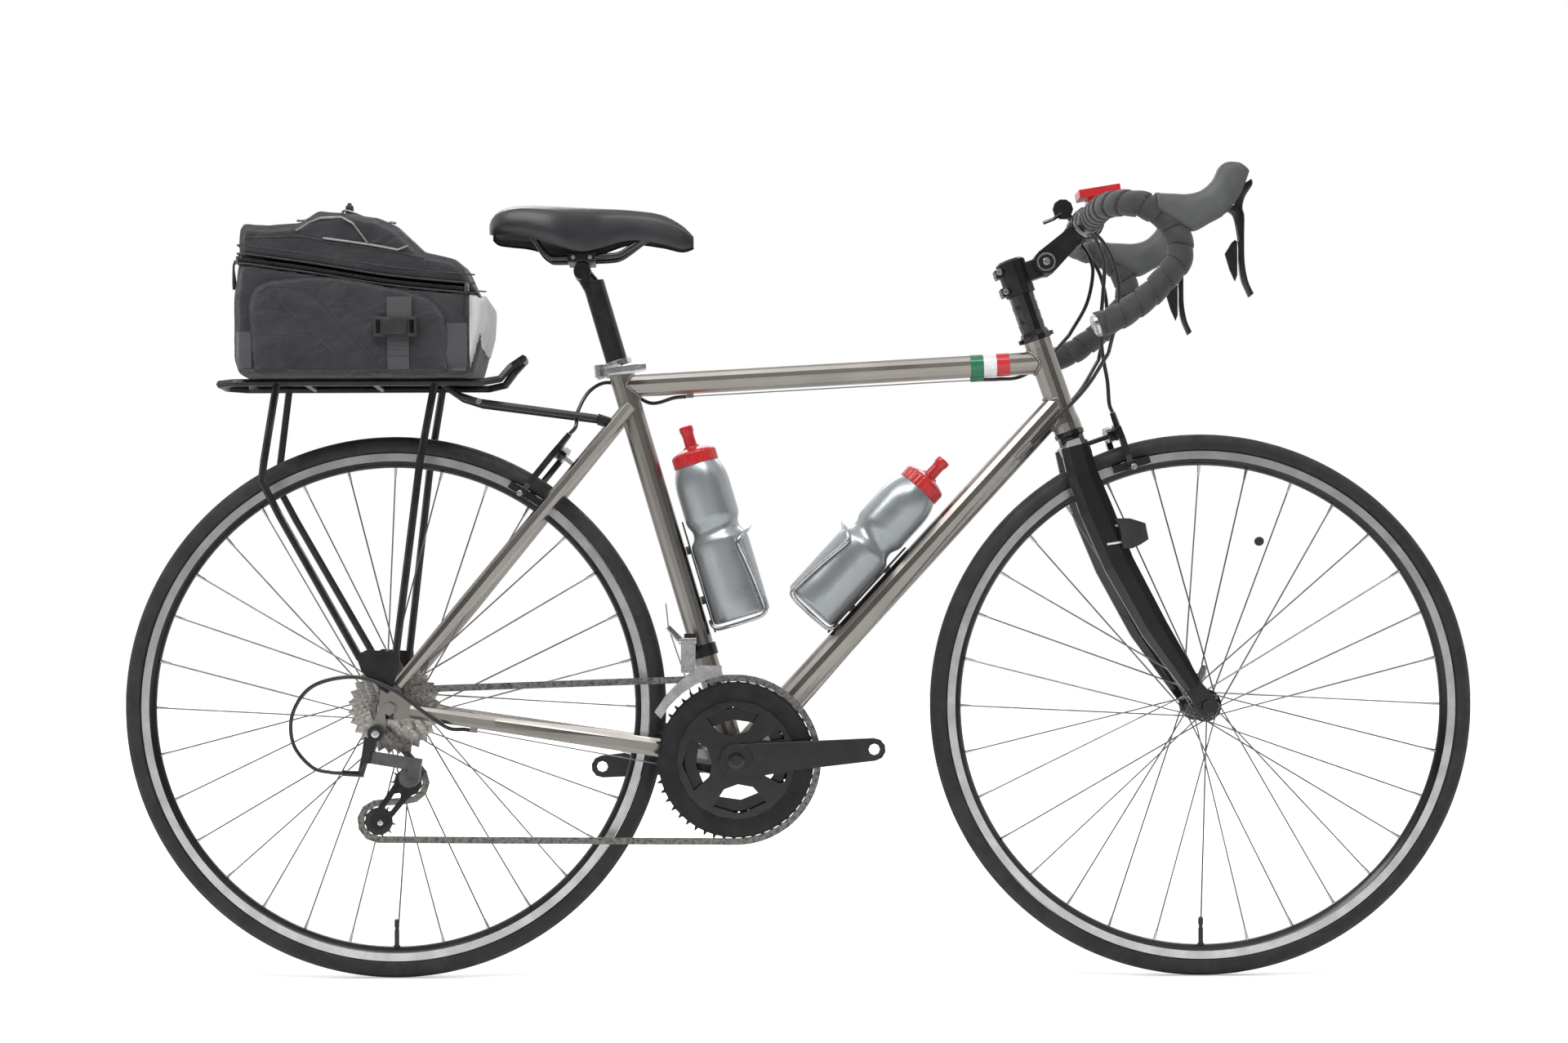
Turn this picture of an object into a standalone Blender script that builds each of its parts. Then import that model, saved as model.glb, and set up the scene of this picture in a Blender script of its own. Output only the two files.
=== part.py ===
"""A titanium drop-bar bicycle with rim brakes, a rear rack, a trunk bag and two bottles.

Units are metres. +X points forward, +Y to the rider's left and +Z up. The origin lies on the ground,
midway between the two hubs.
"""

import math

import bmesh
import bpy
from mathutils import Matrix, Vector

# Driving dimensions of the frame
WHEELBASE = 1.007
TYRE_RADIUS = 0.3385
BRACKET_DROP = 0.065
CHAINSTAY_LENGTH = 0.430
SEAT_ANGLE = math.radians(73.5)
HEAD_ANGLE = math.radians(71.0)
FORK_LENGTH = 0.377
FORK_RAKE = 0.043
HEAD_TUBE_LENGTH = 0.121
SEAT_TUBE_LENGTH = 0.515
TOP_TUBE_BELOW_SEAT_TUBE_TOP = 0.029
TOP_TUBE_ON_HEAD_TUBE = 0.092
DOWN_TUBE_ON_HEAD_TUBE = 0.037
SEATSTAY_BELOW_SEAT_TUBE_TOP = 0.056
HEAD_TUBE_RADIUS = 0.0168
SEAT_TUBE_RADIUS = 0.0148
TOP_TUBE_RADIUS = 0.0143
DOWN_TUBE_RADIUS = 0.01745
SHELL_RADIUS = 0.0205
SHELL_HALF_WIDTH = 0.034
REAR_HUB_WIDTH = 0.130
FRONT_HUB_WIDTH = 0.100
DROPOUT_THICKNESS = 0.006
SEATPOST_RADIUS = 0.0136
STEERER_RADIUS = 0.0143
AXLE_RADIUS = 0.012

# Driving dimensions of the wheels and the drive
TYRE_HALF_WIDTH = 0.014
RIM_OUTER_RADIUS = 0.3178
RIM_INNER_RADIUS = 0.2996
RIM_HALF_WIDTH = 0.010
BRAKE_TRACK_RADIUS = 0.3125
BRAKE_TRACK_HEIGHT = 0.0105
SPOKES = 32
SPOKE_CROSSINGS = 3
SPOKE_RADIUS = 0.0010
SKEWER_RADIUS = 0.0025
CHAIN_PITCH = 0.0127
CHAIN_INNER_HALF = 0.0012
CHAIN_OUTER_HALF = 0.0024
CHAIN_PLATE_HALF = 0.0041
BIG_RING_TEETH = 50
SMALL_RING_TEETH = 34
PULLEY_TEETH = 11
COGS = (11, 12, 13, 14, 15, 17, 19, 21, 23, 25, 28)
COG_SPACING = 0.00374
SMALLEST_COG_Y = -0.0565
BIG_RING_Y = -0.0470
SMALL_RING_Y = -0.0408
CRANK_LENGTH = 0.170
CRANK_ANGLE = math.radians(4.5)
PULLEY_SPACING = 0.060

# Driving dimensions of the cockpit, the rack and the luggage
SPACER_STACK = 0.060
STEM_CLAMP_HEIGHT = 0.042
STEM_PIVOT_FORWARD = 0.0406
STEM_PIVOT_UP = 0.0278
STEM_ARM_LENGTH = 0.0707
STEM_ARM_ANGLE = math.radians(43.0)
BAR_RADIUS = 0.0159
BAR_BEND_Y = 0.205
TAPE_RADIUS = 0.0150
TAPE_WRAPS = 14
SADDLE_HALF_WIDTH = 0.070
RACK_TUBE_RADIUS = 0.005
RACK_HALF_WIDTH = 0.050
RACK_HEIGHT = 0.741
BAG_HALF_WIDTH = 0.082
BOTTLE_RADIUS = 0.0365

# Details of the frame and the fork, as (x, y, z), (x, z) or plain sizes
TOP_TUBE_REAR_STOP = 0.0815
TOP_TUBE_FRONT_STOP = 0.0824
DOWN_TUBE_STOP = 0.0753
BARREL_LENGTH = 0.026
BARREL_RADIUS = 0.0042
BARREL_OUT = -0.0080
BARREL_Y = 0.0192
WIRE_RADIUS = 0.0008
HOUSING_RADIUS = 0.0024
SEATSTAY_FOOT_FROM_HUB = (0.0092, 0.0685, 0.0285)
SEATSTAY_FOOT_RADIUS = 0.0072
SEATSTAY_RADIUS = 0.0090
SEATSTAY_BRIDGE_SHARE = 0.775
SEATSTAY_BRIDGE_Y = 0.0290
SEATSTAY_TOP_Y = 0.0160
SEATSTAY_CLIP_SHARE = 0.935
HANGER_FROM_HUB = (-0.0158, -0.0300)
HANGER_BORE = 0.0048
EYELET_FROM_HUB = (-0.0022, 0.0258)
CUP_LENGTH = 0.0035
NUT_LENGTH = 0.0080
NUT_RADIUS = 0.0085
CHAINSTAY_STOP = 0.325
CHAINSTAY_STOP_Y = 0.0590
# Fork blade sections: distance below the head tube, forward offset, y, half width and half thickness
BLADE_SECTIONS = (
    (0.0200, -0.0030, 0.0285, 0.0190, 0.0074),
    (0.0556, -0.0060, 0.0300, 0.0203, 0.0072),
    (0.1040, -0.0050, 0.0335, 0.0220, 0.0068),
    (0.1770, -0.0010, 0.0392, 0.0205, 0.0065),
    (0.2660, 0.0130, 0.0466, 0.0185, 0.0060),
    (0.3500, 0.0335, 0.0533, 0.0125, 0.0048),
)
BLADE_THICK_AT_SENSOR = 0.0073
STEERER_SEGMENTS = 12
HEAD_TUBE_SEGMENTS = 14

# Details of the wheels
WHEEL_SEGMENTS = 32
FRONT_FLANGE_Y = 0.034
REAR_FLANGE_LEFT = 0.035
REAR_FLANGE_RIGHT = -0.0135
FREEHUB_RADIUS = 0.0130
COG_SLEEVE_RADIUS = 0.0166
COG_HALF_THICKNESS = 0.0009
COG_ROOT_BELOW = 0.0050
LOCKRING_LENGTH = 0.0015

# Details of the drive
CHAIN_ROLLER_SHARE = 0.27
RING_THICKNESS = 0.0016
RING_INNER_RADIUS = 0.0660
RING_DEPTHS = (0.0049, 0.0020)
PULLEY_DEPTHS = (0.0052, 0.0016)
COVER_RADIUS = 0.0945
COVER_THICKNESS = 0.0036
SPIDER_RADIUS = 0.0730
SPIDER_THICKNESS = 0.0055
CRANK_FACE_Y = -0.0740
CRANK_THICKNESS = 0.0130
CRANK_BOSS_RADIUS = 0.0210
CRANK_END_RADIUS = 0.0140
PEDAL_BORE = 0.0071
PULLEY_THICKNESS = 0.0022
PULLEY_BOLT_RADIUS = 0.0030
CAGE_PIVOT_FROM_HUB = (0.0266, -0.0833)
GUIDE_FROM_HUB = (0.0211, -0.0912)
TENSION_FROM_HUB = (-0.0130, -0.1405)
CAGE_OUT = 0.0032
CAGE_THICKNESS = 0.0015
CAGE_AXLE = 0.0050
LINK_PIVOT_FROM_HUB = (-0.0190, -0.0795, -0.0595)
LINK_AXIS = Vector((0.14, 0.0, 0.99))
LINK_LENGTH = 0.048
LINK_REST = math.radians(20)
LINK_RADIUS = 0.0062
LINK_HEIGHT = 0.0150
FD_BAND = 0.1400
FD_HINGE_FROM_BRACKET = (-0.0616, -0.0500, 0.1470)
FD_BARREL = 0.0042
FD_PLATE = 0.0012
FD_OUTER_Y = -0.0542
FD_INNER_Y = -0.0398
FD_RING_GAP = 0.0025

# Details of the brakes
REAR_BRAKE_OUT = Vector((-0.773, 0.0, 0.634)).normalized()
REAR_BRAKE_BOLT = 0.0410
REAR_BRAKE_FORWARD = 0.0275
FRONT_BRAKE_DROP = 0.0221
FRONT_BRAKE_FORWARD = 0.0475
FRONT_PAD_ANGLE = math.radians(106.3)
REAR_PAD_ANGLE = math.radians(58.2)
BRAKE_BOLT_RADIUS = 0.0030
BRAKE_ARM_THICKNESS = 0.0075
BRAKE_ARM_REACH = 0.0345
BRAKE_LAYERS = (0.0, 0.0079)
BRAKE_BOOT_LENGTH = 0.0260
PAD_GAP = 0.0018
PAD_THICKNESS = 0.0075
PAD_LENGTH = 0.0480
PAD_HEIGHT = 0.0095

# Details of the cockpit, the seat, the rack and the bottles
SPACERS = 4
SPACER_RADIUS = 0.0163
STEM_CLAMP_RADIUS = 0.0188
STEM_BARREL_HALF = 0.0108
STEM_DISC_RADIUS = 0.0158
STEM_EAR = 0.0068
BAR_CLAMP_RADIUS = 0.0205
TAPE_START = 0.0520
TAPE_STEP = 0.0014
TAPE_RINGS = 2
TAPE_SIDES = 6
LEVER_PIVOT_FROM_BAR = (0.1430, -0.0069)
PADDLE_PIVOT_FROM_BAR = (0.1486, -0.0698)
LEVER_SLOT_HALF = 0.0066
BELL_Y = 0.0390
BELL_FROM_BAR = (-0.0239, 0.0253)
COMPUTER_FROM_BAR = (0.0153, 0.0397)
COMPUTER_TILT = math.radians(9)
POST_HEAD_UP = 0.1223
POST_HEAD_BACK = 0.0089
POST_HEAD_RADIUS = 0.0110
POST_EXPOSED = 0.1070
SEATPOST_INSERTION = 0.1000
COLLAR_RADIUS = 0.0183
COLLAR_SKEWER_BACK = 0.0237
COLLAR_SKEWER_HALF = 0.0165
QUICK_CAM_RADIUS = 0.0068
RACK_FOOT_Y = 0.0780
BAG_WALL = 0.0060
BAG_ZIP_GAP = 0.0007
LID_HINGE_FROM_RACK = (0.1065, 0.1115)
BOTTLE_LENGTH = 0.250
BOTTLE_1_FOOT = 0.166
BOTTLE_1_STANDOFF = 0.0074
BOTTLE_2_FOOT = 0.202
BOTTLE_2_STANDOFF = 0.0046
CAGE_SLACK = 0.0003
CAGE_PLATE = 0.0022
CAGE_WIRE = 0.0024

# Clearances
GAP = 0.0003
RUNNING_GAP = 0.0004
TOOTH_FLOOR_HALF = 0.0037

# Worked-out places
ACROSS = Vector((0, 1, 0))
REAR_HUB = Vector((-WHEELBASE / 2, 0, TYRE_RADIUS))
FRONT_HUB = Vector((WHEELBASE / 2, 0, TYRE_RADIUS))
BRACKET = REAR_HUB + Vector((math.sqrt(CHAINSTAY_LENGTH**2 - BRACKET_DROP**2), 0, -BRACKET_DROP))
SEAT_UP = Vector((-math.cos(SEAT_ANGLE), 0, math.sin(SEAT_ANGLE)))
SEAT_FORWARD = Vector((math.sin(SEAT_ANGLE), 0, math.cos(SEAT_ANGLE)))
HEAD_UP = Vector((-math.cos(HEAD_ANGLE), 0, math.sin(HEAD_ANGLE)))
HEAD_FORWARD = Vector((math.sin(HEAD_ANGLE), 0, math.cos(HEAD_ANGLE)))
HEAD_BOTTOM = FRONT_HUB - HEAD_FORWARD * FORK_RAKE + HEAD_UP * FORK_LENGTH
SEAT_TOP = BRACKET + SEAT_UP * SEAT_TUBE_LENGTH
RACK_ORIGIN = Vector((REAR_HUB.x, 0, RACK_HEIGHT))
REAR_DROPOUT_Y = REAR_HUB_WIDTH / 2 + GAP
FRONT_DROPOUT_Y = FRONT_HUB_WIDTH / 2 + GAP



def side_pair(origin, offset):
    """An (x, z) place, from an offset in the side view."""
    return origin.x + offset[0], origin.z + offset[1]


SEATSTAY_FOOT = REAR_HUB + Vector(SEATSTAY_FOOT_FROM_HUB)
HANGER = side_pair(REAR_HUB, HANGER_FROM_HUB)
EYELET = side_pair(REAR_HUB, EYELET_FROM_HUB)
CAGE_PIVOT = side_pair(REAR_HUB, CAGE_PIVOT_FROM_HUB)
GUIDE_AT = side_pair(REAR_HUB, GUIDE_FROM_HUB)
TENSION_AT = side_pair(REAR_HUB, TENSION_FROM_HUB)
LINK_PIVOT = REAR_HUB + Vector(LINK_PIVOT_FROM_HUB)
FD_HINGE = BRACKET + Vector(FD_HINGE_FROM_BRACKET)
TOP_TUBE_ON_SEAT_TUBE = SEAT_TUBE_LENGTH - TOP_TUBE_BELOW_SEAT_TUBE_TOP
SEATSTAY_ON_SEAT_TUBE = SEAT_TUBE_LENGTH - SEATSTAY_BELOW_SEAT_TUBE_TOP

MATERIALS = {
    "titanium": ((0.42, 0.39, 0.35), 0.32, 1.0),
    "black_paint": ((0.015, 0.015, 0.016), 0.22, 0.0),
    "black_metal": ((0.03, 0.03, 0.032), 0.35, 0.8),
    "polished_metal": ((0.72, 0.72, 0.72), 0.2, 1.0),
    "steel": ((0.45, 0.44, 0.42), 0.3, 1.0),
    "tyre_rubber": ((0.03, 0.03, 0.031), 0.8, 0.0),
    "hood_rubber": ((0.09, 0.10, 0.10), 0.6, 0.0),
    "bar_tape": ((0.045, 0.045, 0.045), 0.7, 0.0),
    "saddle_cover": ((0.03, 0.032, 0.034), 0.4, 0.0),
    "bag_fabric": ((0.045, 0.048, 0.052), 0.85, 0.0),
    "bottle_plastic": ((0.45, 0.48, 0.49), 0.3, 0.4),
    "red_plastic": ((0.70, 0.03, 0.04), 0.35, 0.0),
    "cable_housing": ((0.01, 0.01, 0.01), 0.35, 0.0),
    "grey_plastic": ((0.18, 0.18, 0.18), 0.5, 0.0),
}


def remove_startup_objects():
    for obj in list(bpy.data.objects):
        bpy.data.objects.remove(obj, do_unlink=True)


def make_collection(name):
    collection = bpy.data.collections.new(name)
    bpy.context.scene.collection.children.link(collection)
    return collection


def make_material(name):
    colour, roughness, metallic = MATERIALS[name]
    material = bpy.data.materials.new(name)
    material.use_nodes = True
    shader = material.node_tree.nodes["Principled BSDF"]
    shader.inputs["Base Color"].default_value = (*colour, 1.0)
    shader.inputs["Roughness"].default_value = roughness
    shader.inputs["Metallic"].default_value = metallic
    return material


remove_startup_objects()
BICYCLE = make_collection("gravel_bicycle")
WORKBENCH = make_collection("workbench")
PAINTS = {name: make_material(name) for name in MATERIALS}
ASSEMBLIES = {}


def assembly(name, location, parent=None):
    """An empty on a joint's axis that carries the pieces that turn together."""
    empty = bpy.data.objects.new(name, None)
    empty.empty_display_size = 0.05
    BICYCLE.objects.link(empty)
    place_under(empty, Vector(location), parent)
    return empty


def place_under(obj, location, parent):
    if parent is None:
        obj.location = location
        ASSEMBLIES[obj.name] = location
        return
    obj.parent = parent
    obj.location = location - ASSEMBLIES[parent.name]
    ASSEMBLIES[obj.name] = location


def part(name, mesh, paint, parent, pivot=None):
    """Finish a mesh made in world space as the named piece, with its origin at pivot."""
    bm = bmesh.new()
    bm.from_mesh(mesh)
    bmesh.ops.remove_doubles(bm, verts=bm.verts, dist=2e-6)
    bmesh.ops.dissolve_degenerate(bm, edges=bm.edges, dist=1e-6)
    simpler = bm.copy()
    bmesh.ops.dissolve_limit(
        simpler, angle_limit=math.radians(0.2), verts=simpler.verts, edges=simpler.edges
    )
    bmesh.ops.triangulate(simpler, faces=simpler.faces)
    if all(len(edge.link_faces) == 2 for edge in simpler.edges):
        bm, simpler = simpler, bm
    simpler.free()
    bmesh.ops.triangulate(bm, faces=bm.faces)
    bmesh.ops.recalc_face_normals(bm, faces=bm.faces)
    bm.to_mesh(mesh)
    bm.free()
    origin = Vector(pivot) if pivot is not None else ASSEMBLIES[parent.name]
    mesh.transform(Matrix.Translation(-origin))
    mesh.shade_smooth()
    mesh.set_sharp_from_angle(angle=math.radians(38))
    mesh.materials.clear()
    mesh.materials.append(PAINTS[paint])
    mesh.name = name
    obj = bpy.data.objects.new(name, mesh)
    BICYCLE.objects.link(obj)
    place_under(obj, origin, parent)
    return obj


def placed(mesh, matrix):
    """Move a mesh by a matrix, and keep its faces outward where the matrix mirrors it."""
    mesh.transform(matrix)
    if matrix.determinant() < 0:
        mesh.flip_normals()
    return mesh


def evaluated_mesh(obj):
    """The object's mesh with its modifiers or its curve's bevel applied, and the object removed."""
    bpy.context.view_layer.update()
    graph = bpy.context.evaluated_depsgraph_get()
    mesh = bpy.data.meshes.new_from_object(obj.evaluated_get(graph))
    mesh.transform(obj.matrix_world)
    bpy.data.objects.remove(obj, do_unlink=True)
    return mesh


def weld(mesh, distance=1e-6):
    bm = bmesh.new()
    bm.from_mesh(mesh)
    bmesh.ops.remove_doubles(bm, verts=bm.verts, dist=distance)
    bmesh.ops.recalc_face_normals(bm, faces=bm.faces)
    bm.to_mesh(mesh)
    bm.free()
    return mesh


def facing(origin, z_axis, x_hint=ACROSS):
    """A matrix that puts local Z along z_axis and local X near x_hint, at origin."""
    z = Vector(z_axis).normalized()
    x = Vector(x_hint) - z * Vector(x_hint).dot(z)
    if x.length < 1e-6:
        x = Vector((1, 0, 0)) - z * z.x
    x.normalize()
    y = z.cross(x)
    rotation = Matrix((x, y, z)).transposed().to_4x4()
    return Matrix.Translation(origin) @ rotation


def side_plane(y):
    """A matrix from a flat outline's local XY to the bicycle's XZ plane at y."""
    matrix = Matrix(((1, 0, 0, 0), (0, 0, -1, y), (0, 1, 0, 0), (0, 0, 0, 1)))
    return matrix


def rod(start, end, radius, end_radius=None, segments=12):
    """A straight cylinder or cone from start to end."""
    start, end = Vector(start), Vector(end)
    mesh = bpy.data.meshes.new("rod")
    bm = bmesh.new()
    bmesh.ops.create_cone(
        bm,
        cap_ends=True,
        segments=segments,
        radius1=radius,
        radius2=radius if end_radius is None else end_radius,
        depth=(end - start).length,
    )
    bmesh.ops.transform(bm, matrix=facing((start + end) / 2, end - start), verts=bm.verts)
    bm.to_mesh(mesh)
    bm.free()
    return mesh


def across_rod(centre, y_from, y_to, radius, segments=12):
    """A cylinder along Y through centre."""
    start = Vector((centre[0], min(y_from, y_to), centre[2]))
    end = Vector((centre[0], max(y_from, y_to), centre[2]))
    return rod(start, end, radius, segments=segments)


def box(centre, size, matrix=None):
    mesh = bpy.data.meshes.new("box")
    bm = bmesh.new()
    bmesh.ops.create_cube(bm, size=1.0)
    bmesh.ops.scale(bm, vec=size, verts=bm.verts)
    bmesh.ops.translate(bm, vec=centre, verts=bm.verts)
    bm.to_mesh(mesh)
    bm.free()
    return mesh if matrix is None else placed(mesh, matrix)


def turned(profile, matrix, segments, closed=False):
    """Spin (radius, height) pairs about local Z with a Screw modifier."""
    mesh = bpy.data.meshes.new("profile")
    points = [(radius, 0.0, height) for radius, height in profile]
    edges = [(i, i + 1) for i in range(len(points) - 1)]
    if closed:
        edges.append((len(points) - 1, 0))
    mesh.from_pydata(points, edges, [])
    obj = bpy.data.objects.new("profile", mesh)
    WORKBENCH.objects.link(obj)
    screw = obj.modifiers.new("spin", "SCREW")
    screw.steps = segments
    screw.render_steps = segments
    screw.use_merge_vertices = True
    screw.merge_threshold = 1e-6
    return placed(weld(evaluated_mesh(obj)), matrix)


def pipe(points, radius, bevel=1, radii=None, cyclic=False):
    """A tube along points, from a curve with a round bevel. bevel 1 gives 6 sides and 2 gives 8."""
    curve = bpy.data.curves.new("pipe", "CURVE")
    curve.dimensions = "3D"
    curve.bevel_depth = radius
    curve.bevel_resolution = bevel
    curve.use_fill_caps = True
    spline = curve.splines.new("POLY")
    spline.points.add(len(points) - 1)
    spline.use_cyclic_u = cyclic
    for i, point in enumerate(points):
        spline.points[i].co = (*point, 1.0)
        if radii is not None:
            spline.points[i].radius = radii[i] / radius
    obj = bpy.data.objects.new("pipe", curve)
    WORKBENCH.objects.link(obj)
    return weld(evaluated_mesh(obj))


def plate(outlines, thickness, matrix):
    """A flat plate from a closed outline and its holes, centred on the matrix's plane."""
    curve = bpy.data.curves.new("plate", "CURVE")
    curve.dimensions = "2D"
    curve.fill_mode = "BOTH"
    curve.extrude = thickness / 2
    for outline in outlines:
        spline = curve.splines.new("POLY")
        spline.points.add(len(outline) - 1)
        spline.use_cyclic_u = True
        for i, point in enumerate(outline):
            spline.points[i].co = (point[0], point[1], 0.0, 1.0)
    obj = bpy.data.objects.new("plate", curve)
    WORKBENCH.objects.link(obj)
    return placed(weld(evaluated_mesh(obj)), matrix)


def loft(rings, capped=True):
    """Join rings of equally many points, each a list of positions, into one closed skin."""
    mesh = bpy.data.meshes.new("loft")
    bm = bmesh.new()
    rows = [[bm.verts.new(point) for point in ring] for ring in rings]
    count = len(rows[0])
    for low, high in zip(rows, rows[1:]):
        for i in range(count):
            j = (i + 1) % count
            bm.faces.new((low[i], low[j], high[j], high[i]))
    if capped:
        bm.faces.new(rows[0][::-1])
        bm.faces.new(rows[-1])
    bmesh.ops.recalc_face_normals(bm, faces=bm.faces)
    bm.to_mesh(mesh)
    bm.free()
    return mesh


def oval(centre, along, half_across, half_high, count=10, squareness=2.0, across=ACROSS):
    """A superellipse ring round centre, square to the direction along."""
    along = Vector(along).normalized()
    across = (Vector(across) - along * Vector(across).dot(along)).normalized()
    high = along.cross(across)
    points = []
    for i in range(count):
        angle = 2 * math.pi * (i + 0.5) / count
        c, s = math.cos(angle), math.sin(angle)
        a = math.copysign(abs(c) ** (2 / squareness), c) * half_across
        b = math.copysign(abs(s) ** (2 / squareness), s) * half_high
        points.append(Vector(centre) + across * a + high * b)
    return points


def with_modifier(base, tool, operation, self_crossing=False):
    holder = bpy.data.objects.new("base", base)
    cutter = bpy.data.objects.new("tool", tool)
    for obj in (holder, cutter):
        WORKBENCH.objects.link(obj)
    boolean = holder.modifiers.new("boolean", "BOOLEAN")
    boolean.operation = operation
    boolean.solver = "EXACT"
    boolean.use_self = self_crossing
    boolean.object = cutter
    result = evaluated_mesh(holder)
    bpy.data.objects.remove(cutter, do_unlink=True)
    return weld(result)


def united(*meshes):
    result = meshes[0]
    for mesh in meshes[1:]:
        result = with_modifier(result, mesh, "UNION")
    return result


def cut(base, *tools):
    result = base
    for tool in tools:
        result = with_modifier(result, tool, "DIFFERENCE")
    return result


def gathered(meshes):
    """Several bodies in one mesh, as one tool of a Boolean."""
    bm = bmesh.new()
    for mesh in meshes:
        bm.from_mesh(mesh)
    result = bpy.data.meshes.new("gathered")
    bm.to_mesh(result)
    bm.free()
    return result


def circle(centre, radius, count, start=0.0):
    return [
        (
            centre[0] + radius * math.cos(start + 2 * math.pi * i / count),
            centre[1] + radius * math.sin(start + 2 * math.pi * i / count),
        )
        for i in range(count)
    ]


def capsule(first, second, first_radius, second_radius, steps=5):
    """The outline that wraps two circles in a plane."""
    x, y = second[0] - first[0], second[1] - first[1]
    span = math.hypot(x, y)
    heading = math.atan2(y, x)
    tilt = math.acos((first_radius - second_radius) / span)
    outline = []
    for i in range(steps + 1):
        angle = heading - tilt + 2 * tilt * i / steps
        outline.append((second[0] + second_radius * math.cos(angle), second[1] + second_radius * math.sin(angle)))
    for i in range(steps + 1):
        angle = heading + tilt + 2 * (math.pi - tilt) * i / steps
        outline.append((first[0] + first_radius * math.cos(angle), first[1] + first_radius * math.sin(angle)))
    return outline


def smooth_path(points, steps):
    """A Catmull-Rom curve through points, with steps pieces between each pair."""
    points = [Vector(p) for p in points]
    ends = [2 * points[0] - points[1]] + points + [2 * points[-1] - points[-2]]
    path = []
    for a, b, c, d in zip(ends, ends[1:], ends[2:], ends[3:]):
        for i in range(steps):
            t = i / steps
            path.append(
                0.5
                * (
                    2 * b
                    + (c - a) * t
                    + (2 * a - 5 * b + 4 * c - d) * t**2
                    + (3 * b - a - 3 * c + d) * t**3
                )
            )
    path.append(points[-1])
    return path


def on_head(up, forward=0.0, y=0.0):
    return HEAD_BOTTOM + HEAD_UP * up + HEAD_FORWARD * forward + ACROSS * y


def on_seat(up, forward=0.0, y=0.0):
    return BRACKET + SEAT_UP * up + SEAT_FORWARD * forward + ACROSS * y


def towards_hub(distance, y=0.0):
    """A point on the chainstay line, at a distance from the bottom bracket."""
    return BRACKET + (REAR_HUB - BRACKET).normalized() * distance + ACROSS * y


# The frame and the fork


def head_tube_outline(grow=0.0):
    """The head tube's outer side, top to bottom, as (radius, height) pairs."""
    top = HEAD_TUBE_RADIUS + grow
    return [
        (top, HEAD_TUBE_LENGTH),
        (top - 0.0005, HEAD_TUBE_LENGTH - 0.010),
        (top - 0.0005, 0.021),
        (top + 0.0010, 0.011),
        (top + 0.0010, 0.0),
    ]


def head_tube_space():
    """The head tube's outside with the clearance for a welded tube's mitre."""
    outline = head_tube_outline(GAP)
    top, bottom = outline[0][0], outline[-1][0]
    profile = [(0.0, HEAD_TUBE_LENGTH + 0.02), (top, HEAD_TUBE_LENGTH + 0.02)]
    profile += outline[1:-1] + [(bottom, -0.02), (0.0, -0.02)]
    return turned(profile, facing(HEAD_BOTTOM, HEAD_UP), HEAD_TUBE_SEGMENTS)


def seat_tube_space(low, high):
    return rod(on_seat(low), on_seat(high), SEAT_TUBE_RADIUS + GAP, segments=16)


def shell_space():
    return across_rod(BRACKET, -0.06, 0.06, SHELL_RADIUS + GAP, segments=20)


def build_head_tube(frame):
    bore = STEERER_RADIUS + 2 * GAP
    profile = [(bore, HEAD_TUBE_LENGTH)] + head_tube_outline() + [(bore, 0.0)]
    mesh = turned(profile, facing(HEAD_BOTTOM, HEAD_UP), HEAD_TUBE_SEGMENTS, closed=True)
    return part("head_tube", mesh, "titanium", frame)


def slotted_stop(matrix, length=0.009, width=0.007, depth=0.0065, slot=0.0026):
    """A cable stop whose local X runs along the wire and local Z away from the tube."""
    block = box((0, 0, depth / 2 - 0.0015), (length, width, depth), matrix)
    opening = box((0, 0, depth / 2 + 0.0005), (length * 2, slot, depth), matrix)
    return block, opening


def top_tube_stops():
    """The two cable stops' distances from the seat tube's axis."""
    length = (on_head(TOP_TUBE_ON_HEAD_TUBE) - on_seat(TOP_TUBE_ON_SEAT_TUBE)).length
    return TOP_TUBE_REAR_STOP, length - TOP_TUBE_FRONT_STOP


def build_top_tube(frame):
    rear, front = on_seat(TOP_TUBE_ON_SEAT_TUBE), on_head(TOP_TUBE_ON_HEAD_TUBE)
    tube = rod(rear, front, TOP_TUBE_RADIUS, segments=16)
    tube = cut(tube, seat_tube_space(TOP_TUBE_ON_SEAT_TUBE - 0.08, SEAT_TUBE_LENGTH + 0.05), head_tube_space())
    along = (front - rear).normalized()
    for distance in top_tube_stops():
        under = along.cross(ACROSS)
        under = under if under.z < 0 else -under
        place = rear + along * distance + under * (TOP_TUBE_RADIUS - 0.0003)
        block, opening = slotted_stop(facing(place, under, along))
        tube = united(tube, cut(block, opening))
    return part("top_tube", tube, "titanium", frame)


def down_tube_point(along, out, y=0.0):
    """A point along the down tube from the bracket, with out measured up and off its axis."""
    direction = (on_head(DOWN_TUBE_ON_HEAD_TUBE) - BRACKET).normalized()
    normal = ACROSS.cross(direction)
    normal = normal if normal.z > 0 else -normal
    return BRACKET + direction * along + normal * out + ACROSS * y


def down_tube_length():
    return (on_head(DOWN_TUBE_ON_HEAD_TUBE) - BRACKET).length


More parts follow.
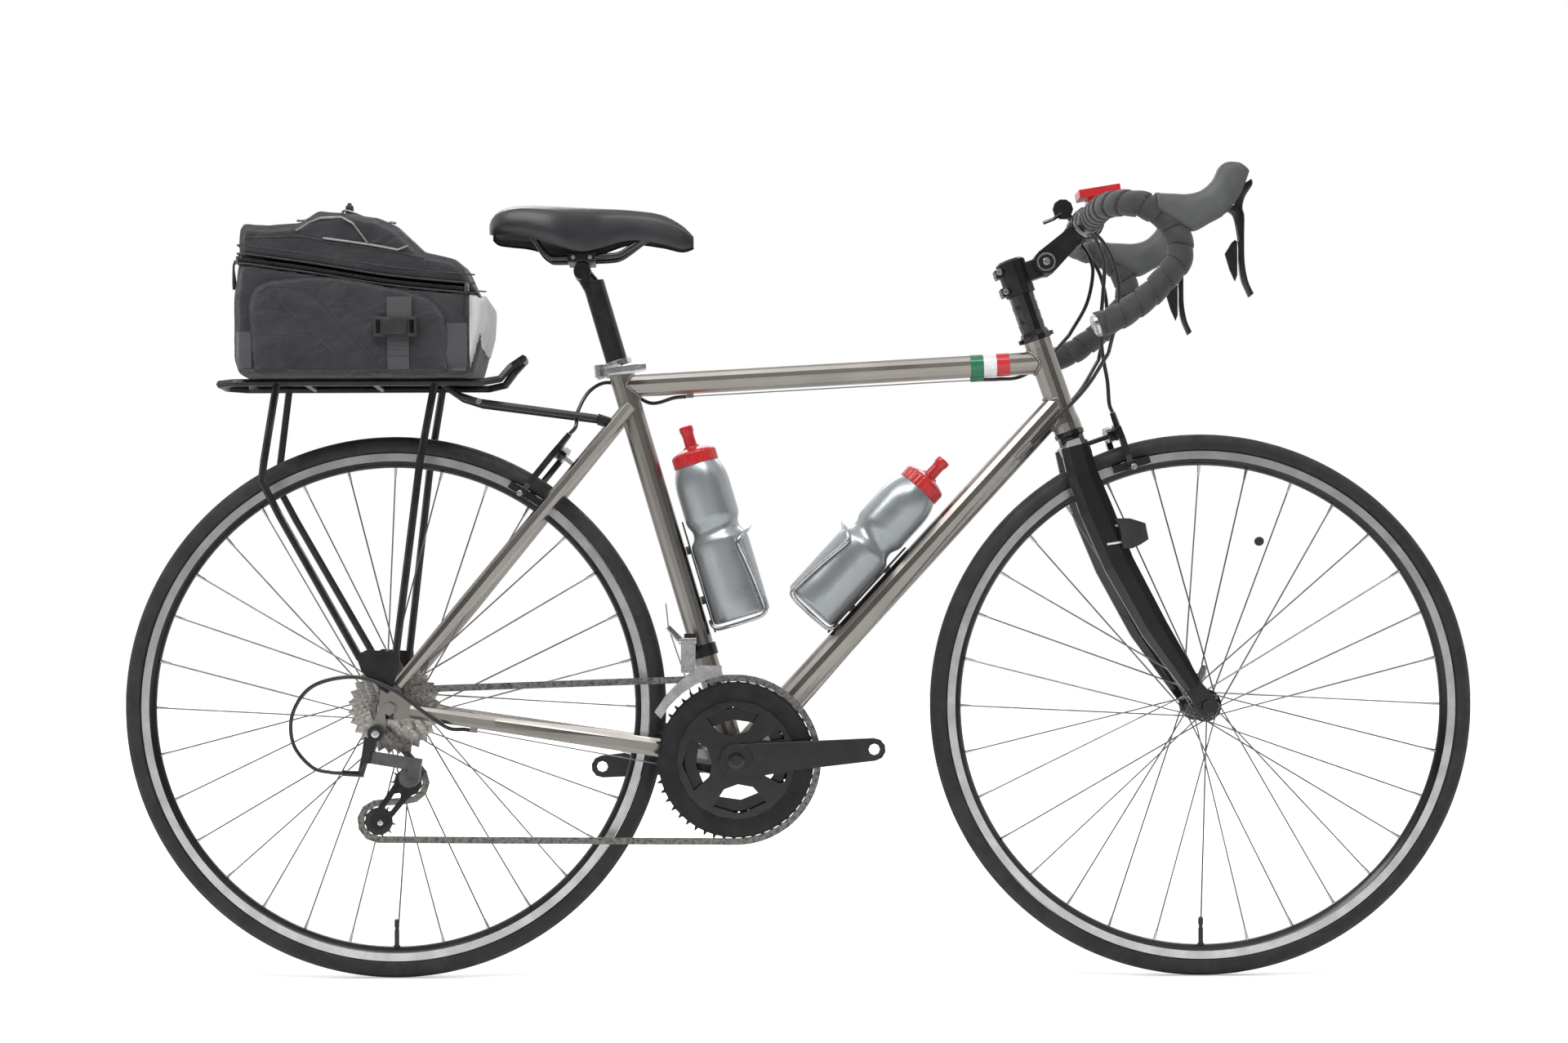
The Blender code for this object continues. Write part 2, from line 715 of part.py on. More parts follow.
def build_down_tube(frame):
    length = down_tube_length()
    tube = rod(BRACKET, down_tube_point(length - 0.004, 0), DOWN_TUBE_RADIUS, segments=16)
    tube = cut(tube, seat_tube_space(-0.02, 0.10), shell_space(), head_tube_space())
    for side in (-1, 1):
        place = [length - DOWN_TUBE_STOP - half for half in (BARREL_LENGTH / 2, -BARREL_LENGTH / 2)]
        y = side * BARREL_Y
        barrel = rod(
            down_tube_point(place[0], BARREL_OUT, y),
            down_tube_point(place[1], BARREL_OUT, y),
            BARREL_RADIUS,
            segments=6,
        )
        bore = rod(
            down_tube_point(place[0] - 0.01, BARREL_OUT, y),
            down_tube_point(place[1] + 0.01, BARREL_OUT, y),
            WIRE_RADIUS + 2 * RUNNING_GAP,
            segments=4,
        )
        tube = united(tube, cut(barrel, bore))
    return part("down_tube", tube, "titanium", frame)


def build_seat_tube(frame):
    tube = rod(BRACKET, on_seat(SEAT_TUBE_LENGTH), SEAT_TUBE_RADIUS, segments=16)
    bore = rod(
        on_seat(SEAT_TUBE_LENGTH - SEATPOST_INSERTION - 0.05),
        on_seat(SEAT_TUBE_LENGTH + 0.02),
        SEATPOST_RADIUS + GAP,
        segments=16,
    )
    return part("seat_tube", cut(tube, shell_space(), bore), "titanium", frame)


def seatstay_point(distance, side):
    """A point on a seatstay's centre line, measured up from its lower end."""
    low = Vector((SEATSTAY_FOOT.x, side * SEATSTAY_FOOT.y, SEATSTAY_FOOT.z))
    high = on_seat(SEATSTAY_ON_SEAT_TUBE, 0, side * SEATSTAY_TOP_Y)
    middle = low.lerp(high, SEATSTAY_BRIDGE_SHARE)
    middle.y = side * SEATSTAY_BRIDGE_Y
    span = (high - low).length
    share = distance / span
    if share < SEATSTAY_BRIDGE_SHARE:
        return low.lerp(middle, share / SEATSTAY_BRIDGE_SHARE)
    return middle.lerp(high, (share - SEATSTAY_BRIDGE_SHARE) / (1 - SEATSTAY_BRIDGE_SHARE))


def seatstay_span():
    return (on_seat(SEATSTAY_ON_SEAT_TUBE, 0, SEATSTAY_TOP_Y) - SEATSTAY_FOOT).length


def build_seatstays(frame):
    span = seatstay_span()
    stays = []
    for side in (-1, 1):
        route = [seatstay_point(span * share, side) for share in (0, 0.3, 0.62, 0.84, 1.0)]
        path = [route[0]] + smooth_path(route[1:], 2)
        radii = [SEATSTAY_FOOT_RADIUS] + [SEATSTAY_RADIUS] * (len(path) - 1)
        stays.append(cut(pipe(path, SEATSTAY_RADIUS, 2, radii), seat_tube_space(SEATSTAY_ON_SEAT_TUBE - 0.08, SEAT_TUBE_LENGTH)))
    left = seatstay_point(span * SEATSTAY_BRIDGE_SHARE, 1)
    right = seatstay_point(span * SEATSTAY_BRIDGE_SHARE, -1)
    bridge = rod(right, left, 0.0065, segments=8)
    middle = (left + right) / 2
    bolt = rod(middle, middle + REAR_BRAKE_OUT * REAR_BRAKE_BOLT, BRAKE_BOLT_RADIUS, segments=8)
    mesh = united(stays[0], bridge, stays[1], bolt)
    return part("seatstays", mesh, "titanium", frame)


def dropout_outline(drive_side):
    """The rear dropout's side outline in X and Z, from the seatstay's foot round to the hanger."""
    hub_x, hub_z = REAR_HUB.x, REAR_HUB.z
    foot = Vector((SEATSTAY_FOOT.x, 0, SEATSTAY_FOOT.z))
    up = (on_seat(SEATSTAY_ON_SEAT_TUBE) - foot).normalized()
    square = Vector((-up.z, 0, up.x))
    tab = foot - up * (GAP + 0.0004)
    behind, ahead = tab + square * 0.0062, tab - square * 0.0062
    stay = (BRACKET - REAR_HUB).normalized()
    stay_square = Vector((-stay.z, 0, stay.x))
    stay_end = REAR_HUB + stay * 0.034
    top, bottom = stay_end + stay_square * 0.0068, stay_end - stay_square * 0.0068
    outline = [
        (ahead.x, ahead.z),
        (hub_x + 0.0165, hub_z + 0.0155),
        (top.x, top.z),
        (bottom.x, bottom.z),
        (hub_x + 0.0135, hub_z - 0.0125),
        (hub_x + 0.0095, hub_z - 0.0150),
        (hub_x - 0.0020, hub_z - 0.0150),
    ]
    if drive_side:
        outline += [
            (HANGER[0] + 0.0082, HANGER[1] + 0.0015),
            (HANGER[0] + 0.0070, HANGER[1] - 0.0055),
            (HANGER[0], HANGER[1] - 0.0085),
            (HANGER[0] - 0.0075, HANGER[1] - 0.0045),
            (HANGER[0] - 0.0085, HANGER[1] + 0.0035),
        ]
    else:
        outline += [(hub_x - 0.0100, hub_z - 0.0135)]
    outline += [
        (hub_x - 0.0135, hub_z - 0.0020),
        (hub_x - 0.0125, hub_z + 0.0130),
        (EYELET[0] - 0.0072, EYELET[1] + 0.0010),
        (EYELET[0] - 0.0035, EYELET[1] + 0.0065),
        (behind.x, behind.z),
    ]
    return outline[::-1]


def build_chainstays(frame):
    bore = AXLE_RADIUS + RUNNING_GAP
    half, cup = SHELL_HALF_WIDTH, SHELL_HALF_WIDTH + CUP_LENGTH
    profile = [
        (bore, cup),
        (SHELL_RADIUS, cup),
        (SHELL_RADIUS, -cup),
        (bore, -cup),
    ]
    mesh = turned(profile, facing(BRACKET, ACROSS, (0, 0, 1)), 18, closed=True)
    hollow = across_rod(BRACKET, -cup, cup, bore, segments=18)
    stay = (REAR_HUB - BRACKET).normalized()
    reach = CHAINSTAY_LENGTH - 0.025
    sections = (
        (0.010, 0.0225, 0.0080, 0.0127),
        (0.140, 0.0345, 0.0087, 0.0118),
        (0.300, 0.0560, 0.0080, 0.0095),
        (reach, 0.0685, 0.0070, 0.0085),
    )
    for side in (-1, 1):
        rings = [
            oval(towards_hub(distance, side * y), stay, half_across, half_high, 8, 2.3)
            for distance, y, half_across, half_high in sections
        ]
        tube = cut(loft(rings), hollow)
        y = side * (REAR_DROPOUT_Y + DROPOUT_THICKNESS / 2)
        plate_mesh = plate([dropout_outline(side < 0)], DROPOUT_THICKNESS, side_plane(y))
        slot = capsule((REAR_HUB.x, REAR_HUB.z), (REAR_HUB.x, REAR_HUB.z - 0.03), 0.0052, 0.0051, 3)
        plate_mesh = cut(plate_mesh, plate([slot], 0.02, side_plane(y)))
        if side < 0:
            plate_mesh = cut(
                plate_mesh,
                across_rod((HANGER[0], 0, HANGER[1]), y - 0.01, y + 0.01, HANGER_BORE + 0.0002, segments=8),
            )
        nut_y = side * (REAR_DROPOUT_Y + DROPOUT_THICKNESS)
        nut = across_rod(REAR_HUB, nut_y - side * 0.0005, nut_y + side * NUT_LENGTH, NUT_RADIUS, 6)
        mesh = united(mesh, tube, plate_mesh, nut)
    skewer_half = REAR_DROPOUT_Y + DROPOUT_THICKNESS + 0.002
    skewer = across_rod(REAR_HUB, -skewer_half, skewer_half, SKEWER_RADIUS, segments=6)
    mesh = united(mesh, skewer)
    place = towards_hub(CHAINSTAY_STOP, -CHAINSTAY_STOP_Y)
    under = -ACROSS.cross(stay) if ACROSS.cross(stay).z > 0 else ACROSS.cross(stay)
    block, opening = slotted_stop(facing(place + under * 0.0092, under, stay))
    mesh = united(mesh, cut(block, opening))
    return part("chainstays", mesh, "titanium", frame)


def build_headset(steering):
    low = HEAD_TUBE_LENGTH + GAP
    bore = STEERER_RADIUS + GAP
    top = HEAD_TUBE_LENGTH + SPACER_STACK
    profile = [(bore, top)]
    height, spacer = top, 0.0120
    for _ in range(SPACERS):
        profile += [(SPACER_RADIUS, height), (SPACER_RADIUS - 0.0008, height - spacer)]
        height -= spacer
    profile += [(0.0170, height), (0.0192, low + 0.006), (0.0192, low), (bore, low)]
    mesh = turned(profile, facing(HEAD_BOTTOM, HEAD_UP), STEERER_SEGMENTS, closed=True)
    hollow = rod(on_head(low - 0.01), on_head(top + 0.01), bore + 0.0003, segments=STEERER_SEGMENTS)
    for side in (-1, 1):
        lug = rod(
            on_head(low + 0.0035, side * 0.0160),
            on_head(low + 0.0035, side * 0.0225),
            0.0030,
            segments=5,
        )
        mesh = united(mesh, cut(lug, hollow))
    return part("headset_spacers", mesh, "black_metal", steering)


def blade_centre(drop, side):
    """The centre of a fork blade at a distance below the head tube, read between measured sections."""
    sections = BLADE_SECTIONS
    for low, high in zip(sections, sections[1:]):
        if drop <= high[0] or high is sections[-1]:
            share = (drop - low[0]) / (high[0] - low[0])
            forward = low[1] + (high[1] - low[1]) * share
            y = low[2] + (high[2] - low[2]) * share
            return on_head(-drop, forward, side * y)


def build_fork(steering):
    steerer_top = HEAD_TUBE_LENGTH + SPACER_STACK + STEM_CLAMP_HEIGHT
    profile = [
        (0.0, steerer_top),
        (STEERER_RADIUS, steerer_top),
        (STEERER_RADIUS, -GAP),
        (HEAD_TUBE_RADIUS + 0.0022, -GAP),
        (HEAD_TUBE_RADIUS + 0.0022, -0.0055),
        (0.0165, -0.0075),
        (0.0165, -0.0340),
        (0.0, -0.0340),
    ]
    mesh = turned(profile, facing(HEAD_BOTTOM, HEAD_UP), STEERER_SEGMENTS)
    crown_rings = []
    for y in (-0.0330, -0.0270, 0.0270, 0.0330):
        drop = 0.0225 if abs(y) < 0.03 else 0.0300
        high = 0.0115 if abs(y) < 0.03 else 0.0090
        centre = on_head(-drop, -0.002, y)
        crown_rings.append(oval(centre, ACROSS, high, 0.0175, 8, 2.4, across=HEAD_UP))
    mesh = united(mesh, loft(crown_rings))
    for side in (-1, 1):
        rings = []
        for i, (drop, forward, y, half_wide, half_thick) in enumerate(BLADE_SECTIONS):
            before = BLADE_SECTIONS[max(i - 1, 0)]
            after = BLADE_SECTIONS[min(i + 1, len(BLADE_SECTIONS) - 1)]
            heading = on_head(-after[0], after[1], side * after[2]) - on_head(
                -before[0], before[1], side * before[2]
            )
            centre = on_head(-drop, forward, side * y)
            rings.append(oval(centre, heading, half_thick, half_wide, 8, 2.3))
        y = side * (FRONT_DROPOUT_Y + DROPOUT_THICKNESS / 2)
        foot = on_head(-0.350, 0.0335)
        outline = capsule((FRONT_HUB.x, FRONT_HUB.z), (foot.x, foot.z), 0.0130, 0.0115, 4)
        tip = plate([outline], DROPOUT_THICKNESS, side_plane(y))
        slot_end = FRONT_HUB - HEAD_UP * 0.03
        slot = capsule((FRONT_HUB.x, FRONT_HUB.z), (slot_end.x, slot_end.z), 0.0047, 0.0046, 3)
        tip = cut(tip, plate([slot], 0.02, side_plane(y)))
        nut_y = side * (FRONT_DROPOUT_Y + DROPOUT_THICKNESS)
        nut = across_rod(FRONT_HUB, nut_y - side * 0.0005, nut_y + side * NUT_LENGTH, NUT_RADIUS, 6)
        mesh = united(mesh, loft(rings), tip, nut)
    skewer_half = FRONT_DROPOUT_Y + DROPOUT_THICKNESS + 0.002
    skewer = across_rod(FRONT_HUB, -skewer_half, skewer_half, SKEWER_RADIUS, segments=6)
    bolt = rod(
        on_head(-FRONT_BRAKE_DROP, 0.005),
        on_head(-FRONT_BRAKE_DROP, FRONT_BRAKE_FORWARD + 0.0125),
        BRAKE_BOLT_RADIUS,
        segments=6,
    )
    return part("fork", united(mesh, skewer, bolt), "black_paint", steering)


# The wheels


def wheel_matrix(hub):
    """Local Z runs to the left and local X straight down, so that a corner of each ring is lowest."""
    return facing(hub, ACROSS, (0, 0, -1))


def build_tyre_and_rim(hub, prefix, wheel):
    inner = RIM_OUTER_RADIUS + 0.0005
    tyre = [
        (inner, 0.0093),
        (inner + 0.0080, TYRE_HALF_WIDTH),
        (TYRE_RADIUS, TYRE_HALF_WIDTH * 0.36),
        (TYRE_RADIUS, -TYRE_HALF_WIDTH * 0.36),
        (inner + 0.0080, -TYRE_HALF_WIDTH),
        (inner, -0.0093),
    ]
    mesh = turned(tyre, wheel_matrix(hub), WHEEL_SEGMENTS, closed=True)
    part(prefix + "_tyre", mesh, "tyre_rubber", wheel)
    track = RIM_OUTER_RADIUS - BRAKE_TRACK_HEIGHT
    rim = [
        (RIM_OUTER_RADIUS, RIM_HALF_WIDTH),
        (track, RIM_HALF_WIDTH),
        (RIM_INNER_RADIUS, 0.0),
        (track, -RIM_HALF_WIDTH),
        (RIM_OUTER_RADIUS, -RIM_HALF_WIDTH),
    ]
    mesh = turned(rim, wheel_matrix(hub), WHEEL_SEGMENTS, closed=True)
    part(prefix + "_rim", mesh, "black_metal", wheel)


def spoke_ends(hub, flange_y, flange_radius, index, turn):
    """A spoke's ends: SPOKE_CROSSINGS crossings, with heads in and out by turns on the flange."""
    per_flange = SPOKES // 2
    step = 2 * math.pi / per_flange
    trailing = index % 2
    lead = step * SPOKE_CROSSINGS * (1 if trailing else -1)
    hole = turn + step * index
    nipple = hole + lead
    out = 1 if trailing else -1
    side = 1 if flange_y > 0 else -1
    hole_radius = flange_radius - 0.0040
    start = hub + Vector(
        (hole_radius * math.sin(hole), flange_y + side * out * 0.0006, hole_radius * math.cos(hole))
    )
    end_radius = RIM_INNER_RADIUS - GAP
    end = hub + Vector(
        (end_radius * math.sin(nipple), side * (0.0016 + out * 0.0010), end_radius * math.cos(nipple))
    )
    return start, end


def build_hub(hub, name, wheel, profile, flanges):
    mesh = turned(profile, wheel_matrix(hub), 8, closed=True)
    step = 4 * math.pi / SPOKES
    spokes = []
    for number, (flange_y, flange_radius) in enumerate(flanges):
        for index in range(SPOKES // 2):
            start, end = spoke_ends(hub, flange_y, flange_radius, index, number * step / 2)
            spokes.append(rod(start, end, SPOKE_RADIUS, segments=3))
    mesh = united(mesh, gathered(spokes))
    return part(name, mesh, "steel", wheel)


def build_wheels(front_wheel, rear_wheel):
    build_tyre_and_rim(FRONT_HUB, "front", front_wheel)
    build_tyre_and_rim(REAR_HUB, "rear", rear_wheel)
    bore = SKEWER_RADIUS + RUNNING_GAP
    half = FRONT_HUB_WIDTH / 2
    profile = [(bore, half), (0.0085, half), (0.0095, FRONT_FLANGE_Y + 0.0045)]
    profile += [(0.0205, FRONT_FLANGE_Y + 0.0017), (0.0205, FRONT_FLANGE_Y - 0.0017)]
    profile += [(0.0105, FRONT_FLANGE_Y - 0.0060)]
    profile += [(radius, -height) for radius, height in profile[::-1]]
    flanges = ((FRONT_FLANGE_Y, 0.0205), (-FRONT_FLANGE_Y, 0.0205))
    build_hub(FRONT_HUB, "front_hub_spokes", front_wheel, profile, flanges)
    half = REAR_HUB_WIDTH / 2
    profile = [
        (bore, half),
        (0.0085, half),
        (0.0120, REAR_FLANGE_LEFT + 0.0060),
        (0.0225, REAR_FLANGE_LEFT + 0.0018),
        (0.0225, REAR_FLANGE_LEFT - 0.0018),
        (0.0115, REAR_FLANGE_LEFT - 0.0070),
        (0.0115, REAR_FLANGE_RIGHT + 0.0070),
        (0.0225, REAR_FLANGE_RIGHT + 0.0018),
        (0.0225, REAR_FLANGE_RIGHT - 0.0016),
        (FREEHUB_RADIUS, REAR_FLANGE_RIGHT - 0.0030),
        (FREEHUB_RADIUS, -0.0590),
        (0.0085, -half),
        (bore, -half),
    ]
    flanges = ((REAR_FLANGE_LEFT, 0.0225), (REAR_FLANGE_RIGHT, 0.0225))
    build_hub(REAR_HUB, "rear_hub_spokes", rear_wheel, profile, flanges)


# The drive


def pitch_radius_of(teeth):
    return CHAIN_PITCH / (2 * math.sin(math.pi / teeth))


def fan(bm, inner, outer):
    """Join a ring of few points to one of more, walking both by angle."""
    few, many = len(inner), len(outer)
    i = j = 0
    while i < few or j < many:
        a, b = inner[i % few], outer[j % many]
        if i == few or (j < many and (j + 0.5) * few <= (i + 0.5) * many):
            bm.faces.new((a, b, outer[(j + 1) % many]))
            j += 1
        else:
            bm.faces.new((a, b, inner[(i + 1) % few]))
            i += 1


def tooth_places(teeth, root_below, tip_above, floor_half, phase):
    """The floors' ends and the tips of a toothed wheel about its centre. A floor lies at phase."""
    pitch_radius = pitch_radius_of(teeth)
    root = pitch_radius - root_below
    roots = []
    for i in range(teeth):
        angle = phase + 2 * math.pi * i / teeth
        for offset in (-floor_half / root, floor_half / root) if floor_half else (0.0,):
            roots.append((root * math.cos(angle + offset), root * math.sin(angle + offset)))
    return roots, circle((0, 0), pitch_radius + tip_above, teeth, phase + math.pi / teeth)


def add_teeth(bm, near, tips, far):
    """Close a toothed wheel's rim, each tooth a wedge that ends in a point at mid-thickness."""
    step = len(near) // len(tips)
    for i, tip in enumerate(tips):
        start, end = i * step + step - 1, (i * step + step) % len(near)
        bm.faces.new((near[start], tip, near[end]))
        bm.faces.new((far[start], tip, far[end]))
        bm.faces.new((near[start], far[start], tip))
        bm.faces.new((near[end], far[end], tip))
        if step == 2:
            low = i * step
            bm.faces.new((near[low], near[low + 1], far[low + 1], far[low]))


def toothed_ring(centre, y, half, bore, sides, teeth, depths, floor_half, phase):
    """A flat toothed wheel with a round bore. depths are its root's and its tips' offsets from the pitch circle."""
    roots, tip_places = tooth_places(teeth, depths[0], depths[1], floor_half, phase)
    bm = bmesh.new()

    def ring(outline, depth):
        return [bm.verts.new((centre[0] + x, depth, centre[1] + z)) for x, z in outline]

    bores = [ring(circle((0, 0), bore, sides, phase), y + side * half) for side in (-1, 1)]
    rims = [ring(roots, y + side * half) for side in (-1, 1)]
    for inner, outer in zip(bores, rims):
        fan(bm, inner, outer)
    for i in range(sides):
        j = (i + 1) % sides
        bm.faces.new((bores[0][i], bores[0][j], bores[1][j], bores[1][i]))
    add_teeth(bm, rims[0], ring(tip_places, y), rims[1])
    bmesh.ops.recalc_face_normals(bm, faces=bm.faces)
    mesh = bpy.data.meshes.new("toothed_ring")
    bm.to_mesh(mesh)
    bm.free()
    return mesh


def side_point(v):
    return Vector((v[0], v[1]))


def belt_tangent(first, second):
    """The straight run between two wheels, each (centre, radius, turn), turn +1 for clockwise."""
    (c1, r1, s1), (c2, r2, s2) = first, second
    span = c2 - c1
    heading = math.atan2(span.y, span.x) - math.asin((s1 * r1 - s2 * r2) / span.length)
    left = Vector((-math.sin(heading), math.cos(heading)))
    return c1 + left * (s1 * r1), c2 + left * (s2 * r2)


def cage_centres(turn):
    """The guide and tension pulley centres with the cage turned about its pivot."""
    spin = Matrix.Rotation(turn, 2)
    pivot = side_point(CAGE_PIVOT)
    guide = pivot + spin @ (side_point(GUIDE_AT) - pivot)
    down = (side_point(TENSION_AT) - side_point(GUIDE_AT)).normalized()
    return guide, guide + (spin @ down) * PULLEY_SPACING


def chain_wheels(turn):
    guide, tension = cage_centres(turn)
    pulley = pitch_radius_of(PULLEY_TEETH)
    return [
        (side_point((BRACKET.x, BRACKET.z)), pitch_radius_of(BIG_RING_TEETH), 1, BIG_RING_TEETH),
        (tension, pulley, 1, PULLEY_TEETH),
        (guide, pulley, -1, PULLEY_TEETH),
        (side_point((REAR_HUB.x, REAR_HUB.z)), pitch_radius_of(COGS[0]), 1, COGS[0]),
    ]


def chain_pieces(turn):
    """The chain's straight runs and arcs, as (length in pitches, function of 0 to 1 giving a point)."""
    wheels = chain_wheels(turn)
    count = len(wheels)
    tangents = [belt_tangent(wheels[i][:3], wheels[(i + 1) % count][:3]) for i in range(count)]
    pieces = []
    for i in range(count):
        centre, radius, way, teeth = wheels[i]
        begin, end = tangents[i - 1][1] - centre, tangents[i][0] - centre
        start_angle = math.atan2(begin.y, begin.x)
        sweep = (math.atan2(end.y, end.x) - start_angle) * -way % (2 * math.pi)

        def arc(t, centre=centre, radius=radius, way=way, start_angle=start_angle, sweep=sweep):
            angle = start_angle - way * sweep * t
            return centre + Vector((math.cos(angle), math.sin(angle))) * radius

        def run(t, ends=tangents[i]):
            return ends[0].lerp(ends[1], t)

        pieces.append((sweep / (2 * math.pi / teeth), arc))
        pieces.append(((tangents[i][1] - tangents[i][0]).length / CHAIN_PITCH, run))
    return pieces


def solve_chain():
    """The cage's turn that makes the chain an even number of links, and the pins' places."""
    total = sum(length for length, _ in chain_pieces(0.0))
    links = 2 * round(total / 2)
    low, high = -0.5, 0.5
    rising = sum(p[0] for p in chain_pieces(high)) > sum(p[0] for p in chain_pieces(low))
    for _ in range(60):
        middle = (low + high) / 2
        longer = sum(p[0] for p in chain_pieces(middle)) > links
        if longer == rising:
            high = middle
        else:
            low = middle
    pieces = chain_pieces(middle)
    pins = []
    for link in range(links):
        left = float(link)
        for length, place in pieces:
            if left <= length:
                pins.append(place(left / length))
                break
            left -= length
    return middle, pins


def chain_y(pin):
    """The chain's place across the bicycle: straight by the cogs and pulleys, then slanting to the ring."""
    start, end = REAR_HUB.x + 0.050, BRACKET.x - 0.045
    share = min(max((pin.x - start) / (end - start), 0.0), 1.0)
    return SMALLEST_COG_Y + (BIG_RING_Y - SMALLEST_COG_Y) * share


def gear_phase(pins, centre, radius):
    """The direction from a toothed wheel's centre to the pin that lies nearest its pitch circle."""
    near = min(pins, key=lambda pin: abs((pin - centre).length - radius))
    toward = near - centre
    return math.atan2(toward.y, toward.x)


def engaged(pin, wheels):
    """Whether a pin is near enough to a toothed wheel for its teeth to reach between the plates."""
    reach = 1.53 * CHAIN_PLATE_HALF
    return any(abs((pin - centre).length - radius) < reach for centre, radius, _, _ in wheels)


def build_chain(frame, pins, turn):
    """A ladder of plates and rollers as one skin, with a window wherever a tooth reaches in."""
    mesh = bpy.data.meshes.new("chain")
    wheels = chain_wheels(turn)
    bm = bmesh.new()
    count = len(pins)
    rows = []
    for i, pin in enumerate(pins):
        after = pins[(i + 1) % count]
        before = pins[i - 1]
        along = (after - before).normalized()
        up = Vector((-along.y, along.x))
        run = (after - pin).normalized()
        run_up = Vector((-run.y, run.x))
        y, y_after = chain_y(pin), chain_y(after)
        row = {"open": engaged(pin, wheels) or engaged(after, wheels)}
        for name, side in (("l", 1), ("r", -1)):
            for level, sign in (("t", 1), ("b", -1)):
                place = pin + up * (CHAIN_PLATE_HALF * sign)
                row[name + level] = bm.verts.new((place.x, y + side * CHAIN_OUTER_HALF, place.y))
                if not row["open"]:
                    continue
                for end, share in (("0", CHAIN_ROLLER_SHARE), ("1", 1 - CHAIN_ROLLER_SHARE)):
                    hole = pin.lerp(after, share) + run_up * (CHAIN_PLATE_HALF * sign)
                    depth = y + (y_after - y) * share + side * CHAIN_INNER_HALF
                    row[name + level + end] = bm.verts.new((hole.x, depth, hole.y))
        rows.append(row)
    for i, row in enumerate(rows):
        after = rows[(i + 1) % count]
        for side in ("l", "r"):
            bm.faces.new((row[side + "t"], row[side + "b"], after[side + "b"], after[side + "t"]))
        if not row["open"]:
            for level in ("t", "b"):
                bm.faces.new((row["l" + level], row["r" + level], after["r" + level], after["l" + level]))
            continue
        for side in ("l", "r"):
            bm.faces.new((row[side + "t0"], row[side + "b0"], row[side + "b1"], row[side + "t1"]))
            for level in ("t", "b"):
                outer, inner = side + level, side + level
                bm.faces.new((row[outer], row[inner + "0"], row[inner + "1"], after[outer]))
        for level in ("t", "b"):
            left, right = "l" + level, "r" + level
            bm.faces.new((row[left], row[right], row[right + "0"], row[left + "0"]))
            bm.faces.new((after[left], after[right], row[right + "1"], row[left + "1"]))
        for end in ("0", "1"):
            bm.faces.new((row["lt" + end], row["lb" + end], row["rb" + end], row["rt" + end]))
    bmesh.ops.recalc_face_normals(bm, faces=bm.faces)
    bm.to_mesh(mesh)
    bm.free()
    return part("chain", mesh, "steel", frame)


def build_cassette(spin, pins):
    """A stack of cogs with wedge-shaped teeth, on one sleeve with a clear bore."""
    sides = 6
    bore, sleeve = (FREEHUB_RADIUS + GAP) / math.cos(math.pi / sides), COG_SLEEVE_RADIUS
    hub = side_point((REAR_HUB.x, REAR_HUB.z))
    phase = gear_phase(pins, hub, pitch_radius_of(COGS[0]))
    half = COG_HALF_THICKNESS
    bm = bmesh.new()

    def ring(outline, y):
        return [bm.verts.new((REAR_HUB.x + x, y, REAR_HUB.z + z)) for x, z in outline]

    def same(first, second):
        for i in range(len(first)):
            j = (i + 1) % len(first)
            bm.faces.new((first[i], first[j], second[j], second[i]))

    sleeve_outline = circle((0, 0), sleeve, sides, phase)
    bore_outline = circle((0, 0), bore, sides, phase)
    y = SMALLEST_COG_Y - half - LOCKRING_LENGTH
    first_bore = ring(bore_outline, y)
    current = ring(sleeve_outline, y)
    same(first_bore, current)
    for number, teeth in enumerate(COGS):
        y = SMALLEST_COG_Y + number * COG_SPACING
        engaged_cog = number == 0
        floor_half = TOOTH_FLOOR_HALF if engaged_cog else 0.0
        roots, tip_places = tooth_places(teeth, COG_ROOT_BELOW, 0.0018, floor_half, phase)
        outer_edge = ring(sleeve_outline, y - half)
        same(current, outer_edge)
        inner_edge = ring(sleeve_outline, y + half)
        if engaged_cog:
            near, tips, far = ring(roots, y - half * 0.7), ring(tip_places, y), ring(roots, y + half * 0.7)
            add_teeth(bm, near, tips, far)
        else:
            rim = [place for pair in zip(roots, tip_places) for place in pair]
            near = far = ring(rim, y)
        fan(bm, outer_edge, near)
        fan(bm, inner_edge, far)
        current = inner_edge
    last_bore = ring(bore_outline, y + half)
    same(current, last_bore)
    same(last_bore, first_bore)
    bmesh.ops.recalc_face_normals(bm, faces=bm.faces)
    mesh = bpy.data.meshes.new("cassette")
    bm.to_mesh(mesh)
    bm.free()
    return part("cassette", mesh, "steel", spin)


def rounded_window(inner, outer, middle_angle, half_angle):
    """A crank window: wide at the rim, narrow at the boss, with its corners rounded off."""
    points = []
    for radius, angle in (
        (inner, 0.0),
        (inner * 1.30, -0.82),
        (outer * 0.97, -0.94),
        (outer * 1.02, 0.0),
        (outer * 0.97, 0.94),
        (inner * 1.30, 0.82),
    ):
        turn = middle_angle + half_angle * angle
        points.append((BRACKET.x + radius * math.cos(turn), BRACKET.z + radius * math.sin(turn)))
    return points


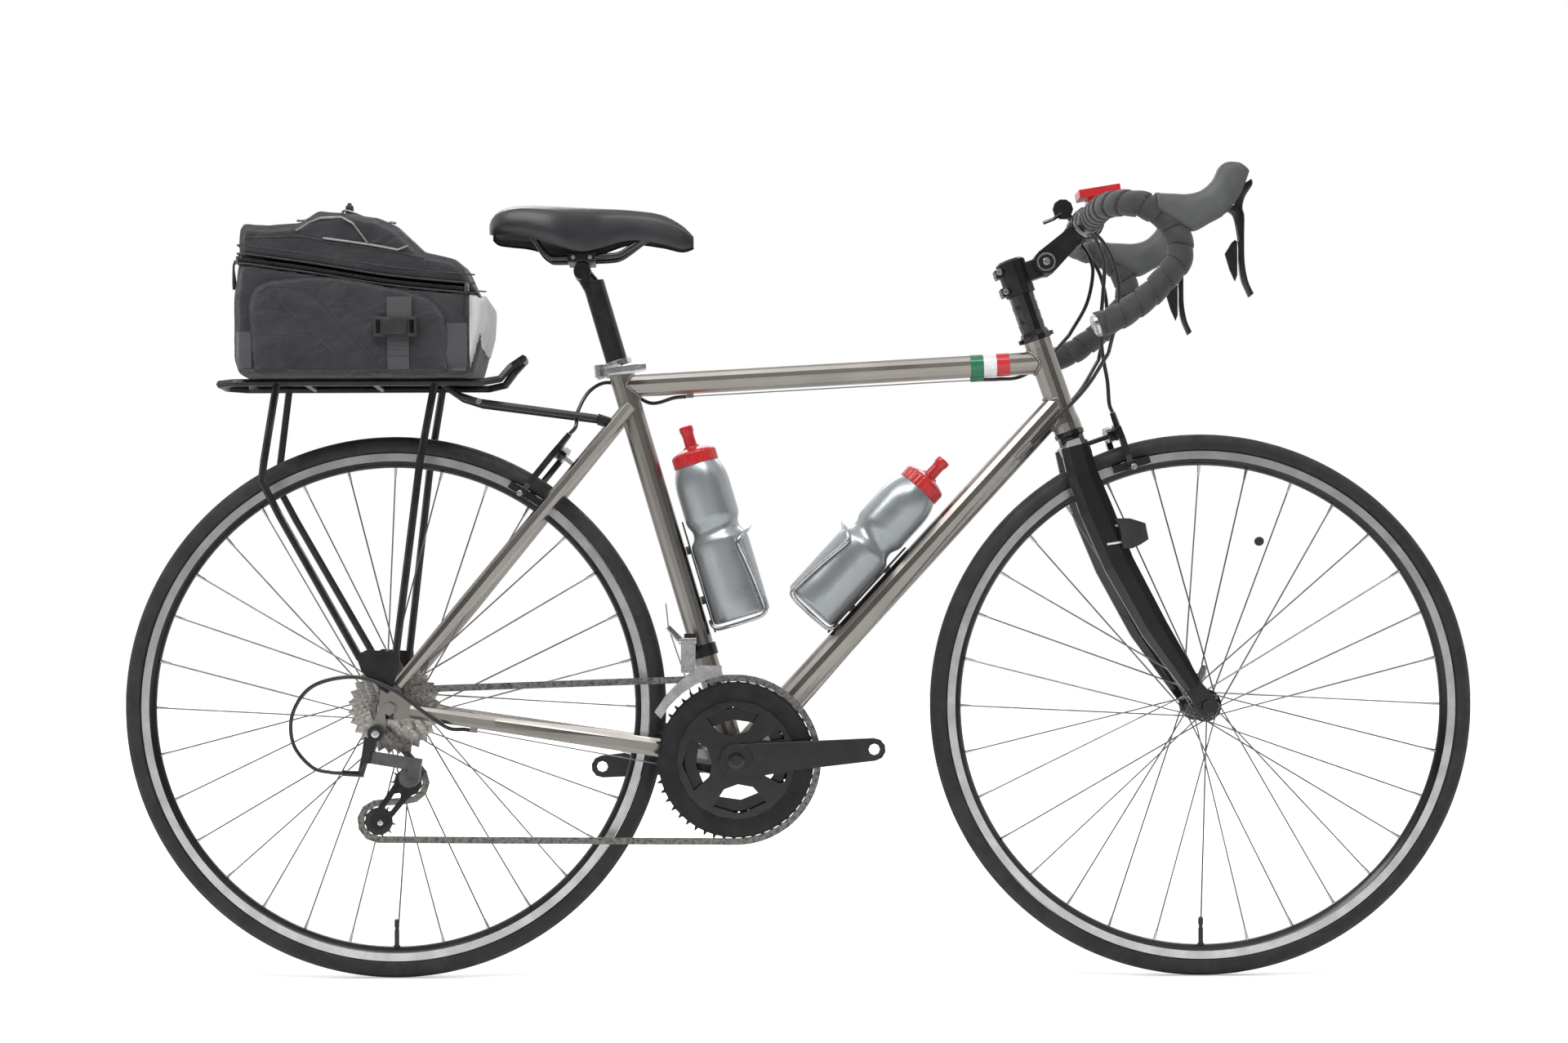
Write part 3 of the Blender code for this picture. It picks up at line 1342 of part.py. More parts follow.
def build_cranks(crankset, pins):
    centre = side_point((BRACKET.x, BRACKET.z))
    middle = (BRACKET.x, BRACKET.z)
    phase = gear_phase(pins, centre, pitch_radius_of(BIG_RING_TEETH))
    ring = toothed_ring(
        middle,
        BIG_RING_Y,
        RING_THICKNESS / 2,
        RING_INNER_RADIUS,
        16,
        BIG_RING_TEETH,
        RING_DEPTHS,
        TOOTH_FLOOR_HALF,
        phase,
    )
    cover_y = BIG_RING_Y - RING_THICKNESS / 2 - COVER_THICKNESS / 2 + 0.0002
    cover = plate(
        [circle(middle, COVER_RADIUS, 24), circle(middle, RING_INNER_RADIUS + 0.0015, 16)],
        COVER_THICKNESS,
        side_plane(cover_y),
    )
    part("chainring", united(ring, cover), "black_metal", crankset)

    face = cover_y - COVER_THICKNESS / 2 - GAP
    spider_y = face - SPIDER_THICKNESS / 2
    windows = [rounded_window(0.0300, 0.0655, CRANK_ANGLE + math.pi / 2 * k, math.radians(33)) for k in (1, 2, 3)]
    windows += [
        [
            (BRACKET.x + radius * math.cos(CRANK_ANGLE + side * turn), BRACKET.z + radius * math.sin(CRANK_ANGLE + side * turn))
            for radius, turn in ((0.040, 0.58), (0.0600, 0.57), (0.0655, 0.50), (0.0655, 0.33), (0.050, 0.42))
        ][::side]
        for side in (-1, 1)
    ]
    spider = plate([circle(middle, SPIDER_RADIUS, 20)] + windows, SPIDER_THICKNESS, side_plane(spider_y))
    boss_start = -(SHELL_HALF_WIDTH + CUP_LENGTH + RUNNING_GAP)
    boss = across_rod(BRACKET, boss_start, CRANK_FACE_Y, CRANK_BOSS_RADIUS, 12)
    axle = across_rod(BRACKET, CRANK_FACE_Y + 0.004, -CRANK_FACE_Y - 0.004, AXLE_RADIUS, 12)
    pedal = crank_end(0)
    arm_outline = capsule(middle, (pedal.x, pedal.z), CRANK_BOSS_RADIUS - 0.001, CRANK_END_RADIUS, 5)
    arm_y = CRANK_FACE_Y + CRANK_THICKNESS / 2 + 0.0004
    arm = plate([arm_outline], CRANK_THICKNESS, side_plane(arm_y))
    bore = across_rod(pedal, arm_y - 0.02, arm_y + 0.02, PEDAL_BORE, 8)
    mesh = united(boss, axle, spider, cut(arm, bore))
    small = toothed_ring(
        middle, SMALL_RING_Y, RING_THICKNESS / 2, 0.0500, 12, SMALL_RING_TEETH, RING_DEPTHS, 0.0, phase
    )
    posts = []
    for k in range(4):
        turn = CRANK_ANGLE + math.pi / 4 + math.pi / 2 * k
        spot = BRACKET + Vector((math.cos(turn), 0, math.sin(turn))) * 0.0560
        posts.append(across_rod(spot, SMALL_RING_Y, spider_y, 0.0045, 6))
    mesh = united(mesh, small, gathered(posts))
    part("crank_right", mesh, "black_metal", crankset)

    pedal = crank_end(math.pi)
    arm_outline = capsule(middle, (pedal.x, pedal.z), CRANK_BOSS_RADIUS - 0.001, CRANK_END_RADIUS, 5)
    arm = plate([arm_outline], CRANK_THICKNESS, side_plane(-arm_y))
    boss = across_rod(BRACKET, -boss_start, -CRANK_FACE_Y, CRANK_BOSS_RADIUS - 0.0015, 14)
    mesh = united(boss, arm)
    bore = across_rod(pedal, -arm_y - 0.02, -arm_y + 0.02, PEDAL_BORE, 8)
    socket = across_rod(BRACKET, 0.02, -CRANK_FACE_Y + 0.02, AXLE_RADIUS + GAP, 12)
    part("crank_left", cut(mesh, bore, socket), "black_metal", crankset)


def crank_end(turn):
    angle = CRANK_ANGLE + turn
    return BRACKET + Vector((math.cos(angle), 0, math.sin(angle))) * CRANK_LENGTH


def pulley_mesh(centre, pins, radius):
    phase = gear_phase(pins, centre, radius)
    bore = PULLEY_BOLT_RADIUS + RUNNING_GAP
    half = PULLEY_THICKNESS / 2
    return toothed_ring(
        centre, SMALLEST_COG_Y, half, bore, 8, PULLEY_TEETH, PULLEY_DEPTHS, TOOTH_FLOOR_HALF, phase
    )


def link_ends():
    """The rear derailleur link's two pivots, at rest under the smallest cog."""
    ahead = Vector((LINK_AXIS.z, 0, -LINK_AXIS.x)).normalized()
    first = Vector(LINK_PIVOT)
    swing = ahead * math.cos(LINK_REST) - ACROSS * math.sin(LINK_REST)
    return first, first + swing * LINK_LENGTH


def link_box(centre, ahead, size):
    """A block square to the link's pivot axis, centred at centre, with its length along ahead."""
    matrix = facing(centre, LINK_AXIS, ahead)
    return box((0, 0, 0), size, matrix)


def build_rear_derailleur(hanger, swing, knuckle_pivot, cage_pivot, pins, turn):
    first, second = link_ends()
    outer_face = -(REAR_DROPOUT_Y + DROPOUT_THICKNESS + GAP)
    bolt = Vector((HANGER[0], 0, HANGER[1]))
    axis_half = LINK_AXIS.normalized() * (LINK_HEIGHT / 2)
    ahead = Vector((LINK_AXIS.z, 0, -LINK_AXIS.x)).normalized()

    head = across_rod(bolt, outer_face, outer_face - 0.0150, 0.0100, 12)
    stub = across_rod(bolt, outer_face - 0.002, outer_face + 0.0055, HANGER_BORE - GAP, 8)
    body = link_box(
        first - ahead * 0.0062 + LINK_AXIS.normalized() * 0.0080,
        ahead,
        (0.0150, 0.0160, LINK_HEIGHT + 0.0160),
    )
    arm_low = Vector((REAR_HUB.x - 0.0345, first.y, REAR_HUB.z - 0.0800))
    tail = rod(first - ahead * 0.010 - axis_half * 0.2, arm_low, 0.0052, 0.0042, 8)
    barrel = rod(arm_low + Vector((0.004, 0, 0)), arm_low + Vector((-0.022, 0, 0.0018)), 0.0038, segments=8)
    seat = rod(first - axis_half * 1.03, first + axis_half * 1.03, LINK_RADIUS + GAP, segments=12)
    room = link_box(first + ahead * 0.0145, ahead, (0.035, 0.034, LINK_HEIGHT * 1.04))
    mesh = cut(united(head, body, tail), seat, room)
    mesh = united(mesh, barrel, stub)
    part("rd_b_knuckle", mesh, "black_metal", hanger)

    swing_dir = (second - first).normalized()
    matrix = facing((first + second) / 2, LINK_AXIS, swing_dir)
    outline = capsule((-LINK_LENGTH / 2, 0), (LINK_LENGTH / 2, 0), LINK_RADIUS, LINK_RADIUS - 0.0001, 5)
    part("rd_link", plate([outline], LINK_HEIGHT, matrix), "grey_plastic", swing)

    pivot = Vector((CAGE_PIVOT[0], 0, CAGE_PIVOT[1]))
    knuckle_inner = SMALLEST_COG_Y - CAGE_OUT - CAGE_THICKNESS - GAP
    low = across_rod(pivot, knuckle_inner, second.y - 0.004, 0.0125, 12)
    ear = link_box(
        second + ahead * 0.0085 - LINK_AXIS.normalized() * 0.004, ahead, (0.0150, 0.0150, LINK_HEIGHT + 0.008)
    )
    seat = rod(second - axis_half * 1.03, second + axis_half * 1.03, LINK_RADIUS + GAP, segments=12)
    room = link_box(second - ahead * 0.020, ahead, (0.040, 0.060, LINK_HEIGHT * 1.04))
    mesh = cut(united(low, ear), seat, room)
    socket = across_rod(pivot, knuckle_inner + 0.01, knuckle_inner - 0.014, CAGE_AXLE + RUNNING_GAP, 12)
    part("rd_p_knuckle", cut(mesh, socket), "grey_plastic", knuckle_pivot)

    guide, tension = cage_centres(turn)
    middle = (CAGE_PIVOT[0], CAGE_PIVOT[1])
    plates = []
    for side, start_radius in ((-1, 0.0135), (1, 0.0110)):
        y = SMALLEST_COG_Y + side * (CAGE_OUT + CAGE_THICKNESS / 2)
        begin = middle if side < 0 else (guide.x, guide.y)
        outline = capsule(begin, (tension.x, tension.y), start_radius, 0.0100, 4)
        window_low = Vector(begin).lerp(tension, 0.72)
        window_high = Vector(begin).lerp(tension, 0.36)
        window = capsule(window_high, window_low, 0.0050, 0.0042, 2)
        plates.append(plate([outline, window], CAGE_THICKNESS, side_plane(y)))
    bolts = [
        across_rod(
            Vector((centre.x, 0, centre.y)),
            SMALLEST_COG_Y - CAGE_OUT - CAGE_THICKNESS / 2,
            SMALLEST_COG_Y + CAGE_OUT + CAGE_THICKNESS / 2,
            PULLEY_BOLT_RADIUS,
            6,
        )
        for centre in (guide, tension)
    ]
    axle = across_rod(pivot, knuckle_inner + GAP + 0.0005, knuckle_inner - 0.012, CAGE_AXLE, 12)
    mesh = united(plates[0], bolts[0], plates[1], bolts[1], axle)
    part("rd_cage", mesh, "black_metal", cage_pivot)
    radius = pitch_radius_of(PULLEY_TEETH)
    for name, centre in (("guide_pulley", guide), ("tension_pulley", tension)):
        hub = Vector((centre.x, SMALLEST_COG_Y, centre.y))
        part(name, pulley_mesh(centre, pins, radius), "grey_plastic", cage_pivot, hub)


def build_front_derailleur(frame, swing):
    bore = SEAT_TUBE_RADIUS + GAP
    low, high = FD_BAND - 0.0075, FD_BAND + 0.0075
    profile = [(bore, high), (bore + 0.0022, high), (bore + 0.0022, low), (bore, low)]
    band = turned(profile, facing(BRACKET, SEAT_UP), 16, closed=True)
    hollow = rod(on_seat(low - 0.02), on_seat(high + 0.02), bore + 0.0008, segments=16)
    hinge = Vector(FD_HINGE)
    ear_matrix = Matrix.Translation((hinge.x + 0.004, 0, hinge.z))
    block = box((0.001, -0.0255, -0.0060), (0.014, 0.0380, 0.016), ear_matrix)
    ear = box((0.001, hinge.y + 0.007, 0.0015), (0.014, 0.010, 0.015), ear_matrix)
    seat = rod(hinge - Vector((0.03, 0, 0)), hinge + Vector((0.03, 0, 0)), FD_BARREL + GAP, segments=12)
    mesh = cut(united(band, cut(block, hollow), ear), seat)
    part("fd_body", mesh, "black_metal", frame)

    ring_room = pitch_radius_of(BIG_RING_TEETH) + 0.0020 + FD_RING_GAP
    lower = []
    for degrees in (99.0, 108.0, 118.0, 129.0, 141.0, 151.0):
        turn = math.radians(degrees)
        lower.append((BRACKET.x + ring_room * math.cos(turn), BRACKET.z + ring_room * math.sin(turn)))
    upper = [(-0.1006, 0.0595), (-0.0876, 0.0785), (-0.0706, 0.0965), (-0.0456, 0.1165), (-0.0176, 0.1165)]
    outline = lower + [side_pair(BRACKET, point) for point in upper]
    outer = plate([outline[::-1]], FD_PLATE, side_plane(FD_OUTER_Y))
    inner = plate([outline[::-1]], FD_PLATE, side_plane(FD_INNER_Y))
    middle_y = (FD_OUTER_Y + FD_INNER_Y) / 2
    width = FD_INNER_Y - FD_OUTER_Y
    front_bridge = box(BRACKET + Vector((-0.0336, middle_y, 0.1150)), (0.024, width, 0.0018))
    rear_bridge = box(BRACKET + Vector((-0.0958, middle_y, 0.0595)), (0.0020, width, 0.010))
    barrel = rod(hinge - Vector((0.009, 0, 0)), hinge + Vector((0.013, 0, 0)), FD_BARREL, segments=12)
    arm_bottom = BRACKET.z + 0.1077
    arm = box(
        (hinge.x + 0.003, hinge.y - 0.0020, (hinge.z + arm_bottom) / 2), (0.018, 0.0050, hinge.z - arm_bottom)
    )
    lever = rod(hinge + Vector((-0.0070, 0, 0.001)), hinge + Vector((-0.0220, 0.003, 0.0170)), 0.0040, 0.0032, 6)
    mesh = united(outer, front_bridge, inner, rear_bridge, arm, barrel, lever)
    part("fd_cage", mesh, "black_metal", swing)


# The brakes


def brake_arm(origin, up, out, side, pad_drop, layer, pad_y):
    """One C-shaped caliper arm round the tyre.

    The arm lies square to out, at layer along it. Its outline is in local X across and local Y along
    up, and it ends beside the brake track, pad_drop below the pivot.
    """
    matrix = Matrix.Translation(origin + out * layer) @ Matrix(
        (
            (0, up.x, out.x, 0),
            (1, up.y, out.y, 0),
            (0, up.z, out.z, 0),
            (0, 0, 0, 1),
        )
    )
    reach = BRAKE_ARM_REACH
    outline = [
        (0.0070, 0.0050),
        (0.0000, 0.0085),
        (-0.0160, 0.0120),
        (-reach + 0.0040, 0.0070),
        (-reach, -0.0080),
        (-reach + 0.0010, -pad_drop + 0.0120),
        (-pad_y - 0.0100, -pad_drop - 0.0065),
        (-pad_y - 0.0040, -pad_drop - 0.0065),
        (-pad_y - 0.0040, -pad_drop + 0.0065),
        (-reach + 0.0085, -pad_drop + 0.0160),
        (-reach + 0.0080, -0.0100),
        (-0.0170, -0.0040),
        (-0.0060, -0.0085),
        (0.0050, -0.0070),
        (0.0085, 0.0000),
    ]
    outline = [(x * -side, z) for x, z in outline]
    if side > 0:
        outline = outline[::-1]
    arm = plate([outline], BRAKE_ARM_THICKNESS, matrix)
    bore = rod(
        origin + out * (layer - 0.02), origin + out * (layer + 0.02), BRAKE_BOLT_RADIUS + RUNNING_GAP, segments=8
    )
    return cut(arm, bore)


def build_brake(names, parents, origin, up, out, hub, pad_angle):
    """A pair of caliper arms on one bolt, with pads that face the rim's brake track."""
    pad_centre = hub + Vector((math.cos(pad_angle), 0, math.sin(pad_angle))) * BRAKE_TRACK_RADIUS
    offset = pad_centre - origin
    drop = -offset.dot(up)
    tangent = Vector((-math.sin(pad_angle), 0, math.cos(pad_angle)))
    radial = Vector((math.cos(pad_angle), 0, math.sin(pad_angle)))
    for name, parent, side, layer in zip(names, parents, (1, -1), BRAKE_LAYERS):
        inner = RIM_HALF_WIDTH + PAD_GAP
        mesh = brake_arm(origin, up, out, side, drop, layer, inner)
        shoe = Matrix(
            (
                (tangent.x, 0, radial.x, pad_centre.x),
                (0, 1, 0, side * (inner + PAD_THICKNESS / 2)),
                (tangent.z, 0, radial.z, pad_centre.z),
                (0, 0, 0, 1),
            )
        )
        pad = box((0, 0, 0), (PAD_LENGTH, PAD_THICKNESS, PAD_HEIGHT), shoe)
        foot = origin + out * layer - up * drop + ACROSS * (side * (inner + 0.0055))
        post = rod(foot, pad_centre + ACROSS * (side * (inner + 0.0055)), 0.0042, segments=6)
        bolt = across_rod(
            foot - ACROSS * foot.y, side * (inner + 0.0035), side * (inner + 0.0165), 0.0045, 6
        )
        mesh = united(mesh, pad, post, bolt)
        if side < 0:
            anchor = origin + out * layer + up * 0.0040 + ACROSS * (side * (BRAKE_ARM_REACH - 0.009))
            boot = rod(anchor, anchor + up * (BRAKE_BOOT_LENGTH - 0.004), 0.0042, 0.0036, 6)
            hole = rod(anchor - up * 0.06, anchor + up * 0.06, WIRE_RADIUS + 2 * RUNNING_GAP, segments=4)
            mesh = cut(united(mesh, boot), hole)
        part(name, mesh, "black_metal", parent)


# The cockpit


def stem_pivot():
    return on_head(HEAD_TUBE_LENGTH + SPACER_STACK + STEM_PIVOT_UP, STEM_PIVOT_FORWARD)


def bar_centre():
    reach = Vector((math.cos(STEM_ARM_ANGLE), 0, math.sin(STEM_ARM_ANGLE)))
    return stem_pivot() + reach * STEM_ARM_LENGTH


def build_stem(steering, tilt):
    low = HEAD_TUBE_LENGTH + SPACER_STACK + GAP
    high = HEAD_TUBE_LENGTH + SPACER_STACK + STEM_CLAMP_HEIGHT
    pivot = stem_pivot()
    clamp = turned(
        [
            (0.0, high + 0.0042),
            (0.0150, high + 0.0042),
            (STEM_CLAMP_RADIUS, high + 0.0012),
            (STEM_CLAMP_RADIUS, low),
            (0.0, low),
        ],
        facing(HEAD_BOTTOM, HEAD_UP),
        STEERER_SEGMENTS,
    )
    neck = box(
        (0, 0, 0),
        (STEM_PIVOT_FORWARD - 0.006, STEM_BARREL_HALF * 2, 0.0240),
        facing(on_head(low + 0.0245, STEM_PIVOT_FORWARD / 2 + 0.001), HEAD_UP, HEAD_FORWARD),
    )
    barrel = across_rod(pivot, -STEM_BARREL_HALF, STEM_BARREL_HALF, STEM_DISC_RADIUS - 0.001, 12)
    mesh = united(clamp, neck, barrel)
    for height in (0.0090, 0.0330):
        lug = box(
            (0, 0, 0),
            (0.0100, 0.0240, 0.0110),
            facing(on_head(low + height, -0.0185), HEAD_UP, HEAD_FORWARD),
        )
        bolt = across_rod(on_head(low + height, -0.0195), -0.0150, 0.0150, 0.0044, 6)
        mesh = united(mesh, lug, bolt)
    socket = rod(on_head(low - 0.01), on_head(high + GAP), STEERER_RADIUS + GAP, segments=STEERER_SEGMENTS)
    pin = across_rod(pivot, -0.03, 0.03, 0.0044, 8)
    part("stem_base", cut(mesh, socket, pin), "black_metal", steering)

    centre = bar_centre()
    reach = (centre - pivot).normalized()
    bar_room = across_rod(centre, -0.05, 0.05, BAR_RADIUS + GAP + 0.0004, 16)
    ears = []
    for side in (-1, 1):
        y = side * (STEM_BARREL_HALF + GAP + STEM_EAR / 2)
        end = pivot + reach * 0.046
        outline = capsule((pivot.x, pivot.z), (end.x, end.z), STEM_DISC_RADIUS, 0.0120, 6)
        ears.append(cut(plate([outline], STEM_EAR, side_plane(y)), bar_room))
    rings = []
    for distance, half_wide, half_high in ((0.0200, 0.0175, 0.0085), (0.0400, 0.0180, 0.0125), (0.0600, 0.0200, 0.0165)):
        rings.append(oval(pivot + reach * distance, reach, half_wide, half_high, 8, 3.2))
    web = loft(rings)
    ring = across_rod(centre, -0.0210, 0.0210, BAR_CLAMP_RADIUS, 14)
    pin = across_rod(pivot, -STEM_BARREL_HALF - 0.004, STEM_BARREL_HALF + 0.004, 0.0040, 8)
    heads = [
        across_rod(pivot, side * (STEM_BARREL_HALF + STEM_EAR - 0.001), side * (STEM_BARREL_HALF + STEM_EAR + 0.0022), 0.0085, 6)
        for side in (-1, 1)
    ]
    barrel_room = across_rod(pivot, -STEM_BARREL_HALF - GAP, STEM_BARREL_HALF + GAP, STEM_DISC_RADIUS + 0.0012, 12)
    body = cut(united(web, ring), bar_room, barrel_room)
    mesh = united(body, ears[0], ears[1], pin, heads[0], heads[1])
    part("stem_arm", mesh, "black_metal", tilt)


def bar_route(side):
    """The handlebar's centre line from the stem out along the top, forward and round the drop."""
    centre = bar_centre()
    y = side * BAR_BEND_Y
    return [
        centre,
        centre + ACROSS * (y * 0.30),
        centre + ACROSS * (y * 0.58),
        centre + Vector((0.0040, y * 0.780, -0.0003)),
        centre + Vector((0.0165, y * 0.920, -0.0020)),
        centre + Vector((0.0310, y * 0.985, -0.0050)),
        centre + Vector((0.0438, y, -0.0085)),
        centre + Vector((0.0659, y, -0.0221)),
        centre + Vector((0.0789, y, -0.0404)),
        centre + Vector((0.0831, y, -0.0567)),
        centre + Vector((0.0807, y, -0.0740)),
        centre + Vector((0.0666, y, -0.0913)),
        centre + Vector((0.0473, y, -0.1124)),
        centre + Vector((0.0242, y, -0.1296)),
        centre + Vector((0.0088, y, -0.1392)),
        centre + Vector((-0.0153, y, -0.1487)),
    ]


def stations(path, distances):
    """Points and headings at distances along a path of straight pieces."""
    found = []
    lengths = [0.0]
    for a, b in zip(path, path[1:]):
        lengths.append(lengths[-1] + (b - a).length)
    for distance in distances:
        distance = min(max(distance, 0.0), lengths[-1])
        i = next(k for k in range(1, len(path)) if lengths[k] >= distance - 1e-9)
        share = (distance - lengths[i - 1]) / (lengths[i] - lengths[i - 1])
        point = path[i - 1].lerp(path[i], share)
        ahead = path[min(i + 1, len(path) - 1)] - path[max(i - 2, 0)]
        found.append((point, ahead.normalized()))
    return found, lengths[-1]


def bar_half(side):
    """Rings for half the handlebar: bare bar by the stem, then tape wound on in a helix."""
    path = smooth_path(bar_route(side), 6)
    _, length = stations(path, [0.0])
    pitch = (length - TAPE_START - 0.004) / TAPE_WRAPS
    marks = [(0.0, BAR_RADIUS, 0.0), (TAPE_START - 0.012, BAR_RADIUS, 0.0), (TAPE_START - 0.001, TAPE_RADIUS - 0.0016, 0.0)]
    steps = TAPE_WRAPS * TAPE_RINGS
    marks += [(TAPE_START + pitch * i / TAPE_RINGS, TAPE_RADIUS, 1.0) for i in range(steps + 1)]
    marks += [(length, TAPE_RADIUS - 0.0030, 0.0)]
    places, _ = stations(path, [mark[0] for mark in marks])
    rings = []
    guide = Vector((0, 0, 1))
    for (point, heading), (distance, radius, wound) in zip(places, marks):
        high = (guide - heading * guide.dot(heading)).normalized()
        guide = high
        across = heading.cross(high) * side
        ring = []
        for k in range(TAPE_SIDES):
            angle = 2 * math.pi * k / TAPE_SIDES
            phase = (distance / pitch - k / TAPE_SIDES) % 1.0
            r = radius + wound * TAPE_STEP * (phase - 0.5)
            ring.append(point + high * (r * math.cos(angle)) + across * (r * math.sin(angle)))
        rings.append(ring)
    return rings


def build_handlebar(tilt):
    """One unbroken skin from the left plug to the right one."""
    left, right = bar_half(1), bar_half(-1)
    left = [[ring[0]] + ring[:0:-1] for ring in left]
    right = [[ring[0]] + ring[:0:-1] for ring in right]
    rings = left[::-1] + right[1:]
    part("handlebar", loft(rings), "bar_tape", tilt)


def ring_between(top, bottom, y, half_across, count=10, squareness=2.5):
    top, bottom = Vector((top[0], y, top[1])), Vector((bottom[0], y, bottom[1]))
    middle, high = (top + bottom) / 2, (top - bottom) / 2
    ring = []
    for i in range(count):
        angle = 2 * math.pi * (i + 0.5) / count
        c, s = math.cos(angle), math.sin(angle)
        a = math.copysign(abs(c) ** (2 / squareness), c) * half_across
        b = math.copysign(abs(s) ** (2 / squareness), s)
        ring.append(middle + ACROSS * a + high * b)
    return ring


def lever_pivot(side):
    x, z = side_pair(bar_centre(), LEVER_PIVOT_FROM_BAR)
    return Vector((x, side * BAR_BEND_Y, z))


def paddle_pivot(side):
    x, z = side_pair(bar_centre(), PADDLE_PIVOT_FROM_BAR)
    return Vector((x, side * BAR_BEND_Y, z))


def build_controls(side, name, tilt, lever_joint, paddle_joint):
    """A brake hood with its lever and shift paddle."""
    y = side * BAR_BEND_Y
    centre = bar_centre()
    hood_sections = (
        ((0.0528, 0.0064), (0.0538, -0.0158), 0.0188),
        ((0.0721, 0.0058), (0.0778, -0.0313), 0.0196),
        ((0.0910, 0.0054), (0.0976, -0.0383), 0.0186),
        ((0.1072, 0.0098), (0.1178, -0.0288), 0.0178),
        ((0.1207, 0.0219), (0.1388, -0.0163), 0.0172),
        ((0.1283, 0.0367), (0.1538, 0.0042), 0.0162),
        ((0.1378, 0.0428), (0.1603, 0.0202), 0.0150),
        ((0.1498, 0.0424), (0.1639, 0.0312), 0.0125),
    )
    hood = loft(
        [
            ring_between(side_pair(centre, top), side_pair(centre, low), y, half, 8)
            for top, low, half in hood_sections
        ]
    )
    path = smooth_path(bar_route(side), 2)
    near = [p for p in path if p.x > bar_centre().x + 0.015]
    tape = pipe(near, (TAPE_RADIUS + TAPE_STEP / 2 + 0.0002) / math.cos(math.pi / 8), 2)
    slot_outline = (
        (0.1323, -0.0398),
        (0.1828, -0.0398),
        (0.1828, 0.0472),
        (0.1640, 0.0314),
        (0.1458, 0.0112),
        (0.1323, 0.0022),
    )
    slot = plate(
        [[side_pair(centre, point) for point in slot_outline]],
        LEVER_SLOT_HALF * 2,
        side_plane(y),
    )
    hood = cut(hood, tape, slot)
    part("hood_" + name, hood, "hood_rubber", tilt, lever_pivot(side))

    lever_sections = (
        ((0.1558, 0.0160), (0.1668, 0.0234), 0.0055),
        ((0.1458, 0.0052), (0.1678, 0.0162), 0.0062),
        ((0.1363, -0.0013), (0.1593, 0.0022), 0.0062),
        ((0.1368, -0.0138), (0.1562, -0.0106), 0.0062),
        ((0.1453, -0.0223), (0.1583, -0.0214), 0.0062),
        ((0.1509, -0.0518), (0.1577, -0.0483), 0.0078),
        ((0.1514, -0.0758), (0.1582, -0.0753), 0.0078),
        ((0.1541, -0.0958), (0.1621, -0.0969), 0.0070),
        ((0.1628, -0.1168), (0.1688, -0.1118), 0.0055),
    )
    lever = loft(
        [
            ring_between(side_pair(centre, back), side_pair(centre, front), y, half, 6, 3.0)
            for back, front, half in lever_sections
        ]
    )
    part("brake_lever_" + name, lever, "black_metal", lever_joint)

    outline = [
        (0.1433, -0.0516),
        (0.1473, -0.0483),
        (0.1500, -0.0508),
        (0.1500, -0.0898),
        (0.1472, -0.0976),
        (0.1405, -0.0827),
        (0.1352, -0.0651),
    ]
    outline = [side_pair(centre, point) for point in outline]
    paddle = plate([outline[::-1]], 0.0030, side_plane(y - side * 0.0010))
    part("shift_paddle_" + name, paddle, "black_metal", paddle_joint)


def build_bar_fittings(tilt):
    centre = bar_centre()
    ring = across_rod(centre, BELL_Y - 0.0055, BELL_Y + 0.0055, BAR_RADIUS + 0.0038, 10)
    room = across_rod(centre, BELL_Y - 0.02, BELL_Y + 0.02, BAR_RADIUS + GAP + 0.0012, 10)
    x, z = side_pair(centre, BELL_FROM_BAR)
    dome = Vector((x, BELL_Y, z))
    toward = (dome - (centre + ACROSS * BELL_Y)).normalized()
    post = rod(centre + ACROSS * BELL_Y + toward * 0.0175, dome, 0.0045, segments=8)
    cup = turned(
        [(0.0, 0.0100), (0.0085, 0.0075), (0.0130, 0.0), (0.0130, -0.0050), (0.0, -0.0050)],
        facing(dome, ACROSS),
        10,
    )
    striker = pipe(
        [dome + Vector((0, -0.0020, -0.004)), dome + Vector((-0.0130, -0.0070, -0.0130)), dome + Vector((-0.0255, -0.0080, -0.0180))],
        0.0026,
        1,
    )
    mesh = united(cut(united(ring, post), room), cup, striker)
    part("bell", mesh, "black_metal", tilt)

    x, z = side_pair(centre, COMPUTER_FROM_BAR)
    middle = Vector((x, 0, z))
    tilt_angle = Matrix.Rotation(-COMPUTER_TILT, 4, "Y")
    body = box((0, 0, 0), (0.0520, 0.0400, 0.0105), Matrix.Translation(middle) @ tilt_angle)
    seat_top = middle + Vector((-0.004, 0, -0.002))
    mount = box(
        (seat_top.x, 0, (seat_top.z + centre.z + 0.010) / 2), (0.0200, 0.0300, seat_top.z - centre.z - 0.010)
    )
    clamp_room = across_rod(centre, -0.03, 0.03, BAR_CLAMP_RADIUS + GAP + 0.0005, 16)
    part("computer", united(body, cut(mount, clamp_room)), "red_plastic", tilt)


# The saddle and its post


def post_head():
    return on_seat(SEAT_TUBE_LENGTH + POST_HEAD_UP, -POST_HEAD_BACK)


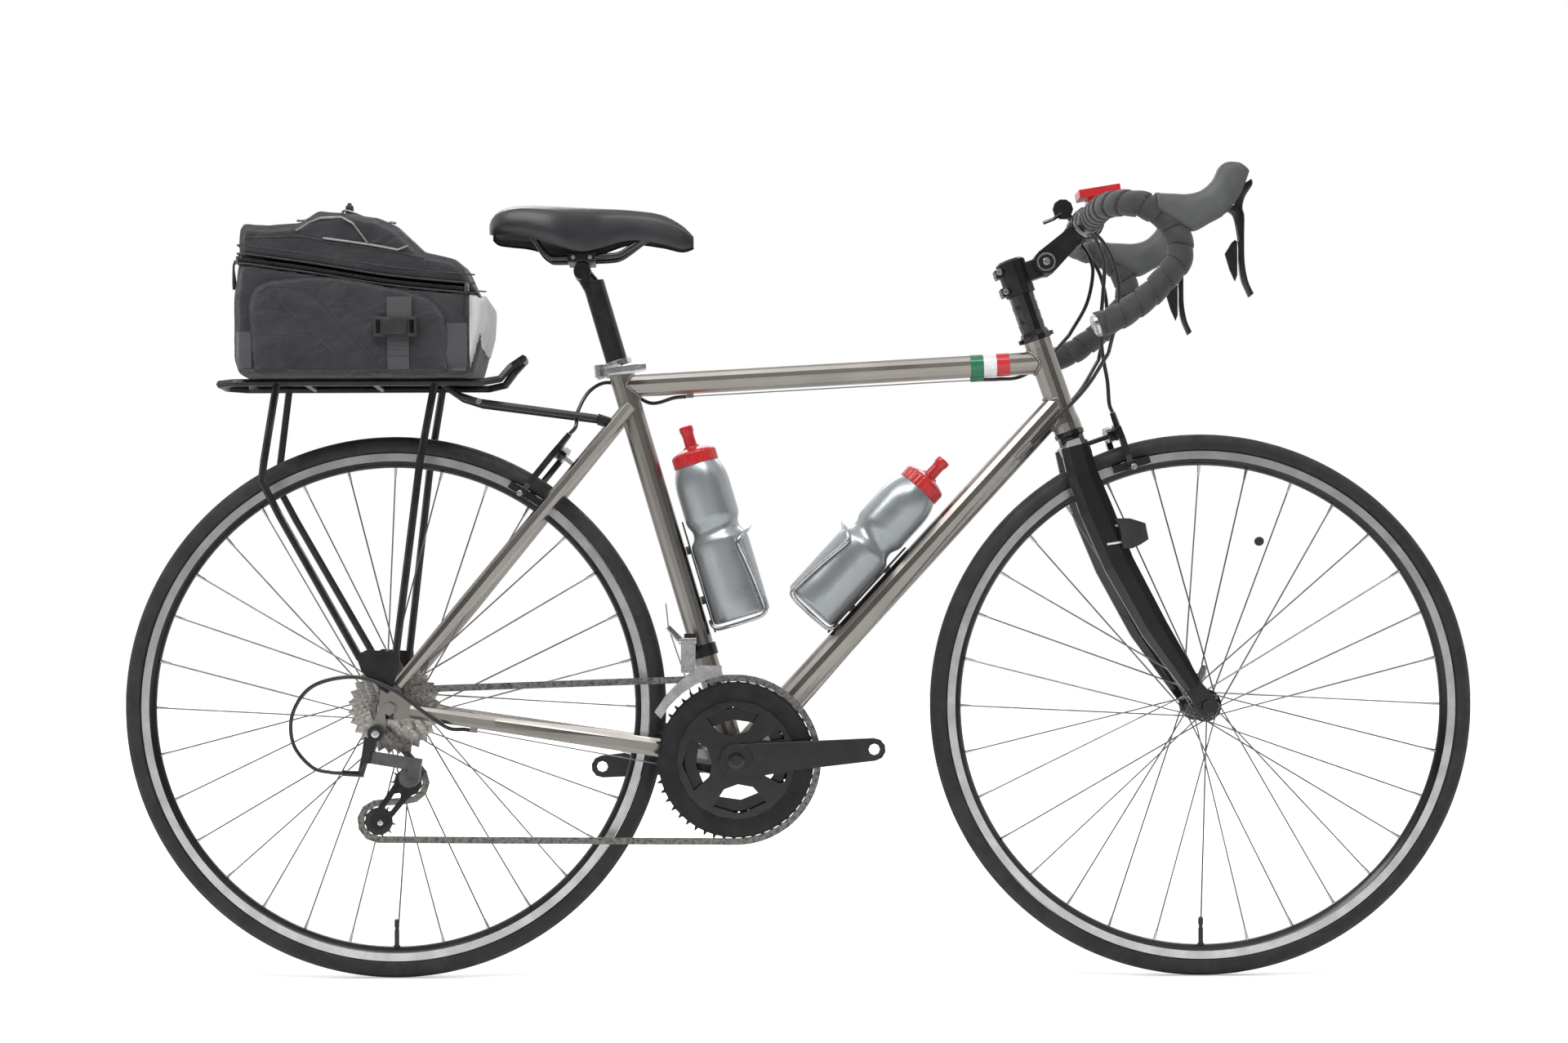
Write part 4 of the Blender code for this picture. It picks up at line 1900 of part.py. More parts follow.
def build_seat(frame, post_slide, saddle_tilt):
    top = SEAT_TUBE_LENGTH + POST_EXPOSED
    tube = rod(on_seat(SEAT_TUBE_LENGTH - SEATPOST_INSERTION), on_seat(top), SEATPOST_RADIUS, segments=16)
    head = post_head()
    neck = rod(on_seat(top - 0.012), head, 0.0126, 0.0100, 12)
    cradle = across_rod(head, -0.0200, 0.0200, POST_HEAD_RADIUS, 16)
    part("seatpost", united(tube, neck, cradle), "black_metal", post_slide)

    sections = (
        (-0.1145, 0.0600, 0.0470, 0.0300),
        (-0.1085, 0.0690, 0.0435, 0.0510),
        (-0.0940, 0.0770, 0.0425, 0.0640),
        (-0.0690, 0.0802, 0.0402, SADDLE_HALF_WIDTH),
        (-0.0350, 0.0794, 0.0305, 0.0680),
        (-0.0020, 0.0788, 0.0235, 0.0505),
        (0.0230, 0.0784, 0.0295, 0.0350),
        (0.0600, 0.0768, 0.0400, 0.0258),
        (0.0980, 0.0715, 0.0360, 0.0217),
        (0.1240, 0.0585, 0.0300, 0.0185),
        (0.1390, 0.0445, 0.0330, 0.0110),
    )
    rings = []
    for x, high, low, half in sections:
        drop = high - low
        side = [
            (0.0, high - 0.0012),
            (0.36, high),
            (0.74, high - 0.0060),
            (0.96, high - 0.46 * drop),
            (1.0, high - 0.85 * drop),
            (0.92, low),
            (0.45, low + 0.0055),
        ]
        ring = [head + Vector((x, half * y, z)) for y, z in side]
        ring += [head + Vector((x, 0, low + 0.0060))]
        ring += [head + Vector((x, -half * y, z)) for y, z in side[:0:-1]]
        rings.append(ring)
    mesh = loft(rings)
    rails = []
    for y in (-0.0220, 0.0220):
        route = [
            (-0.0650, y * 1.25, 0.0510),
            (-0.0380, y, 0.0157),
            (0.0402, y, 0.0180),
            (0.0590, y * 0.85, 0.0278),
            (0.0940, y * 0.52, 0.0510),
        ]
        rails.append(pipe([head + Vector(p) for p in route], 0.0036, 1))
    clamp = box((head.x - 0.001, 0, head.z + 0.0160), (0.0340, 0.0540, 0.0130))
    bolt = rod(head + Vector((-0.012, 0, 0.018)), head + Vector((-0.012, 0, 0.0265)), 0.0042, segments=6)
    room = across_rod(head, -0.04, 0.04, POST_HEAD_RADIUS + GAP + 0.0001, 16)
    mesh = united(mesh, rails[0], rails[1], cut(clamp, room), bolt)
    part("saddle", mesh, "saddle_cover", saddle_tilt)

    bore = SEAT_TUBE_RADIUS + GAP
    high, low = SEAT_TUBE_LENGTH + 0.0035, SEAT_TUBE_LENGTH - 0.0130
    profile = [(bore, high), (COLLAR_RADIUS, high), (COLLAR_RADIUS, low), (bore, low)]
    collar = turned(profile, facing(BRACKET, SEAT_UP), 16, closed=True)
    hollow = rod(on_seat(low - 0.02), on_seat(high + 0.02), bore, segments=16)
    lug = box(
        (0, 0, 0),
        (0.0150, 0.0180, 0.0125),
        facing(on_seat(SEAT_TUBE_LENGTH - 0.0050, -COLLAR_SKEWER_BACK + 0.002), SEAT_UP, SEAT_FORWARD),
    )
    split = box(
        (0, 0, 0),
        (0.0200, 0.0020, 0.0200),
        facing(on_seat(SEAT_TUBE_LENGTH - 0.0050, -COLLAR_SKEWER_BACK - 0.0045), SEAT_UP, SEAT_FORWARD),
    )
    skewer = across_rod(on_seat(SEAT_TUBE_LENGTH - 0.0045, -COLLAR_SKEWER_BACK), -COLLAR_SKEWER_HALF, COLLAR_SKEWER_HALF, 0.0040, 8)
    mesh = united(collar, cut(united(cut(lug, split), skewer), hollow))
    part("seat_collar", mesh, "polished_metal", frame)


def lever_axis(direction):
    """The cam's axis of a quick-release lever: square to the lever and to the skewer."""
    return Vector(direction).cross(ACROSS).normalized()


def build_quick_release(name, centre, direction, outward, length, paint, joint):
    """A cam barrel on its skewer's end, and a lever that curves away from the wheel."""
    direction = Vector(direction).normalized()
    out = ACROSS * outward
    axis = lever_axis(direction)
    barrel = rod(centre - axis * 0.0075, centre + axis * 0.0075, QUICK_CAM_RADIUS, segments=8)
    route = (
        (0.004, 0.0010, 0.0034, 0.0052),
        (length * 0.45, 0.0008, 0.0025, 0.0064),
        (length * 0.75, 0.0025, 0.0022, 0.0070),
        (length, 0.0060, 0.0016, 0.0050),
    )
    rings = [
        oval(centre + direction * along + out * away, direction, thick, wide, 6, 2.4)
        for along, away, thick, wide in route
    ]
    part(name, united(barrel, loft(rings)), paint, joint)


# The rack, the luggage and the bottles


def build_rack(frame):
    r, half, z = RACK_TUBE_RADIUS, RACK_HALF_WIDTH, RACK_HEIGHT
    hub = REAR_HUB.x
    side = [
        (hub + 0.1135, half, z),
        (hub + 0.1345, half - 0.006, z + 0.0040),
        (hub + 0.1475, half - 0.014, z + 0.0200),
        (hub + 0.1615, half - 0.032, z + 0.0320),
    ]
    rear = [(hub - 0.2145, half - 0.022, z), (hub - 0.1925, half, z)]
    loop = side + [(x, -y, h) for x, y, h in side[::-1]]
    loop += [(x, -y, h) for x, y, h in rear[::-1]] + rear
    mesh = pipe([Vector(p) for p in loop], r, 1, cyclic=True)
    for back in (0.0635, -0.0215, -0.1065):
        bar = rod((hub + back, -half, z), (hub + back, half, z), r * 0.84, segments=6)
        mesh = united(mesh, bar)
    span = seatstay_span()
    for sign in (-1, 1):
        rear_leg = [
            (-0.1405, half, z - 0.0005),
            (-0.1546, half + 0.0120, z - 0.0972),
            (-0.1575, half + 0.0130, z - 0.1223),
            (-0.1348, half + 0.0160, z - 0.1656),
            (-0.0355, RACK_FOOT_Y - 0.0030, REAR_HUB.z + 0.0615),
        ]
        front_leg = [
            (0.0545, half, z - 0.0005),
            (0.0372, half + 0.0110, z - 0.0978),
            (0.0075, RACK_FOOT_Y - 0.0030, REAR_HUB.z + 0.0595),
        ]
        for route in (rear_leg, front_leg):
            leg = [Vector((hub + x, sign * y, h)) for x, y, h in route]
            mesh = united(mesh, pipe(leg, r * 0.94, 1))
        foot = [
            (-0.0403, 0.0659),
            (-0.0265, 0.0725),
            (0.0135, 0.0695),
            (0.0135, 0.0545),
            (0.0048, 0.0258),
            (-0.0022, 0.0188),
            (-0.0092, 0.0238),
            (-0.0329, 0.0449),
        ]
        foot = [(hub + x, REAR_HUB.z + height) for x, height in foot]
        plate_mesh = plate([foot], 0.0030, side_plane(sign * RACK_FOOT_Y))
        spot = Vector((EYELET[0], 0, EYELET[1]))
        inner = sign * (REAR_DROPOUT_Y + DROPOUT_THICKNESS + GAP)
        bolt = across_rod(spot, inner, sign * (RACK_FOOT_Y + 0.0045), 0.0046, 5)
        mesh = united(mesh, plate_mesh, bolt)
        low = seatstay_point(span * SEATSTAY_CLIP_SHARE, sign)
        end = Vector((low.x - 0.0226, sign * 0.0225, low.z + 0.0074))
        stay = [
            Vector((hub + 0.0635, sign * 0.0300, z - 0.001)),
            Vector((hub + 0.0835, sign * 0.0290, z - 0.0150)),
            Vector((hub + 0.1079, sign * 0.0280, z - 0.0228)),
            end,
        ]
        grip = rod(end, low, 0.0056, segments=6)
        route = [seatstay_point(span * share, sign) for share in (0.62, 0.84, 1.0)]
        room = pipe(smooth_path(route, 2), SEATSTAY_RADIUS + GAP, 2)
        clip = cut(grip, room)
        mesh = united(mesh, pipe(stay, r * 0.9, 1), clip)
    part("rack", mesh, "black_metal", frame)


def inset(outline, distance):
    """A closed outline moved inwards along its corners' bisectors."""
    count = len(outline)
    area = sum(
        outline[i][0] * outline[(i + 1) % count][1] - outline[(i + 1) % count][0] * outline[i][1]
        for i in range(count)
    )
    turn = 1 if area > 0 else -1
    points = []
    for i in range(count):
        before, here, after = (Vector(outline[(i + k) % count]) for k in (-1, 0, 1))
        first, second = (here - before).normalized(), (after - here).normalized()
        normals = [Vector((-v.y, v.x)) * turn for v in (first, second)]
        bisector = (normals[0] + normals[1]).normalized()
        points.append(here + bisector * (distance / max(bisector.dot(normals[0]), 0.5)))
    return points


def cushion_block(outline, half_width, rounding):
    """A side outline carried across the bicycle, drawn in towards both of its ends."""
    rings = []
    for y, draw in (
        (-half_width, rounding * 0.8),
        (-half_width + rounding, 0.0),
        (half_width - rounding, 0.0),
        (half_width, rounding * 0.8),
    ):
        rings.append([Vector((p[0], y, p[1])) for p in inset(outline, draw)])
    return loft(rings)


def build_bag(frame, lid_joint):
    floor = RACK_HEIGHT + RACK_TUBE_RADIUS + GAP
    zip_line = [(-0.1825, 0.1490), (-0.0984, 0.1370), (-0.0069, 0.1220), (0.0458, 0.1160), (0.1075, 0.1105)]
    zip_line = [side_pair(RACK_ORIGIN, point) for point in zip_line]
    low = floor - RACK_HEIGHT
    lower = [
        (-0.1890, 0.1025),
        (-0.1895, 0.0267),
        (-0.1835, low + 0.0040),
        (-0.1765, low),
        (0.0935, low),
        (0.1035, low + 0.0040),
        (0.1200, 0.0671),
        (0.1212, 0.1016),
    ]
    lower = [side_pair(RACK_ORIGIN, point) for point in lower]
    outline = lower + zip_line[::-1]
    room_width = (BAG_HALF_WIDTH - BAG_WALL) * 2
    above = [(x, z + 0.0400) for x, z in zip_line]
    room = plate([inset(lower + above[::-1], BAG_WALL)], room_width, side_plane(0))
    body = cut(cushion_block(outline, BAG_HALF_WIDTH, 0.0110), room)
    part("bag", body, "bag_fabric", frame)
    raised = [(x, z + BAG_ZIP_GAP) for x, z in zip_line]
    lid = [
        (0.1005, 0.1230),
        (0.0926, 0.1384),
        (0.0810, 0.1477),
        (0.0443, 0.1550),
        (0.0088, 0.1880),
        (-0.0145, 0.1992),
        (-0.0426, 0.2041),
        (-0.0846, 0.2064),
        (-0.1080, 0.1920),
        (-0.1465, 0.1887),
        (-0.1765, 0.1915),
        (-0.1815, 0.1840),
    ]
    lid = [side_pair(RACK_ORIGIN, point) for point in lid]
    below = [(x, z - 0.0400) for x, z in zip_line]
    room = plate([inset(below + lid, BAG_WALL)], room_width, side_plane(0))
    body = cut(cushion_block(raised + lid, BAG_HALF_WIDTH, 0.0110), room)
    part("bag_lid", body, "bag_fabric", lid_joint)


def bottle_frame(number):
    """Local Z up a bottle's axis from its base, and local X away from the tube that carries it."""
    if number == 1:
        offset = SEAT_TUBE_RADIUS + BOTTLE_1_STANDOFF + BOTTLE_RADIUS
        return facing(on_seat(BOTTLE_1_FOOT, offset), SEAT_UP, SEAT_FORWARD), offset, SEAT_TUBE_RADIUS
    offset = DOWN_TUBE_RADIUS + BOTTLE_2_STANDOFF + BOTTLE_RADIUS
    base = down_tube_point(BOTTLE_2_FOOT, offset)
    direction = down_tube_point(1, 0) - down_tube_point(0, 0)
    out = down_tube_point(0, 1) - down_tube_point(0, 0)
    return facing(base, direction, out), offset, DOWN_TUBE_RADIUS


def build_bottle(number, slide):
    matrix, _, _ = bottle_frame(number)
    r, length = BOTTLE_RADIUS, BOTTLE_LENGTH
    cap = length - 0.0480
    profile = [
        (0.0, length),
        (0.0088, length - 0.001),
        (0.0088, length - 0.007),
        (0.0076, length - 0.0270),
        (0.0278, cap + 0.0150),
        (0.0278, cap - 0.0010),
        (r - 0.0025, cap - 0.0250),
        (r - 0.0025, length * 0.52),
        (r - 0.0070, length * 0.465),
        (r, length * 0.41),
        (r, 0.0050),
        (r - 0.0040, 0.0),
        (0.0, 0.0),
    ]
    mesh = turned(profile, matrix, 12)
    part("bottle_" + str(number), mesh, "bottle_plastic", slide)


def build_cage(number, frame):
    matrix, offset, tube_radius = bottle_frame(number)
    r = BOTTLE_RADIUS
    back = r + CAGE_SLACK + CAGE_PLATE
    around = r + CAGE_WIRE + 0.0042
    spine = box((-(r + CAGE_SLACK + CAGE_PLATE / 2), 0, 0.0680), (CAGE_PLATE, 0.0240, 0.1160), matrix)
    tip = box((-(r + CAGE_SLACK + CAGE_PLATE / 2) - 0.0002, 0, 0.1300), (CAGE_PLATE * 0.8, 0.0140, 0.0120), matrix)
    mesh = united(spine, tip)
    for height in (0.0350, 0.1000):
        start, end = Vector((-back + 0.0005, 0, height)), Vector((-(offset - tube_radius - GAP), 0, height))
        mesh = united(mesh, rod(matrix @ start, matrix @ end, 0.0050, segments=6))
    for side in (-1, 1):
        polar = [
            (170, 0.0100, r + 0.0031),
            (169, 0.0000, r + 0.0028),
            (163, -0.0070, r - 0.0040),
            (90, -0.0070, r * 0.62),
            (44, -0.0064, r * 0.92),
            (34, 0.0050, around),
            (46, 0.0740, around),
            (90, 0.1095, around),
            (134, 0.1165, around),
            (172, 0.1130, r + 0.0035),
        ]
        points = []
        for angle, height, radius in polar:
            turn = math.radians(angle)
            points.append(matrix @ Vector((radius * math.cos(turn), side * radius * math.sin(turn), height)))
        mesh = united(mesh, pipe(points, CAGE_WIRE, 1))
    foot = box((-(r * 0.62), 0, -0.0033), (r * 0.86, 0.0160, 0.0060), matrix)
    heel = box((-(back - CAGE_PLATE / 2 + 0.0001), 0, 0.0040), (CAGE_PLATE * 0.9, 0.0150, 0.0230), matrix)
    part("cage_" + str(number), united(mesh, heel, foot), "black_metal", frame)


def build_sensor(steering):
    outline = [
        (-0.1080, 0.2215),
        (-0.1135, 0.2315),
        (-0.0955, 0.2315),
        (-0.0765, 0.2255),
        (-0.0725, 0.2055),
        (-0.0835, 0.1985),
        (-0.0925, 0.1945),
        (-0.1035, 0.1945),
    ]
    drop = 0.143
    y = -(abs(blade_centre(drop, -1).y) + BLADE_THICK_AT_SENSOR + GAP + 0.0060)
    outline = [side_pair(FRONT_HUB, point) for point in outline]
    mesh = plate([outline[::-1]], 0.0120, side_plane(y))
    part("sensor", mesh, "grey_plastic", steering)


# The cables


def top_tube_underside(distance, below, y=0.0):
    """A point below the top tube, measured along it from the seat tube."""
    rear, front = on_seat(TOP_TUBE_ON_SEAT_TUBE), on_head(TOP_TUBE_ON_HEAD_TUBE)
    along = (front - rear).normalized()
    under = along.cross(ACROSS)
    under = under if under.z < 0 else -under
    return rear + along * distance + under * (TOP_TUBE_RADIUS + below) + ACROSS * y


def boot_top(origin, up, out):
    """Where a brake cable's housing meets the caliper's boot."""
    y = -(BRAKE_ARM_REACH - 0.009)
    return origin + out * BRAKE_LAYERS[1] + up * (BRAKE_BOOT_LENGTH + GAP) + ACROSS * y


def wire_and_housing(runs):
    """Join runs of (points, radius), stepping from housing to bare wire at each stop's face."""
    points, radii = [], []
    for run, radius in runs:
        points += run
        radii += [radius] * len(run)
    return pipe(points, HOUSING_RADIUS, 1, radii)


def build_cables(steering, frame, brakes):
    bar = bar_centre()
    start = bar + Vector((0.0020, 0, -(TAPE_RADIUS + TAPE_STEP + HOUSING_RADIUS + 0.0002)))
    step = 0.0001
    end = boot_top(*brakes["front"])
    up = brakes["front"][1]
    housing = [
        start + ACROSS * -0.0500,
        bar + Vector((0.0098, -0.0440, -0.0318)),
        bar + Vector((0.0178, -0.0370, -0.0538)),
        bar + Vector((0.0168, -0.0320, -0.0898)),
        bar + Vector((0.0143, -0.0290, -0.1298)),
        bar + Vector((0.0168, -0.0270, -0.1648)),
        bar + Vector((0.0228, -0.0258, -0.1978)),
        end + up * 0.0120,
        end,
    ]
    wire = [end - up * (GAP - step), end - up * (BRAKE_BOOT_LENGTH + 0.0450)]
    mesh = wire_and_housing([(housing, HOUSING_RADIUS), (wire, WIRE_RADIUS)])
    part("front_brake_cable", mesh, "cable_housing", steering)

    end = boot_top(*brakes["rear"])
    up = brakes["rear"][1]
    rear_stop, front_stop = top_tube_stops()
    below = 0.0030
    first = [
        start + ACROSS * 0.0500,
        bar + Vector((0.0098, 0.0460, -0.0318)),
        bar + Vector((0.0148, 0.0420, -0.0538)),
        bar + Vector((0.0058, 0.0360, -0.0948)),
        bar + Vector((-0.0172, 0.0310, -0.1348)),
        bar + Vector((-0.0482, 0.0270, -0.1678)),
        bar + Vector((-0.0802, 0.0200, -0.1878)),
        top_tube_underside(front_stop + 0.0240, below + 0.0004),
        top_tube_underside(front_stop + 0.0045 + GAP, below),
    ]
    bare = [
        top_tube_underside(front_stop + 0.0045 + step, below),
        top_tube_underside(rear_stop - 0.0045 - step, below),
    ]
    last = [
        top_tube_underside(rear_stop - 0.0045 - GAP, below),
        top_tube_underside(rear_stop - 0.0200, below + 0.0006),
        SEAT_TOP + Vector((0.0407, 0.0190, -0.0473)),
        SEAT_TOP + Vector((0.0117, 0.0240, -0.0303)),
        SEAT_TOP + Vector((-0.0133, 0.0170, -0.0213)),
        SEAT_TOP + Vector((-0.0353, 0.0030, -0.0333)),
        SEAT_TOP + Vector((-0.0493, -0.0110, -0.0593)),
        end + up * 0.0120,
        end,
    ]
    wire = [end - up * (GAP - step), end - up * (BRAKE_BOOT_LENGTH + 0.0250)]
    mesh = wire_and_housing(
        [(first, HOUSING_RADIUS), (bare, WIRE_RADIUS), (last, HOUSING_RADIUS), (wire, WIRE_RADIUS)]
    )
    part("rear_brake_cable", mesh, "cable_housing", frame)

    length = down_tube_length()
    ahead = length - DOWN_TUBE_STOP + BARREL_LENGTH / 2
    behind = length - DOWN_TUBE_STOP - BARREL_LENGTH / 2
    below_shell = SHELL_RADIUS + WIRE_RADIUS + 0.0022
    for side, name in ((-1, "rear_shift_cable"), (1, "front_shift_cable")):
        y = side * BARREL_Y
        first = [
            start + ACROSS * (side * 0.0620),
            bar + Vector((0.0138, side * 0.0610, -0.0318)),
            bar + Vector((0.0278, side * 0.0580, -0.0598)),
            bar + Vector((0.0338, side * 0.0530, -0.1048)),
            bar + Vector((0.0218, side * 0.0430, -0.1648)),
            bar + Vector((-0.0072, side * 0.0310, -0.2098)),
            down_tube_point(ahead + 0.0250, BARREL_OUT, side * 0.0210),
            down_tube_point(ahead + GAP, BARREL_OUT, y),
        ]
        bare = [
            down_tube_point(ahead + step, BARREL_OUT, y),
            down_tube_point(behind, BARREL_OUT, y),
            down_tube_point(0.0340, -(DOWN_TUBE_RADIUS + 0.0030), side * 0.0070),
            BRACKET + Vector((0.0200, side * 0.0060, -0.0126)),
            BRACKET + Vector((0.0060, side * 0.0060, -below_shell)),
        ]
        if side < 0:
            stay = (REAR_HUB - BRACKET).normalized()
            under = -ACROSS.cross(stay) if ACROSS.cross(stay).z > 0 else ACROSS.cross(stay)
            stop = towards_hub(CHAINSTAY_STOP, -CHAINSTAY_STOP_Y) + under * (0.0092 + 0.0029)
            bare += [
                BRACKET + Vector((-0.0120, side * 0.0080, -below_shell + 0.0012)),
                stop - stay * 0.0060,
                stop + stay * (0.0045 + step),
            ]
            first_link, _ = link_ends()
            loop = [
                stop + stay * (0.0045 + GAP),
                stop + stay * 0.0120,
                REAR_HUB + Vector((0.0705, -0.0680, -0.0235)),
                REAR_HUB + Vector((0.0415, -0.0830, -0.0025)),
                REAR_HUB + Vector((0.0035, -0.0900, 0.0255)),
                REAR_HUB + Vector((-0.0415, -0.0900, 0.0395)),
                REAR_HUB + Vector((-0.0915, -0.0880, 0.0285)),
                REAR_HUB + Vector((-0.1165, -0.0850, -0.0045)),
                REAR_HUB + Vector((-0.1165, -0.0820, -0.0425)),
                REAR_HUB + Vector((-0.0945, -0.0800, -0.0705)),
                REAR_HUB + Vector((-0.0715, first_link.y, -0.0773)),
                REAR_HUB + Vector((-0.0565 - GAP, first_link.y, -0.0782)),
            ]
            runs = [(first, HOUSING_RADIUS), (bare, WIRE_RADIUS), (loop, HOUSING_RADIUS)]
        else:
            tail = FD_HINGE + Vector((-0.0215, 0.0085, 0.0165))
            bare += [
                BRACKET + Vector((-0.0150, 0.0030, -below_shell + 0.0020)),
                BRACKET + Vector((-0.0320, -0.0060, -0.0060)),
                BRACKET + Vector((-0.0380, -0.0120, 0.0300)),
                tail,
                tail + Vector((-0.0030, -0.0010, 0.0300)),
            ]
            runs = [(first, HOUSING_RADIUS), (bare, WIRE_RADIUS)]
        part(name, wire_and_housing(runs), "cable_housing", frame)


# The assembly


def build_bicycle():
    frame = assembly("frame", BRACKET)
    rear_wheel = assembly("rear_wheel", REAR_HUB, frame)
    crankset = assembly("crankset", BRACKET, frame)
    steering = assembly("steering", HEAD_BOTTOM, frame)
    front_wheel = assembly("front_wheel", FRONT_HUB, steering)
    stem_tilt = assembly("stem_tilt", stem_pivot(), steering)
    post_slide = assembly("post_slide", on_seat(SEAT_TUBE_LENGTH), frame)
    saddle_tilt = assembly("saddle_tilt", post_head(), post_slide)

    build_head_tube(frame)
    build_top_tube(frame)
    build_down_tube(frame)
    build_seat_tube(frame)
    build_seatstays(frame)
    build_chainstays(frame)
    build_headset(steering)
    build_fork(steering)
    build_wheels(front_wheel, rear_wheel)

    turn, pins = solve_chain()
    hanger = assembly("rd_hanger", (HANGER[0], 0, HANGER[1]), frame)
    first, second = link_ends()
    link_swing = assembly("rd_swing", first, hanger)
    knuckle = assembly("rd_knuckle", second, link_swing)
    cage = assembly("rd_cage_pivot", (CAGE_PIVOT[0], SMALLEST_COG_Y, CAGE_PIVOT[1]), knuckle)
    fd_swing = assembly("fd_swing", FD_HINGE, frame)
    build_chain(frame, pins, turn)
    cassette_spin = assembly("cassette_spin", REAR_HUB, frame)
    build_cassette(cassette_spin, pins)
    build_cranks(crankset, pins)
    build_rear_derailleur(hanger, link_swing, knuckle, cage, pins, turn)
    build_front_derailleur(frame, fd_swing)

    front_origin = on_head(-FRONT_BRAKE_DROP, FRONT_BRAKE_FORWARD)
    span = seatstay_span() * SEATSTAY_BRIDGE_SHARE
    bridge = (seatstay_point(span, -1) + seatstay_point(span, 1)) / 2
    rear_origin = bridge + REAR_BRAKE_OUT * REAR_BRAKE_FORWARD
    rear_up = ACROSS.cross(REAR_BRAKE_OUT)
    rear_up = rear_up if rear_up.z > 0 else -rear_up
    joints = {}
    for end, origin, parent in (("front", front_origin, steering), ("rear", rear_origin, frame)):
        for side in ("left", "right"):
            joints[end, side] = assembly(end + "_brake_pivot_" + side, origin, parent)
    for end, origin, up, out, hub, angle in (
        ("front", front_origin, HEAD_UP, HEAD_FORWARD, FRONT_HUB, FRONT_PAD_ANGLE),
        ("rear", rear_origin, rear_up, REAR_BRAKE_OUT, REAR_HUB, REAR_PAD_ANGLE),
    ):
        names = [end + "_brake_arm_left", end + "_brake_arm_right"]
        build_brake(names, [joints[end, "left"], joints[end, "right"]], origin, up, out, hub, angle)

    build_stem(steering, stem_tilt)
    build_handlebar(stem_tilt)
    for side, name in ((1, "left"), (-1, "right")):
        lever = assembly("lever_pivot_" + name, lever_pivot(side), stem_tilt)
        paddle = assembly("paddle_pivot_" + name, paddle_pivot(side), lever)
        build_controls(side, name, stem_tilt, lever, paddle)
    build_bar_fittings(stem_tilt)
    build_seat(frame, post_slide, saddle_tilt)

    nut = NUT_LENGTH + GAP + QUICK_CAM_RADIUS
    centre = FRONT_HUB + ACROSS * (FRONT_DROPOUT_Y + DROPOUT_THICKNESS + nut)
    joint = assembly("front_qr_pivot", centre, steering)
    build_quick_release("front_qr_lever", centre, (0.018, 0, 0.0466), 1, 0.052, "polished_metal", joint)
    centre = REAR_HUB + ACROSS * (REAR_DROPOUT_Y + DROPOUT_THICKNESS + nut)
    joint = assembly("rear_qr_pivot", centre, frame)
    build_quick_release("rear_qr_lever", centre, (-0.98, 0, 0.20), 1, 0.052, "polished_metal", joint)
    centre = on_seat(SEAT_TUBE_LENGTH - 0.0045, -COLLAR_SKEWER_BACK)
    centre = centre - ACROSS * (COLLAR_SKEWER_HALF + GAP + QUICK_CAM_RADIUS)
    joint = assembly("seat_qr_pivot", centre, frame)
    build_quick_release("seat_qr_lever", centre, (1.0, 0, 0.10), -1, 0.058, "polished_metal", joint)

    build_rack(frame)
    x, z = side_pair(RACK_ORIGIN, LID_HINGE_FROM_RACK)
    lid = assembly("bag_lid_hinge", (x, 0, z), frame)
    build_bag(frame, lid)
    for number in (1, 2):
        matrix, _, _ = bottle_frame(number)
        slide = assembly("bottle_slide_" + str(number), matrix.translation, frame)
        build_bottle(number, slide)
        build_cage(number, frame)
    build_sensor(steering)
    brakes = {
        "front": (front_origin, HEAD_UP, HEAD_FORWARD),
        "rear": (rear_origin, rear_up, REAR_BRAKE_OUT),
    }
    build_cables(steering, frame, brakes)


build_bicycle()
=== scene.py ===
"""Looks of a titanium drop-bar bicycle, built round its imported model.

Everything is in metres in the part's own frame: +X forward, +Y to the rider's left, +Z up.
"""

import math

import bmesh
import bpy
from mathutils import Matrix, Vector, noise
from mathutils.bvhtree import BVHTree


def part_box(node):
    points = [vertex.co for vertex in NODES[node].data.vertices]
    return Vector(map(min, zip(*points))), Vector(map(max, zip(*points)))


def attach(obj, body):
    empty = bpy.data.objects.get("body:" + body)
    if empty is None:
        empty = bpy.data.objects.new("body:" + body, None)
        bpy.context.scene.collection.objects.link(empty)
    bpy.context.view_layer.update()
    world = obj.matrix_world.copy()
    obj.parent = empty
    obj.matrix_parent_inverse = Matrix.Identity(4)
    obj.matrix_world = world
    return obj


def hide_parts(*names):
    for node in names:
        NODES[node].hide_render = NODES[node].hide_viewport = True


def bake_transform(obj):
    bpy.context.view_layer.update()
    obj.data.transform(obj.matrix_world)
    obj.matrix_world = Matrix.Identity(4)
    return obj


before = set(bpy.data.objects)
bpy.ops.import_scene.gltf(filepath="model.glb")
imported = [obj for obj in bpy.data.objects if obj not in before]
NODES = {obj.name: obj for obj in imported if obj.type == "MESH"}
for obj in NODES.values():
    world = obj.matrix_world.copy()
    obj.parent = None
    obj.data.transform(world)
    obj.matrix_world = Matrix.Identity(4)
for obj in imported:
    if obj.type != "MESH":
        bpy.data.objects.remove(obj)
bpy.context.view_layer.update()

SEAT_ANGLE = math.radians(73.5)
HEAD_ANGLE = math.radians(71.0)
ACROSS = Vector((0, 1, 0))
UP = Vector((0, 0, 1))
REAR_HUB = Vector((-0.5035, 0, 0.3385))
FRONT_HUB = Vector((0.5035, 0, 0.3385))
BRACKET = Vector((-0.07844, 0, 0.2735))
SEAT_UP = Vector((-math.cos(SEAT_ANGLE), 0, math.sin(SEAT_ANGLE)))
SEAT_FORWARD = Vector((SEAT_UP.z, 0, -SEAT_UP.x))
HEAD_UP = Vector((-math.cos(HEAD_ANGLE), 0, math.sin(HEAD_ANGLE)))
HEAD_BOTTOM = Vector((0.3401, 0, 0.68096))
SIDES = ((1, "left"), (-1, "right"))


# Camera, floor and light

